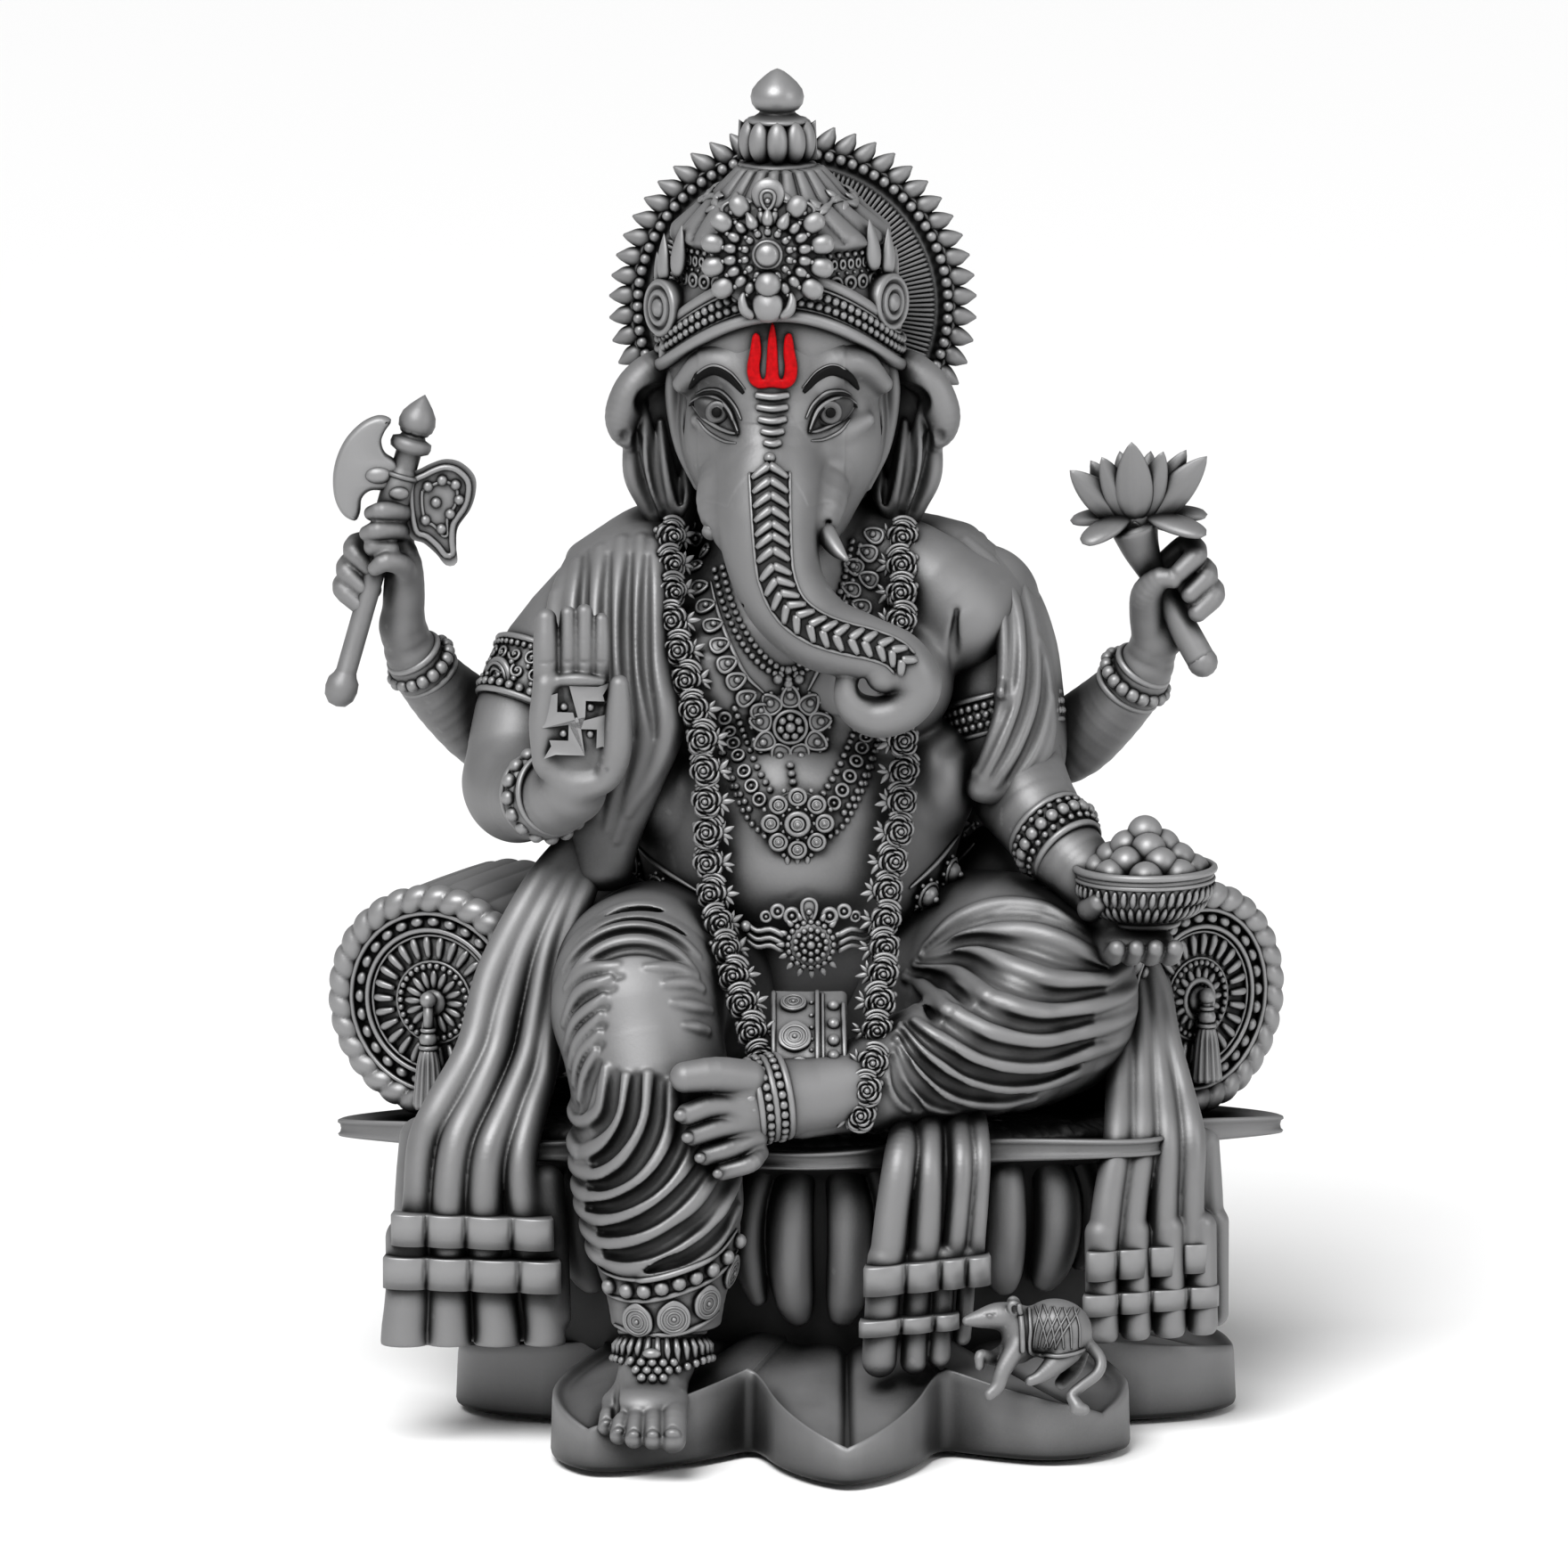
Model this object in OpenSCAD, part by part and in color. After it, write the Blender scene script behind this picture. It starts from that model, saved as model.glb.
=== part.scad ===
// Seated elephant-headed household idol on a double lotus, cast in pieces and assembled.
// The idol faces -Y. +Z is up. The origin is the centre of the underside.
// "right" and "left" are the figure's own sides: its right is -X.

/* [Base] */
// Radius of the tips of the base petals
base_tip_r = 90; // [84:1:94]
// Radius of the notches between the base petals
base_notch_r = 58; // [52:1:64]
// Height of the base slab at its edge
base_edge_h = 9.5; // [8:0.5:11]
// Height of the raised middle of the base
base_h = 16; // [14:1:18]
// Thickness of the felt under the base
felt_h = 1.5; // [1:0.5:3]

/* [Seat] */
// Half of the width of the seat body
seat_half_w = 86; // [80:1:90]
// Half of the depth of the seat body
seat_half_d = 48; // [44:1:52]
// Height of the top of the seat rim above the floor
seat_top_z = 66; // [64:1:68]
// How far the rim's petal tips stand out of the seat body
rim_reach = 19; // [15:1:20]
// Radius of the bolster cushions
bolster_r = 26; // [24:1:27]
// Length of the bolster cushions
bolster_l = 46; // [40:1:50]

/* [Figure] */
// Half of the width of the belly
belly_r = 34; // [32:1:36]
// Half of the width of the head at the cheeks
head_r = 25; // [23:1:26]
// Radius of the trunk where it leaves the face
trunk_r = 12; // [11:0.5:13]
// Radius of the crown at its band
crown_r = 26; // [24:0.5:27]

/* [Halo] */
// Radius of the flame tips round the halo
halo_r = 42; // [38:1:44]
// Number of flames round the halo
flame_count = 46; // [36:1:50]
// Number of beads round the halo
bead_count = 60; // [40:1:64]

/* [Fixings] */
// Radius of the steel dowels
dowel_r = 4; // [3:0.5:5]
// Gap round each dowel in its bore
dowel_gap = 0.05; // [0.02:0.01:0.1]

/* [Hidden] */

pewter = "#8a8a8a";
dark = "#4c4c4c";
bright = "#a8a8a8";
steel = "#b8bcc0";
vermilion = "#c00000";
felt_green = "#2d4a35";

small_fn = 10;
large_fn = 16;
seat_x = -8;
seat_y = 4;
seat_neck_z = base_h;
head_c = [-15, 1, 226];
belly_c = [-10, 8, 130];
chest_c = [-12, 12, 168];
crown_c = [-14.5, 2, 256];
halo_c = [-12, 28, 247.5];
bolster_z = seat_top_z + 2 + bolster_r;
bolster_right_end = [-92, -2, bolster_z];
bolster_left_end = [78, 2, bolster_z];
bolster_right_turn = -25;
bolster_left_turn = 42;
bowl_c = [66.5, -22, 122];
bowl_r = 16;
bowl_h = 10;
axe_foot = [-113.4, -6, 167];
axe_top = [-94, -2, 231];
flower_c = [66, 4, 199];
palm_c = [-60, -38, 162];
dowel_x = [-38, 22];

// One straight piece of a limb between two balls
module bone(a, b, ra, rb, fn = small_fn) {
    hull() {
        translate(a) sphere(ra, $fn = fn);
        translate(b) sphere(rb, $fn = fn);
    }
}

// A chain of bones through the points p, each with its radius in r
module limb(p, r, fn = small_fn) {
    for (i = [0 : len(p) - 2]) bone(p[i], p[i + 1], r[i], r[i + 1], fn);
}

// A faceted ellipsoid with the half axes s
module blob(c, s, fn = 24) {
    hull() translate(c) scale(s) sphere(1, $fn = fn);
}

// A sheet of thickness 2r through rows that each run from a left point to a right point
module sheet(rows, r) {
    for (i = [0 : len(rows) - 2]) hull() {
        for (p = [rows[i][0], rows[i][1], rows[i + 1][0], rows[i + 1][1]])
            translate(p) sphere(r, $fn = 12);
    }
}

// Turns a part that stands along +Z so that it runs from a towards b
module along(a, b) {
    d = b - a;
    translate(a) rotate([0, acos(d[2] / norm(d)), atan2(d[1], d[0])]) children();
}

// Balls of radius r spaced evenly along a straight run from a to b
module beads(a, b, n, r) {
    for (i = [0 : n - 1]) translate(a + (b - a) * i / max(n - 1, 1)) sphere(r, $fn = 24);
}

// Outline of an eight-petal star: a tip, two shoulders and a notch for each petal
function star(tip, notch) = [for (i = [0 : 7], k = [-1, 0, 1, 2])
    let (a = i * 45 + (k == 2 ? 22.5 : k * 11), r = k == 2 ? notch : k == 0 ? tip : tip * 0.9)
    [r * cos(a), r * sin(a)]];

module felt_pad() {
    color(felt_green) linear_extrude(felt_h) polygon(star(base_tip_r - 5, base_notch_r - 4));
}

module dowel_bores(z, h) {
    for (x = dowel_x) translate([x, seat_y, z]) cylinder(r = dowel_r + dowel_gap, h = h, $fn = 48);
}

module base_lotus() {
    color(pewter) difference() {
        union() {
            translate([0, 0, felt_h]) linear_extrude(base_edge_h) polygon(star(base_tip_r, base_notch_r));
            translate([0, 0, felt_h + base_edge_h])
                linear_extrude(base_h - felt_h - base_edge_h) polygon(star(base_tip_r - 14,
                    base_notch_r - 2));
        }
        dowel_bores(base_h - 10, 11);
    }
}

module base_dowels() {
    color(steel) for (x = dowel_x) translate([x, seat_y, base_h - 9.5])
        cylinder(r = dowel_r, h = 34, $fn = 48);
}

module seat_oval(w, d, h) {
    for (s = [-1, 1]) translate([s * (w - d), 0, 0]) cylinder(r = d, h = h, $fn = 32);
}

module seat_core() {
    color(pewter) difference() {
        hull() translate([seat_x, seat_y, 0]) {
            translate([0, 0, seat_neck_z]) seat_oval(seat_half_w - 14, seat_half_d - 10, 4);
            translate([0, 0, seat_top_z - 22]) seat_oval(seat_half_w - 4, seat_half_d - 2, 4);
            translate([0, 0, seat_top_z - 8]) seat_oval(seat_half_w, seat_half_d, 3);
        }
        dowel_bores(seat_neck_z - 1, 28);
    }
}

// A point on the seat's oval at the angle a, w by d
function oval(w, d, a) = [seat_x + w * cos(a), seat_y + d * sin(a)];

module seat_petals() {
    color(pewter) for (i = [0 : 11]) {
        a = i * 30;
        p = oval(seat_half_w - 5, seat_half_d - 3, a);
        t = oval(seat_half_w - 12, seat_half_d - 8, a);
        hull() {
            translate([p[0], p[1], seat_top_z - 16]) sphere(6.5, $fn = 8);
            translate([p[0], p[1], seat_top_z - 28]) sphere(7.5, $fn = 8);
            translate([t[0], t[1], seat_neck_z + 6]) sphere(4, $fn = 8);
        }
    }
}

module seat_rim() {
    reach = rim_reach;
    outline = [for (i = [0 : 79])
        let (a = i * 4.5, wave = pow(abs(cos(a * 4)), 3))
        [seat_x + (seat_half_w + 2 + reach * wave) * cos(a),
            seat_y + (seat_half_d + 1 + reach * 0.45 * wave) * sin(a)]];
    color(pewter) translate([0, 0, seat_top_z - 5]) linear_extrude(4.6) polygon(outline);
}

module seat_mat() {
    color(dark) translate([seat_x, seat_y, seat_top_z - 0.4]) hull() seat_oval(seat_half_w - 16,
        seat_half_d - 6, 5);
}

// A bolster drum whose visible end is at c, facing -Y turned by the angle t
module bolster(c, t) {
    translate(c) rotate([0, 0, t]) rotate([-90, 0, 0]) cylinder(r = bolster_r, h = bolster_l, $fn = 64);
}

module bolster_right() {
    color(pewter) bolster(bolster_right_end, bolster_right_turn);
}

module bolster_left() {
    color(pewter) bolster(bolster_left_end, bolster_left_turn);
}

// End plate of a bolster: a flat disc, two raised rings and a boss
module rosette(c, t) {
    translate(c) rotate([0, 0, t]) rotate([90, 0, 0]) {
        cylinder(r = bolster_r - 1, h = 1.5, $fn = 64);
        for (r = [bolster_r - 6.5, bolster_r - 9.5])
            translate([0, 0, 1.5]) rotate_extrude($fn = 64) translate([r, 0]) circle(0.9, $fn = 24);
        translate([0, 0, 1]) cylinder(r = 8, h = 2.5, $fn = 48);
    }
}

module bolster_rosettes() {
    color(bright) {
        rosette(bolster_right_end, bolster_right_turn);
        rosette(bolster_left_end, bolster_left_turn);
    }
}

// A tassel hanging in front of a bolster's end
module tassel(c, t) {
    translate(c) rotate([0, 0, t]) translate([0, -5.6, 0]) {
        translate([0, 0, -10]) cylinder(r = 1.3, h = 12, $fn = 24);
        translate([0, 0, -12.5]) sphere(2.2, $fn = 24);
        translate([0, 0, -25]) cylinder(r1 = 3.4, r2 = 2, h = 11, $fn = 24);
    }
}

module tassels() {
    color(bright) {
        tassel(bolster_right_end + [0, 0, 2], bolster_right_turn);
        tassel(bolster_left_end + [0, 0, 2], bolster_left_turn);
    }
}

module drape_right() {
    color(pewter) sheet([
        [[-66, -2, 150], [-52, -8, 146]], [[-66, -8, 132], [-52, -12, 130]], [[-78, -16, 118], [-56, -20,
            116]],
        [[-86, -26, 98], [-64, -30, 98]], [[-88, -30, 84], [-66, -34, 84]], [[-97, -32, 72], [-68, -46,
        74]],
        [[-99, -32, 62], [-66, -48, 62]], [[-100, -32, 54], [-64, -48, 54]], [[-101, -32, 38], [-62, -48,
        38]],
        [[-101, -32, 28], [-62, -48, 28]]], 4);
}

module drape_left() {
    color(pewter) sheet([
        [[60, -4, 112], [68, -2, 112]], [[62, -10, 98], [70, -6, 98]], [[62, -20, 86], [72, -12, 86]],
        [[62, -28, 76], [78, -18, 76]], [[62, -36, 70], [84, -24, 68]], [[58, -38, 60], [84, -26, 60]],
        [[56, -38, 50], [83, -26, 50]], [[57, -38, 40], [84, -26, 40]], [[57, -38, 32], [84, -26, 32]],
        [[57, -38, 26], [82, -26, 26]]], 4);
}

module drape_front() {
    color(pewter) sheet([
        [[8, -38, 74], [28, -34, 74]], [[8, -50, 72], [28, -46, 73]], [[9, -56, 66], [30, -51, 67]],
        [[8, -57, 58], [30, -51, 59]], [[7, -57, 50], [29, -51, 51]], [[6, -57, 42], [28, -51, 43]],
        [[5, -57, 36], [26, -51, 37]], [[5, -57, 30], [24, -51, 31]], [[5, -57, 24], [21, -52, 25]]], 3);
}

// A band that runs round the front of a drape, from a to b, h high
module hem(a, b, h) {
    hull() for (p = [a, b]) translate(p) cylinder(r = 4.6, h = h, $fn = 20);
}

module drape_hems() {
    color(bright) {
        hem([-101, -32, 49], [-62, -48.5, 49], 7);
        hem([-102, -32, 39], [-62, -48.5, 39], 7);
        hem([57, -38.5, 41], [84.5, -26, 41], 7);
        hem([57, -38.5, 31], [85, -26, 31], 5);
        hem([6, -56.5, 40], [26, -51, 41], 6);
        hem([5.5, -56.5, 31], [24, -51, 32], 4);
        translate([-40, -56, 40]) cylinder(r = 14.6, h = 2.4, $fn = 48);
        translate([-40, -56, 47]) cylinder(r = 15.6, h = 2.4, $fn = 48);
    }
}

module torso() {
    color(pewter) difference() {
        union() {
            blob(belly_c, [belly_r, 29, 30], 20);
            blob(chest_c, [33, 22, 28], 20);
            blob([-10, 14, 104], [40, 28, 22], 16);
            limb([[-50, 14, 180], [-30, 14, 188], [-12, 12, 192], [10, 14, 188], [28, 16, 180]], [12, 11,
                12, 11, 12], large_fn);
            limb([[-13, 8, 188], [-14, 6, 205]], [14, 13]);
            blob([-34, -2, 122], [12, 14, 16], 14);
            blob([14, -2, 124], [13, 14, 18], 14);
            blob([-28, 0, 162], [14, 14, 13], 14);
            blob([4, 0, 164], [14, 14, 13], 14);
        }
        arm_bores();
    }
}

module leg_right() {
    color(pewter) limb([[-28, 14, 94], [-36, -4, 98], [-43, -22, 99], [-45, -36, 97], [-43, -44, 86],
        [-42, -50, 74],
        [-41, -53, 62], [-40, -55, 52], [-40, -56, 44], [-40, -56, 37]], [22, 22, 22, 20, 18, 18, 17, 16,
        14.5, 13], large_fn);
}

module leg_left() {
    color(pewter) limb([[8, 12, 96], [24, 4, 98], [38, -6, 97], [46, -14, 95], [44, -22, 90], [36, -28, 87],
        [24, -34, 85], [12, -40, 83], [0, -46, 81], [-10, -50, 80]], [22, 23, 24, 23, 19, 17, 15, 13, 11,
        9], large_fn);
}

module foot_right() {
    color(pewter) {
        limb([[-40, -55, 38], [-40, -57, 28], [-41, -62, 20]], [9.5, 8.5, 8.5]);
        for (i = [0 : 4])
            limb([[-45 + i * 2.6, -62, 18], [-49 + i * 4.4, -70 - i * 0.6, 14.5], [-50 + i * 4.6,
                -76 - i, 11.5 - i * 0.4]],
                [4.5, 3, 2.4 + i * 0.25]);
    }
}

module foot_left() {
    color(pewter) {
        limb([[-6, -50, 82], [-16, -54, 81], [-24, -58, 80]], [8, 8, 8]);
        for (i = [0 : 3])
            limb([[-24, -60, 86 - i * 5], [-30, -63, 86.5 - i * 5.4], [-35 + i * 1.6, -62, 87 - i * 5.6]],
                [4, 3, 3 - i * 0.25]);
    }
}

module anklets() {
    color(bright) {
        translate([-40, -57.5, 27]) rotate([-12, 0, 0])
            rotate_extrude($fn = 48) translate([9.4, 0]) circle(1.9, $fn = 24);
        translate([-16, -54, 81]) rotate([0, 75, -18])
            rotate_extrude($fn = 48) translate([8.8, 0]) circle(1.7, $fn = 24);
    }
}

module sash_panel() {
    color(bright) sheet([
        [[-15, -34, 104], [-4, -34, 104]], [[-16, -38, 101], [-3, -38, 101]], [[-17, -42, 98], [-2, -42,
            98]],
        [[-17, -46, 95], [-2, -46, 95]], [[-18, -49, 91], [-2, -49, 91]], [[-18, -51, 87], [-2, -51, 87]],
        [[-18, -52, 83], [-2, -52, 83]], [[-18, -53, 79], [-2, -53, 79]], [[-18, -53, 75], [-2, -53,
        75]]], 1.5);
}

// Bosses round the belly with a round buckle in the middle
module belt() {
    color(bright) {
        for (i = [-5 : 5]) translate([-10 + 41 * sin(i * 15), 9 - 37 * cos(i * 15), 114 + abs(i) * 2.2])
            sphere(3.4, $fn = 24);
        translate([-9, -29, 114]) rotate([80, 0, 0]) cylinder(r = 9, h = 3, $fn = 48);
        translate([-9, -29, 114]) rotate([80, 0, 0]) translate([0, 0, 2]) cylinder(r = 5.5, h = 3,
            $fn = 48);
    }
}

// Raised open hand: a palm plate, four fingers and a thumb
module arm_front_right() {
    color(pewter) {
        limb([[-56, 12, 182], [-66, 8, 170], [-73, 2, 156], [-73, -6, 146], [-68, -22, 145], [-62, -32,
            149]],
            [12, 11.5, 11.5, 11.5, 9.5, 8]);
        hull() for (p = [[-66, -37, 170], [-53, -37, 168], [-64, -37, 154], [-54, -37, 154]])
            translate(p) sphere(4, $fn = 14);
        for (i = [0 : 3])
            limb([[-66.5 + i * 4.5, -38, 171], [-67.2 + i * 4.6, -38, 181], [-67 + i * 4.4, -38,
                188 + (i == 1 || i == 2 ? 2.5 : 0)]],
                [2.7, 2.5, 2.2]);
        limb([[-54, -38, 158], [-49.5, -40, 168], [-49, -41, 175]], [3.6, 2.8, 2.3]);
    }
}

module palm_emblem() {
    color(bright) translate(palm_c + [0, -4.4, 0]) rotate([90, 0, 0]) linear_extrude(1.4) {
        for (a = [0 : 90 : 270]) rotate(a) {
            translate([-1.1, 0]) square([2.2, 6]);
            translate([-1.1, 4]) square([6.6, 2]);
        }
        square(2.2, center = true);
        for (x = [-3, 3], y = [-3, 3]) translate([x, y]) circle(0.9, $fn = 24);
    }
}

module arm_front_left() {
    color(pewter) {
        limb([[32, 14, 180], [36, 12, 168], [38, 8, 156], [38, 4, 146], [42, -4, 138], [48, -12, 131],
            [53, -17, 127]],
            [14, 13.5, 12.5, 11, 9.5, 8, 7]);
        limb([[54, -18, 125], [60, -21, 116]], [5.5, 5]);
        for (i = [0 : 3])
            limb([[56 + i * 2.5, -24, 117 - i], [61 + i * 4, -30, 114.5 - i * 0.4], [65 + i * 4.4, -31,
                116 - i * 0.3]],
                [3, 2.5, 2.1]);
    }
}

// Bores for the pins that join the rear arms to the torso
module arm_bores() {
    for (s = [[-64, 1], [40, -1]])
        translate([s[0], 19, 157]) rotate([0, 90 * s[1], 0]) cylinder(r = 3.05, h = 38, $fn = 24);
}

module arm_rear_right() {
    color(pewter) difference() {
        union() {
            limb([[-52, 19, 158], [-66, 19, 152], [-80, 18, 152], [-89, 14, 160], [-97, 8, 171], [-100,
                4, 179],
                [-101, 2, 187]], [11, 10.5, 9.5, 8, 6, 6, 6]);
            for (i = [0 : 3])
                limb([[-103, 0, 190 - i * 4], [-109, -3, 190.5 - i * 4.2], [-109, -9, 192 - i * 4]], [3,
                    2.6, 2.2]);
            limb([[-99, -2, 186], [-101, -7, 190], [-104, -8, 194]], [3.2, 2.8, 2.2]);
        }
        arm_bores();
    }
}

module arm_rear_left() {
    color(pewter) difference() {
        union() {
            limb([[28, 19, 158], [40, 20, 150], [50, 19, 149], [58, 15, 157], [66, 10, 167], [69, 6,
                175], [70, 4, 182]],
                [11, 10.5, 9.5, 8, 6, 6, 6]);
            for (i = [0 : 3])
                limb([[73, 2, 190 - i * 4], [78, -2, 190 - i * 4], [77, -8, 191 - i * 4.2]], [3, 2.6, 2.2]);
            limb([[67, -2, 180], [68, -6, 186], [73, -7, 188]], [3.4, 2.8, 2.2]);
        }
        arm_bores();
    }
}

module arm_pins() {
    color(steel) {
        translate([-64, 19, 157]) rotate([0, 90, 0]) cylinder(r = 3, h = 30, $fn = 48);
        translate([10, 19, 157]) rotate([0, 90, 0]) cylinder(r = 3, h = 30, $fn = 48);
    }
}

module armlets() {
    color(bright) {
        along([-67, 8, 168], [-71, 3, 158]) cylinder(r = 13.2, h = 11, $fn = 48);
        along([36.6, 10.5, 162], [37.6, 9, 157]) cylinder(r = 14.4, h = 6, $fn = 48);
    }
}

// A bracelet round the line from a to b: two rims with a sunk band between them
module bracelet(a, b, r) {
    along(a, b) rotate_extrude($fn = 48)
        polygon([[r - 1.4, -1], [r + 1, -1], [r + 1, 0.8], [r, 1.2], [r, 3.6], [r + 1, 4], [r + 1, 5.6],
            [r - 1.4, 5.6]]);
}

module bracelets() {
    color(bright) {
        bracelet([-95, 9.5, 168], [-98.5, 7, 173], 7.2);
        bracelet([64, 11, 165], [67.2, 8.5, 170], 7.4);
        bracelet([-66, -25, 145.8], [-62.5, -31.5, 148.4], 9.4);
        bracelet([46.5, -10.5, 132.5], [50.5, -14.5, 129], 8.9);
    }
}

module axe_handle() {
    color(pewter) along(axe_foot, axe_top) {
        sphere(3.9, $fn = 32);
        cylinder(r = 3, h = 58, $fn = 32);
        translate([0, 0, 44]) cylinder(r = 4.6, h = 9, $fn = 32);
        translate([0, 0, 55.5]) cylinder(r1 = 3.6, r2 = 5, h = 2.5, $fn = 32);
        translate([0, 0, 61]) sphere(4, $fn = 32);
        translate([0, 0, 63]) cylinder(r1 = 3.4, r2 = 0.8, h = 5, $fn = 32);
    }
}

module axe_blade() {
    arc = [for (i = [-4 : 4]) [-17.5 * cos(i * 15), 14 * sin(i * 15) + 1]];
    back = [[-5, 9], [-4, 4], [-4, -4], [-8, -11]];
    color(bright) along(axe_foot, axe_top) translate([0, 0, 46]) rotate([90, 0, 22])
        translate([0, 0, -1.4]) linear_extrude(2.8) {
            polygon(concat(arc, [[-8, 12]], back));
            polygon([[4, 6], [11, 8], [15, 4], [13, -4], [13, -12], [5, -6]]);
        }
}

module lotus_flower() {
    color(pewter) {
        for (i = [0 : 7]) {
            a = i * 45;
            along(flower_c + [2 * cos(a), 2 * sin(a), -2], flower_c + [12 * cos(a), 12 * sin(a), 17])
                cylinder(r1 = 2.4, r2 = 1.2, h = 22, $fn = 24);
        }
        for (i = [0 : 4]) {
            a = i * 72 + 20;
            along(flower_c + [2 * cos(a), 2 * sin(a), -2], flower_c + [14 * cos(a), 14 * sin(a), -1.5])
                cylinder(r1 = 2.2, r2 = 1.6, h = 12, $fn = 24);
        }
        translate(flower_c + [0, 0, -3]) cylinder(r1 = 4, r2 = 1.5, h = 23, $fn = 24);
    }
}

module lotus_stem() {
    color(pewter) {
        along([80, -3, 171], [69, 0, 192]) cylinder(r = 3, h = 20, $fn = 32);
        along([80, -3, 171], [69, 0, 192]) sphere(4.2, $fn = 32);
        translate(flower_c + [0, 0, -9]) cylinder(r1 = 3.4, r2 = 5, h = 8, $fn = 32);
    }
}

module sweet_bowl() {
    color(bright) translate(bowl_c) difference() {
        union() {
            cylinder(r1 = 8.5, r2 = bowl_r - 0.6, h = bowl_h, $fn = 64);
            translate([0, 0, bowl_h - 1]) rotate_extrude($fn = 64) translate([bowl_r - 1, 0]) circle(1,
                $fn = 24);
        }
        translate([0, 0, bowl_h - 3]) cylinder(r = bowl_r - 2.6, h = 5, $fn = 64);
    }
}

module sweets() {
    color(bright) translate(bowl_c + [0, 0, bowl_h - 3]) {
        for (i = [0 : 7]) rotate(i * 45 + 10) translate([9.3, 0, 3.6]) sphere(3.4, $fn = 32);
        for (i = [0 : 3]) rotate(i * 90 + 35) translate([5, 0, 7.6]) sphere(3.3, $fn = 32);
        translate([0, 0, 2.8]) sphere(3.4, $fn = 32);
        translate([0, 0, 11.4]) sphere(3.3, $fn = 32);
    }
}

module shawl_right() {
    color(pewter) sheet([
        [[-62, 34, 120], [-24, 40, 118]], [[-62, 34, 150], [-22, 38, 150]], [[-62, 28, 176], [-22, 32,
            178]],
        [[-60, 22, 190], [-26, 24, 198]], [[-62, 8, 192], [-42, 6, 197]], [[-64, -2, 184], [-42, -8, 188]],
        [[-64, -8, 172], [-38, -14, 172]], [[-62, -12, 158], [-36, -18, 158]], [[-58, -12, 146], [-42,
        -18, 146]],
        [[-60, -8, 136], [-48, -14, 136]]], 4);
}

module shawl_left() {
    color(pewter) sheet([
        [[-22, 38, 118], [38, 36, 120]], [[-22, 38, 150], [42, 32, 150]], [[-22, 32, 180], [40, 28, 178]],
        [[-24, 25, 196], [30, 24, 194]], [[26, 14, 197], [36, 18, 195]], [[40, 6, 186], [47, 18, 184]],
        [[44, 0, 172], [52, 18, 168]], [[45, -4, 160], [54, 16, 154]], [[40, -6, 148], [53, 12, 142]],
        [[34, -6, 138], [46, 6, 136]]], 3.5);
}

module head() {
    color(pewter) {
        blob(head_c, [head_r, 22, 25], 20);
        blob(head_c + [0, 4, 20], [23, 21, 16], 18);
        blob(head_c + [-10, -6, -10], [14, 15, 16], 14);
        blob(head_c + [10, -6, -10], [14, 15, 16], 14);
        blob(head_c + [0, -10, -2], [11, 13, 16], 14);
        blob(head_c + [-15, -6, 8], [9, 13, 12], 16);
        blob(head_c + [15, -6, 8], [9, 13, 12], 16);
        blob(head_c + [0, -8, -17], [11, 13, 11], 14);
    }
}

// A thin leaf-shaped ear that hangs from its top, mirrored by s
module ear(s) {
    hull() {
        translate(head_c + [s * 26, 4, 6]) sphere(5, $fn = 16);
        translate(head_c + [s * 36, 6, 1]) sphere(4.5, $fn = 16);
        translate(head_c + [s * 34, 6, -10]) sphere(3.6, $fn = 16);
        translate(head_c + [s * 29, 5, -22]) sphere(3.2, $fn = 16);
        translate(head_c + [s * 27, 4, -29]) sphere(2, $fn = 16);
        translate(head_c + [s * 21, 4, -6]) sphere(4, $fn = 16);
    }
}

module ear_right() {
    color(pewter) ear(-1);
}

module ear_left() {
    color(pewter) translate([2, 0, 0]) ear(1);
}

trunk_path = [[-16.5, -17, 226], [-17.4, -24, 213], [-17, -31, 202], [-13.5, -36, 191.5], [-5.5, -39,
    184.6],
    [5, -41, 182], [13, -41, 178], [15.4, -41, 173], [11.6, -41, 167.6], [5.4, -41, 166.2], [0.6, -41,
        170], [0.4, -41, 177]];
trunk_radii = [trunk_r - 2, trunk_r + 0.4, trunk_r - 1.6, trunk_r - 2.8, trunk_r - 4.2, trunk_r - 5.6,
    5.6, 4.8, 4.4, 4.4, 3.4, 1.2];

module trunk() {
    color(pewter) {
        limb(trunk_path, trunk_radii, large_fn);
        bone([7.4, -41, 175.6], [9.6, -41, 174.6], 3.8, 3.2);
    }
}

module trunk_ornament() {
    color(bright) for (i = [2 : 16]) {
        t = i * 0.34;
        k = min(floor(t), 5);
        p = trunk_path[k] + (trunk_path[k + 1] - trunk_path[k]) * (t - k);
        r = trunk_radii[k] + (trunk_radii[k + 1] - trunk_radii[k]) * (t - k);
        translate(p + [0, -r - 0.2, 0]) rotate([90, 0, 0]) cylinder(r = 1.5, h = 1.4, center = true,
            $fn = 24);
    }
}

module tusks() {
    color(bright) {
        limb([[-7, -24, 211], [-3.6, -29, 207], [-1.4, -33, 202.5], [-0.8, -35, 199.6]], [2.6, 2.3, 1.7,
            0.8]);
        bone([-28, -23, 208], [-30.5, -27, 204.5], 2.4, 1.6);
    }
}

module eyes() {
    color(dark) for (x = [-28.6, -4.6]) hull() translate([x, -17.4, 231]) scale([5.2, 3.2,
        2.6]) sphere(1, $fn = 16);
}

module tilak() {
    color(vermilion) translate([-16.6, -22.4, 243.5]) rotate([80, 0, 0]) translate([0, 0,
        -1]) linear_extrude(2.6) {
        translate([-1, -6.6]) square([2, 13.4]);
        for (s = [-1, 1]) {
            translate([s * 3.8 - 0.8, -4.5]) square([1.6, 9]);
        }
        translate([-4.6, -6.6]) square([9.2, 2.4]);
    }
}

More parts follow.
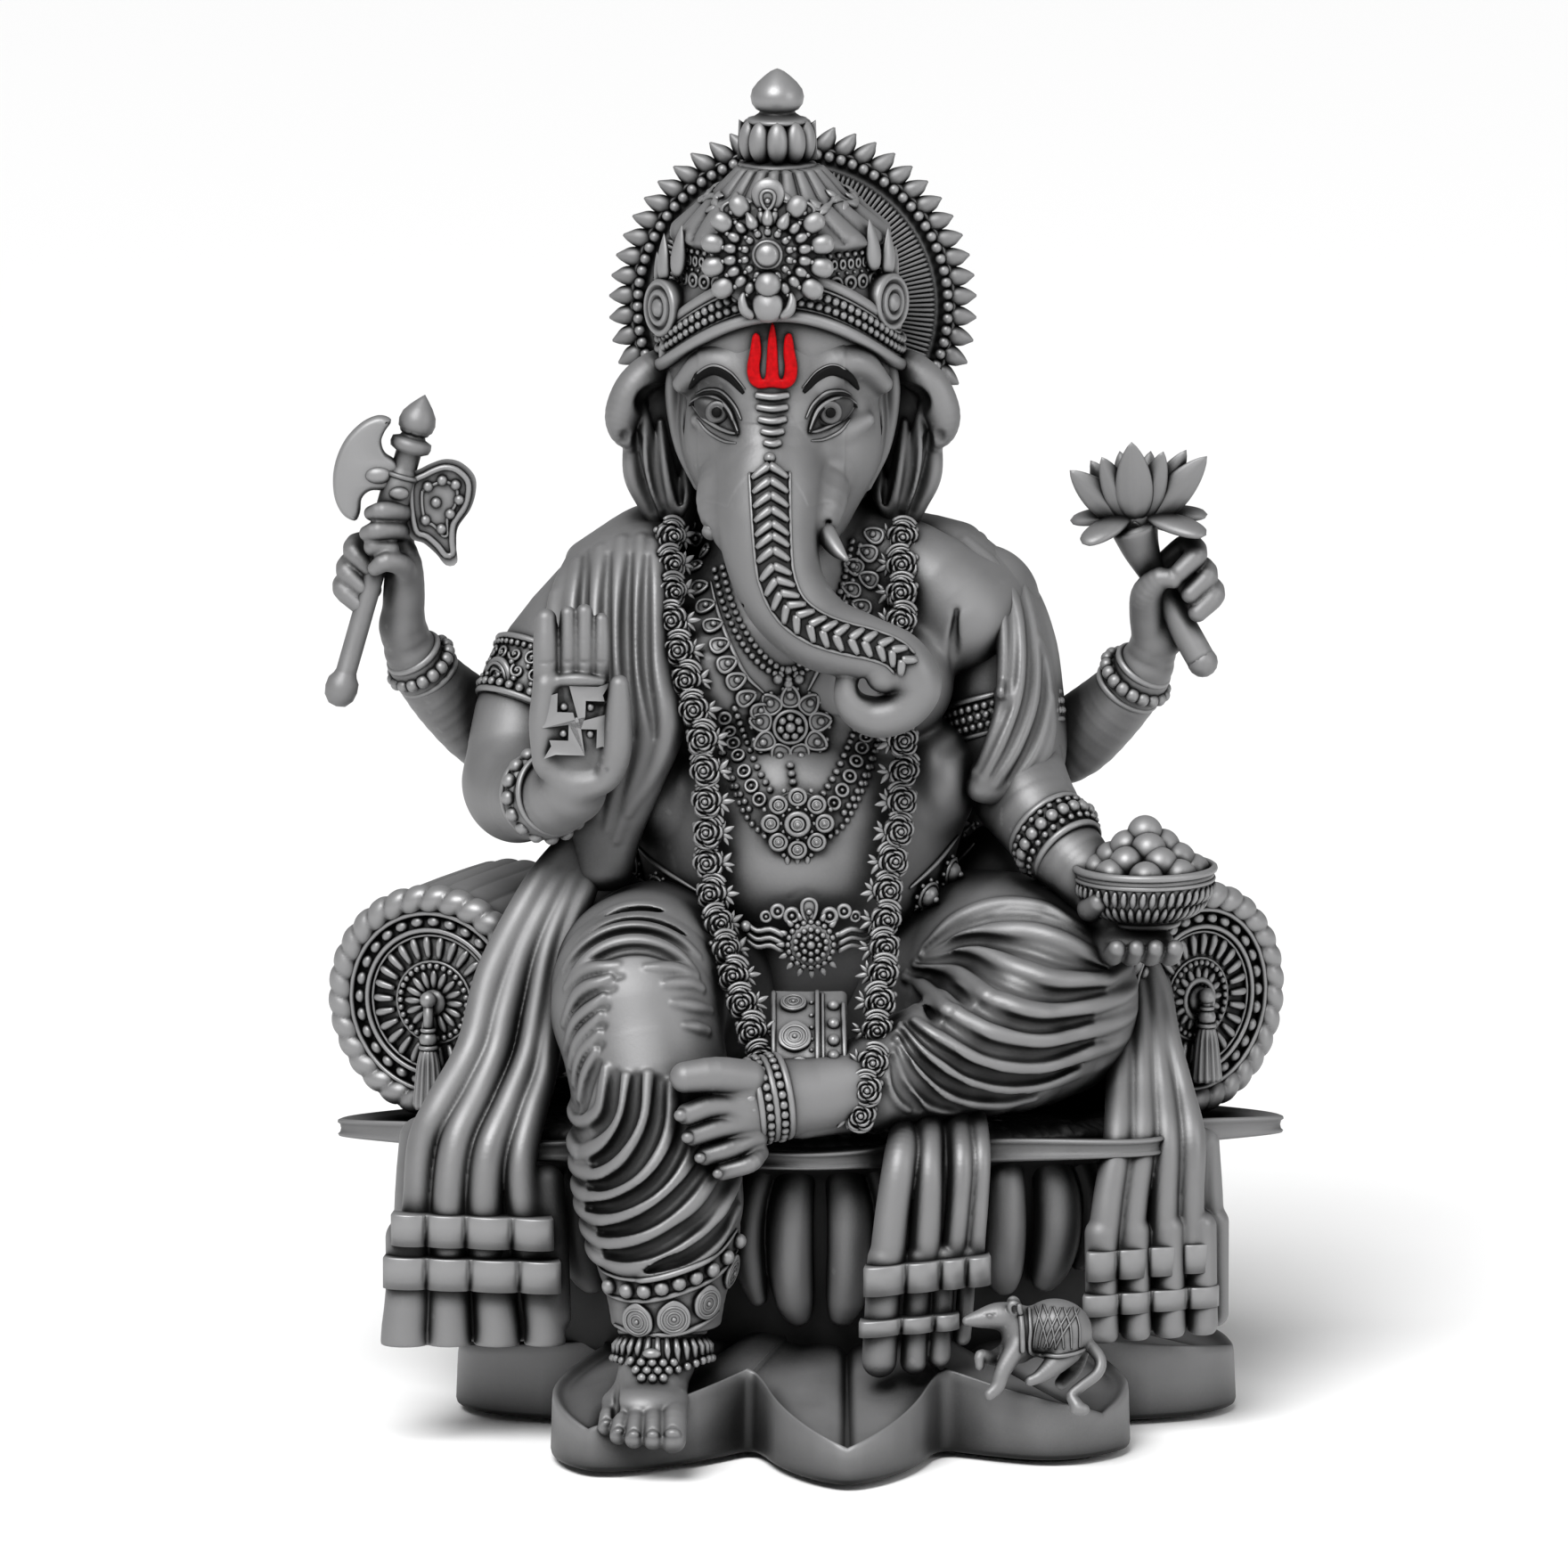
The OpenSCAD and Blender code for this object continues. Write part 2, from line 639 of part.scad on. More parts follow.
module crown_band() {
    color(bright) translate(crown_c + [0, 0, -8]) rotate([-22, 0, 0]) difference() {
        cylinder(r1 = crown_r + 1, r2 = crown_r + 0.4, h = 9, $fn = 64);
        translate([0, 0, -1]) cylinder(r = crown_r - 3, h = 11, $fn = 64);
    }
}

module crown_dome() {
    color(pewter) translate(crown_c) rotate_extrude($fn = 64)
        polygon([[0, -6], [22, -6], [crown_r - 1, 0], [crown_r, 8], [24, 12], [18, 18], [10, 24], [6.5,
            27], [0, 27]]);
}

// Front medallion, side discs and side flames
module crown_jewels() {
    color(bright) {
        translate([-17.5, -24.4, 266]) rotate([82, 0, 0]) {
            cylinder(r = 13, h = 3, center = true, $fn = 48);
            cylinder(r = 9, h = 5.4, center = true, $fn = 48);
            cylinder(r = 3, h = 8, center = true, $fn = 48);
        }
        translate([-41, -5, 252]) rotate([90, 0, -62]) cylinder(r = 6.6, h = 3, center = true, $fn = 48);
        translate([11.5, -7, 253]) rotate([90, 0, 50]) cylinder(r = 6.6, h = 3, center = true, $fn = 48);
        translate([-40, -4, 262]) rotate([0, -8, 0]) cylinder(r1 = 2.6, r2 = 0.6, h = 9, $fn = 24);
        translate([12, -5, 263]) rotate([0, 12, 0]) cylinder(r1 = 2.6, r2 = 0.6, h = 9, $fn = 24);
    }
}

// Plate, vase, ring and pointed bud on top of the crown
module crown_spire() {
    color(bright) translate([-15.5, 5, 282.6]) rotate_extrude($fn = 48)
        polygon([[0, 0], [8.2, 0], [8.2, 1.6], [6.4, 1.6], [9, 4.2], [9.2, 6.6], [7, 9.2], [5.8, 9.2],
            [5.8, 11.2],
            [4, 11.2], [5.9, 13.8], [5.4, 16.4], [2.6, 19.8], [0.7, 21.8], [0, 22]]);
}

module halo_disc() {
    color(dark) translate(halo_c) rotate([-90, 0, 0]) cylinder(r = halo_r - 6, h = 2.6, $fn = 96);
}

module halo_beads() {
    color(bright) translate(halo_c) rotate([90, 0, 0]) for (i = [0 : bead_count - 1])
        rotate(i * 360 / bead_count) translate([halo_r - 7.6, 0, 0.6]) sphere(1.6, $fn = 24);
}

module halo_flames() {
    color(pewter) translate(halo_c + [0, 2.9, 0]) rotate([90, 0, 0]) for (i = [0 : flame_count - 1])
        rotate(i * 360 / flame_count) linear_extrude(3.2)
            polygon([[halo_r - 6.4, -1.9], [halo_r - 3, -2.1], [halo_r - 0.2, 0.8], [halo_r - 0.6, 1.2],
                [halo_r - 3, 1.2], [halo_r - 6.4, 1.6]]);
}

module garlands() {
    color(bright) {
        beads([-39.5, -4, 199], [-38.6, -16, 180], 4, 3.4);
        beads([-37.4, -19, 172.5], [-32, -25, 156], 3, 3.4);
        beads([-31.4, -27, 148], [-31, -29, 128], 4, 3.4);
        beads([-30, -32, 120.5], [-25.5, -43, 106], 3, 3.4);
        beads([-23, -47, 99], [-15, -55.5, 80], 4, 3.4);
        beads([12, -4, 199], [12.4, -16, 180], 4, 3.4);
        beads([12.6, -20, 172.5], [12.6, -24, 157], 3, 3.4);
        beads([12, -26, 149], [9.6, -29, 129], 4, 3.4);
        beads([9, -32, 121], [8.4, -42, 107], 3, 3.4);
        beads([7.4, -46, 100], [3.4, -55.5, 80], 4, 3.4);
    }
}

module necklaces() {
    color(bright) {
        beads([-34, -14, 193], [-22, -21, 166], 9, 1.5);
        beads([5, -13, 194], [-4, -20, 168], 8, 1.5);
        beads([-27, -22, 158], [-17, -27, 141], 7, 1.4);
        beads([6, -22, 158], [-5, -27, 141], 7, 1.4);
    }
}

module pendants() {
    color(bright) {
        translate([-12.6, -21, 159]) rotate([88, 0, 0]) cylinder(r = 9, h = 6, $fn = 48);
        translate([-11, -22, 139]) rotate([92, 0, 0]) cylinder(r = 8.4, h = 6, $fn = 48);
    }
}

module mouse() {
    color(pewter) {
        limb([[27.4, -68, 33.6], [31, -67, 34.4], [36, -66, 34], [41, -66, 32]], [1.4, 2.6, 3.6, 4.4]);
        limb([[44, -65, 31], [49, -64, 30]], [7, 6.6]);
        limb([[38, -68, 30], [35, -70, 24], [33, -71.5, 20.5]], [2.6, 2, 1.8]);
        limb([[46, -68, 26], [42, -71, 21]], [3, 1.8]);
        limb([[54, -64, 27], [57, -66, 22], [53, -70, 16.4], [50.6, -71, 14.6]], [1.4, 1.3, 1.2, 1.8]);
    }
}

felt_pad();
base_lotus();
base_dowels();
seat_core();
seat_petals();
seat_rim();
seat_mat();
bolster_right();
bolster_left();
bolster_rosettes();
tassels();
drape_right();
drape_left();
drape_front();
drape_hems();
torso();
leg_right();
leg_left();
foot_right();
foot_left();
anklets();
sash_panel();
belt();
arm_front_right();
arm_front_left();
arm_rear_right();
arm_rear_left();
arm_pins();
palm_emblem();
armlets();
bracelets();
axe_handle();
axe_blade();
lotus_flower();
lotus_stem();
sweet_bowl();
sweets();
shawl_right();
shawl_left();
head();
ear_right();
ear_left();
trunk();
trunk_ornament();
tusks();
eyes();
tilak();
crown_band();
crown_dome();
crown_jewels();
crown_spire();
halo_disc();
halo_beads();
halo_flames();
garlands();
necklaces();
pendants();
mouse();
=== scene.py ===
import math
import bpy
import numpy as np
import openvdb
from mathutils import Euler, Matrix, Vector, geometry


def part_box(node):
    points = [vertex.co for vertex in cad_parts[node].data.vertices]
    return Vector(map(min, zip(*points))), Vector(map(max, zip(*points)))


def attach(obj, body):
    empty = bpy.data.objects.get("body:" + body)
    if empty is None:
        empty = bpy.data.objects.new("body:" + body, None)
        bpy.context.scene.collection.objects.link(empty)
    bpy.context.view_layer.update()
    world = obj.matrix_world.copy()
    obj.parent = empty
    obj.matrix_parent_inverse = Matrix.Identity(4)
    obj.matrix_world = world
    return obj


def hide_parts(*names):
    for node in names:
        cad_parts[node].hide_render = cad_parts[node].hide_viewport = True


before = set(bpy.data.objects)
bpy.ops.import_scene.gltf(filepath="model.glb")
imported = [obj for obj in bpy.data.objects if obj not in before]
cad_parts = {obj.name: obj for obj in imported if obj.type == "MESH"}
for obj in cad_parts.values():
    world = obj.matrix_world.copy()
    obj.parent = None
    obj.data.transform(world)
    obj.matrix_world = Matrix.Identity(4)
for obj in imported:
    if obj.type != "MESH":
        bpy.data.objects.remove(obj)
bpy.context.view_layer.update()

# Everything below is worked out in millimetres and scaled when a mesh is made.
MM = 0.001
FAR = 5.0
COARSE = 0.46
MEDIUM = 0.36
DETAIL = 0.26
FRONT = np.array([0.0, -1.0, 0.0])
UP = np.array([0.0, 0.0, 1.0])


def box_mm(node):
    """Lowest and highest corner of a CAD node, in mm."""
    low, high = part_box(node)
    return np.array(low) / MM, np.array(high) / MM


def middle(node):
    """Centre of a CAD node's box, in mm."""
    low, high = box_mm(node)
    return (low + high) / 2


# ---------------------------------------------------------------- curves

def smooth(points, gap):
    """Points about gap apart along a smooth curve through the given ones."""
    p = np.array(points, dtype=float)
    ends = np.vstack([2 * p[0] - p[1], p, 2 * p[-1] - p[-2]])
    out = []
    for i in range(len(p) - 1):
        a, b, c, d = ends[i:i + 4]
        n = max(2, int(round(np.linalg.norm((c - b)[:3]) / gap)))
        t = np.linspace(0, 1, n, endpoint=False)[:, None]
        out.append(0.5 * (2 * b + (c - a) * t + (2 * a - 5 * b + 4 * c - d) * t ** 2
                          + (3 * b - a - 3 * c + d) * t ** 3))
    out.append(p[-1:])
    return np.vstack(out)


def spaced(points, gap):
    """Points exactly evenly spaced, about gap apart, along a smooth curve."""
    fine = smooth(points, gap / 6)
    run = np.concatenate([[0], np.cumsum(np.linalg.norm(np.diff(fine[:, :3], axis=0), axis=1))])
    n = max(2, int(round(run[-1] / gap)) + 1)
    at = np.linspace(0, run[-1], n)
    return np.stack([np.interp(at, run, fine[:, k]) for k in range(fine.shape[1])], axis=1)


def unit(v):
    v = np.asarray(v, dtype=float)
    return v / np.maximum(np.linalg.norm(v, axis=-1, keepdims=True), 1e-9)


def facing(out, up=UP):
    """A turn whose third axis points along out and whose second is as near up as it can be."""
    out = unit(out)
    right = np.cross(up, out)
    if np.linalg.norm(right) < 1e-3:
        right = np.cross([0.0, 1.0, 0.0], out)
    right = unit(right)
    return np.stack([right, np.cross(out, right), out], axis=1)


def spin(angle):
    """A turn of angle degrees about the third axis."""
    c, s = math.cos(math.radians(angle)), math.sin(math.radians(angle))
    return np.array([[c, -s, 0.0], [s, c, 0.0], [0.0, 0.0, 1.0]])


def turned(x, y, z):
    """A turn by three Euler angles in degrees."""
    return np.array(Euler([math.radians(a) for a in (x, y, z)]).to_matrix())


# ---------------------------------------------------------------- clay

class Clay:
    """A block of clay, held as signed distances on a grid. Strokes add to it or cut it."""

    def __init__(self, low, high, step):
        self.step = step
        self.low = np.array(low, dtype=np.float32)
        self.size = np.ceil((np.array(high) - self.low) / step).astype(int) + 1
        self.field = np.full(self.size, FAR, dtype=np.float32)

    def window(self, low, high):
        """The part of the grid between two corners, and its coordinates."""
        first = np.clip(np.floor((low - self.low) / self.step).astype(int), 0, self.size)
        last = np.clip(np.ceil((high - self.low) / self.step).astype(int) + 1, 0, self.size)
        return first, np.maximum(last, first)

    def axes(self, first, last):
        shapes = ((-1, 1, 1), (1, -1, 1), (1, 1, -1))
        return [(self.low[i] + self.step * np.arange(first[i], last[i],
                                                     dtype=np.float32)).reshape(shapes[i])
                for i in range(3)]

    def merge(self, first, last, distance, soft, cut):
        part = tuple(slice(a, b) for a, b in zip(first, last))
        old = self.field[part]
        if cut:
            distance = -distance
        near = np.maximum(soft - np.abs(old - distance), 0)
        fillet = near * near / (4 * soft)
        self.field[part] = np.maximum(old, distance) + fillet if cut else np.minimum(old, distance) - fillet

    def blob(self, centre, half, turn=(0, 0, 0), soft=3.0, cut=False):
        """Adds or cuts an ellipsoid with the half axes half."""
        centre = np.array(centre, dtype=np.float32)
        reach = max(half) + soft + 2 * self.step
        first, last = self.window(centre - reach, centre + reach)
        if (last <= first).any():
            return
        x, y, z = self.axes(first, last)
        x, y, z = x - centre[0], y - centre[1], z - centre[2]
        m = turned(*turn).astype(np.float32)
        local = [m[0][i] * x + m[1][i] * y + m[2][i] * z for i in range(3)]
        k0 = np.sqrt(sum((local[i] / half[i]) ** 2 for i in range(3)))
        k1 = np.sqrt(sum((local[i] / half[i] ** 2) ** 2 for i in range(3)))
        self.merge(first, last, k0 * (k0 - 1) / np.maximum(k1, 1e-5), soft, cut)

    def stroke(self, points, soft=2.0, flat=None, cut=False):
        """Adds or cuts a coil of clay through (x, y, z, radius) points.

        flat is a direction and the share of the coil's depth that is kept along it.
        """
        path = smooth(points, max(min(p[3] for p in points) * 0.7, self.step * 2))
        pad = soft + 2 * self.step
        low = (path[:, :3] - path[:, 3:]).min(axis=0) - pad
        high = (path[:, :3] + path[:, 3:]).max(axis=0) + pad
        first, last = self.window(low, high)
        if (last <= first).any():
            return
        near = np.full(last - first, FAR, dtype=np.float32)
        if flat is not None:
            way = unit(flat[0]).astype(np.float32)
            more = np.float32(1 / flat[1] - 1)
        for a, b in zip(path[:-1], path[1:]):
            reach = max(a[3], b[3]) + pad
            f, l = self.window(np.minimum(a[:3], b[:3]) - reach, np.maximum(a[:3], b[:3]) + reach)
            f, l = np.maximum(f, first), np.minimum(l, last)
            if (l <= f).any():
                continue
            x, y, z = self.axes(f, l)
            d = b[:3] - a[:3]
            x, y, z = x - np.float32(a[0]), y - np.float32(a[1]), z - np.float32(a[2])
            t = np.clip((x * np.float32(d[0]) + y * np.float32(d[1]) + z * np.float32(d[2]))
                        / np.float32(max(d @ d, 1e-6)), 0, 1)
            x, y, z = x - t * np.float32(d[0]), y - t * np.float32(d[1]), z - t * np.float32(d[2])
            if flat is not None:
                over = (x * way[0] + y * way[1] + z * way[2]) * more
                x, y, z = x + way[0] * over, y + way[1] * over, z + way[2] * over
            dist = np.sqrt(x * x + y * y + z * z) - (np.float32(a[3]) + t * np.float32(b[3] - a[3]))
            s = tuple(slice(i - k, j - k) for i, j, k in zip(f, l, first))
            near[s] = np.minimum(near[s], dist)
        self.merge(first, last, near, soft, cut)

    def sample(self, points):
        """Signed distance at any points."""
        g = (points - self.low) / self.step
        i = np.floor(g).astype(int)
        inside = ((i >= 0) & (i < self.size - 1)).all(axis=-1)
        i = np.clip(i, 0, self.size - 2)
        f = np.clip(g - i, 0, 1)
        total = 0
        for dx in (0, 1):
            for dy in (0, 1):
                for dz in (0, 1):
                    w = (abs(1 - dx - f[..., 0]) * abs(1 - dy - f[..., 1]) * abs(1 - dz - f[..., 2]))
                    total = total + w * self.field[i[..., 0] + dx, i[..., 1] + dy, i[..., 2] + dz]
        return np.where(inside, total, FAR)

    def hit(self, start, aim, reach=150):
        """Where rays first meet the clay: points, outward normals, and which rays met it."""
        start, aim = np.atleast_2d(start).astype(float), unit(np.atleast_2d(aim))
        gap = self.step * 0.8
        t = np.arange(0, reach, gap)
        value = self.sample(start[:, None, :] + aim[:, None, :] * t[None, :, None])
        inside = value < 0
        met = inside.any(axis=1)
        k = np.maximum(inside.argmax(axis=1), 1)
        rows = np.arange(len(k))
        v0, v1 = value[rows, k - 1], value[rows, k]
        depth = t[k - 1] + gap * np.clip(v0 / np.maximum(v0 - v1, 1e-6), 0, 1)
        p = start + aim * depth[:, None]
        e = self.step * 1.5
        n = np.stack([self.sample(p + e * u) - self.sample(p - e * u) for u in np.eye(3)], axis=-1)
        return p, unit(n), met

    def front(self, x, z):
        """The clay's front surface above the points (x, z)."""
        x, z = np.atleast_1d(x).astype(float), np.atleast_1d(z).astype(float)
        start = np.stack([x, np.full_like(x, self.low[1] - 1), z], axis=1)
        return self.hit(start, np.tile([0.0, 1.0, 0.0], (len(x), 1)))

    def plane(self, point, out, soft=1.0):
        """Cuts away all the clay on the outer side of a plane."""
        first, last = np.zeros(3, dtype=int), self.size
        x, y, z = self.axes(first, last)
        out = unit(out)
        d = (x - point[0]) * out[0] + (y - point[1]) * out[1] + (z - point[2]) * out[2]
        self.merge(first, last, -d, soft, True)

    def mesh(self):
        """The clay's surface as points, four-sided faces and no triangles."""
        field = self.field.copy()
        for axis in range(3):
            for side in (0, -1):
                edge = [slice(None)] * 3
                edge[axis] = side
                field[tuple(edge)] = np.maximum(field[tuple(edge)], self.step)
        grid = openvdb.FloatGrid(FAR)
        grid.copyFromArray(np.clip(field, -FAR, FAR))
        points, _, quads = grid.convertToPolygons(isovalue=0.0, adaptivity=0.0)
        points = points * self.step + self.low
        keep = largest_pieces(len(points), quads)
        return points, quads[keep].astype(np.int64), np.zeros((0, 3), dtype=np.int64)


def largest_pieces(count, quads, share=0.02):
    """Which faces belong to pieces big enough to keep, so that no crumbs are left."""
    label = np.arange(count)
    q = quads.astype(np.int64)
    for _ in range(400):
        low = label[q].min(axis=1)
        new = label.copy()
        for k in range(4):
            np.minimum.at(new, q[:, k], low)
        new = new[new]
        if (new == label).all():
            break
        label = new
    group = label[q[:, 0]]
    sizes = np.bincount(group, minlength=count)
    return sizes[group] >= share * sizes.max()


# ---------------------------------------------------------------- meshes

def outward(points, quads, triangles):
    """The same closed shape, with its faces turned outward if they face inward."""
    corners = (points - points.mean(axis=0))[np.vstack([quads[:, :3], quads[:, [0, 2, 3]], triangles])]
    if np.einsum("ij,ij->", corners[:, 0], np.cross(corners[:, 1], corners[:, 2])) < 0:
        return points, quads[:, ::-1], triangles[:, ::-1]
    return points, quads, triangles


class Heap:
    """Gathers closed shapes into one mesh, each with its faces outward."""

    def __init__(self):
        self.points, self.quads, self.triangles, self.count = [], [], [], 0

    def put(self, shape, at=(0, 0, 0), turn=None, size=1.0):
        points, quads, triangles = shape
        points = points * size
        if turn is not None:
            points = points @ np.asarray(turn).T
        points, quads, triangles = outward(points, quads, triangles)
        self.points.append(points + np.asarray(at, dtype=float))
        self.quads.append(quads + self.count)
        self.triangles.append(triangles + self.count)
        self.count += len(points)

    def shape(self):
        return (np.vstack(self.points), np.vstack(self.quads), np.vstack(self.triangles))


def placed(shape, at, turn):
    """One closed shape, turned and moved to its place."""
    heap = Heap()
    heap.put(shape, at, turn)
    return heap.shape()


def make(name, shape, node, material, also=()):
    """Builds an object from a shape in mm, and lets it stand for its CAD nodes."""
    points, quads, triangles = outward(*shape)
    used = np.zeros(len(points), dtype=bool)
    used[quads.ravel()] = True
    used[triangles.ravel()] = True
    index = np.cumsum(used) - 1
    points, quads, triangles = points[used], index[quads], index[triangles]
    mesh = bpy.data.meshes.new(name)
    mesh.vertices.add(len(points))
    mesh.vertices.foreach_set("co", (points * MM).astype(np.float32).ravel())
    loops = np.concatenate([quads.ravel(), triangles.ravel()]).astype(np.int32)
    starts = np.concatenate([np.arange(len(quads)) * 4, len(quads) * 4 + np.arange(len(triangles)) * 3])
    mesh.loops.add(len(loops))
    mesh.loops.foreach_set("vertex_index", loops)
    mesh.polygons.add(len(starts))
    mesh.polygons.foreach_set("loop_start", starts.astype(np.int32))
    mesh.polygons.foreach_set("use_smooth", np.ones(len(starts), dtype=bool))
    mesh.update(calc_edges=True)
    mesh.validate()
    mesh.materials.append(material)
    piece = bpy.data.objects.new(name, mesh)
    bpy.context.scene.collection.objects.link(piece)
    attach(piece, "root")
    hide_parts(node, *also)
    return piece


def grid_faces(rows, columns, wrap=True):
    """Faces of a grid of rows by columns, closed round its columns."""
    r, c = np.meshgrid(np.arange(rows - 1), np.arange(columns if wrap else columns - 1), indexing="ij")
    n = (c + 1) % columns
    return np.stack([r * columns + c, r * columns + n, (r + 1) * columns + n, (r + 1) * columns + c],
                    axis=-1).reshape(-1, 4)


def capped(rings):
    """A closed skin over rings of points, each ring the same length, with a fan at both ends."""
    rings = np.asarray(rings, dtype=float)
    rows, columns = rings.shape[:2]
    points = np.vstack([rings.reshape(-1, 3), rings[0].mean(axis=0), rings[-1].mean(axis=0)])
    quads = grid_faces(rows, columns)
    k = np.arange(columns)
    n = (k + 1) % columns
    low = np.stack([n, k, np.full_like(k, rows * columns)], axis=1)
    top = np.stack([k, n, np.full_like(k, rows * columns + 1)], axis=1) + [
        (rows - 1) * columns, (rows - 1) * columns, 0]
    return points, quads, np.vstack([low, top])


def lathe(profile, columns=48):
    """A solid turned about the third axis from (radius, height) points, lowest first."""
    a = np.linspace(0, 2 * math.pi, columns, endpoint=False)
    rings = [np.stack([max(r, 1e-3) * np.cos(a), max(r, 1e-3) * np.sin(a), np.full_like(a, z)], axis=1)
             for r, z in profile]
    return capped(rings)


def ball(columns=12, rows=8):
    t = np.linspace(-0.5 * math.pi, 0.5 * math.pi, rows + 1)
    return lathe([(math.cos(k), math.sin(k)) for k in t], columns)


def hoop(radius, thick, columns=40, sides=10, flat=1.0):
    """A ring of round section lying in the plane of the first two axes."""
    a = np.linspace(0, 2 * math.pi, columns, endpoint=False)[:, None]
    b = np.linspace(0, 2 * math.pi, sides, endpoint=False)[None, :]
    r = radius + thick * np.cos(b)
    p = np.stack([r * np.cos(a), r * np.sin(a), thick * flat * np.sin(b) + 0 * a], axis=-1)
    q = grid_faces(columns + 1, sides) % (columns * sides)
    return p.reshape(-1, 3), q, np.zeros((0, 3), dtype=np.int64)


def rope(path, sides=10, flat=None):
    """A round bar along (x, y, z, radius) points."""
    path = np.asarray(path, dtype=float)
    p, r = path[:, :3], path[:, 3]
    way = unit(np.gradient(p, axis=0))
    side = np.cross(way[0], UP if abs(way[0][2]) < 0.9 else FRONT)
    rings = []
    b = np.linspace(0, 2 * math.pi, sides, endpoint=False)
    for k in range(len(p)):
        side = unit(side - way[k] * (side @ way[k]))
        other = np.cross(way[k], side)
        ring = np.outer(np.cos(b), side) + np.outer(np.sin(b), other)
        if flat is not None:
            ring = ring - np.outer(ring @ flat[0], flat[0]) * (1 - flat[1])
        rings.append(p[k] + r[k] * ring)
    return capped(rings)


def petal(length, width, height, point=0.9, belly=0.55, bend=0.0, rows=12, columns=14, ridge=0.0):
    """A closed leaf shape from the origin along the second axis, domed along the third."""
    u = np.linspace(0.0, 1.0, rows + 1)
    swell = np.clip(u ** belly * (1 - u) ** point, 0, None)
    swell = swell / swell.max()
    a = np.linspace(0, 2 * math.pi, columns, endpoint=False)
    rings = []
    for k in range(rows + 1):
        s = max(swell[k], 0.01)
        x = width / 2 * s * np.cos(a)
        z = height / 2 * s * (np.sin(a) + ridge * np.exp(-(np.cos(a) / 0.25) ** 2) * np.sign(np.sin(a)))
        rings.append(np.stack([x, np.full_like(a, length * u[k]), z + bend * u[k] ** 2], axis=1))
    points, quads, triangles = capped(rings)
    return points, quads[:, ::-1], triangles[:, ::-1]


def plate(outline, thick, bevel=0.25):
    """A flat plate with a bevelled top edge, from an outline in the plane of the first two axes."""
    o = np.asarray(outline, dtype=float)
    before, after = np.roll(o, 1, axis=0), np.roll(o, -1, axis=0)
    e1, e2 = unit(o - before), unit(after - o)
    n1 = np.stack([e1[:, 1], -e1[:, 0]], axis=1)
    n2 = np.stack([e2[:, 1], -e2[:, 0]], axis=1)
    n = unit(n1 + n2)
    n = n / np.maximum((n * n1).sum(axis=1, keepdims=True), 0.4)
    inner = o - n * bevel
    levels = [(o, 0.0), (o, thick - bevel), (inner * 0.35 + o * 0.65, thick - bevel * 0.3), (inner, thick)]
    rings = [np.column_stack([q, np.full(len(q), z)]) for q, z in levels]
    points = np.vstack(rings)
    quads = grid_faces(len(rings), len(o))
    flat = geometry.tessellate_polygon([[Vector((x, y, 0)) for x, y in inner]])
    tri = np.array(flat, dtype=np.int64)
    a, b, c = inner[tri[:, 0]], inner[tri[:, 1]], inner[tri[:, 2]]
    turn = (b[:, 0] - a[:, 0]) * (c[:, 1] - a[:, 1]) - (b[:, 1] - a[:, 1]) * (c[:, 0] - a[:, 0])
    tri[turn < 0] = tri[turn < 0][:, ::-1]
    top = tri + (len(rings) - 1) * len(o)
    bottom = tri[:, ::-1]
    return points, quads, np.vstack([top, bottom])


def together(*shapes):
    heap = Heap()
    for s in shapes:
        heap.put(*s) if isinstance(s[0], tuple) else heap.put(s)
    return heap.shape()


def round_outline(points, gap):
    """A closed smooth outline through the given points."""
    p = np.array(points, dtype=float)
    n = len(p)
    wide = np.vstack([p[-2:], p, p[:3]])
    wide = np.column_stack([wide, np.zeros(len(wide))])
    out = []
    for i in range(2, 2 + n):
        a, b, c, d = wide[i - 1], wide[i], wide[i + 1], wide[i + 2]
        m = max(2, int(round(np.linalg.norm(c - b) / gap)))
        t = np.linspace(0, 1, m, endpoint=False)[:, None]
        out.append(0.5 * (2 * b + (c - a) * t + (2 * a - 5 * b + 4 * c - d) * t ** 2
                          + (3 * b - a - 3 * c + d) * t ** 3))
    return np.vstack(out)[:, :2]


BALL = ball()
SMALL_BALL = ball(9, 6)


# ---------------------------------------------------------------- finishes

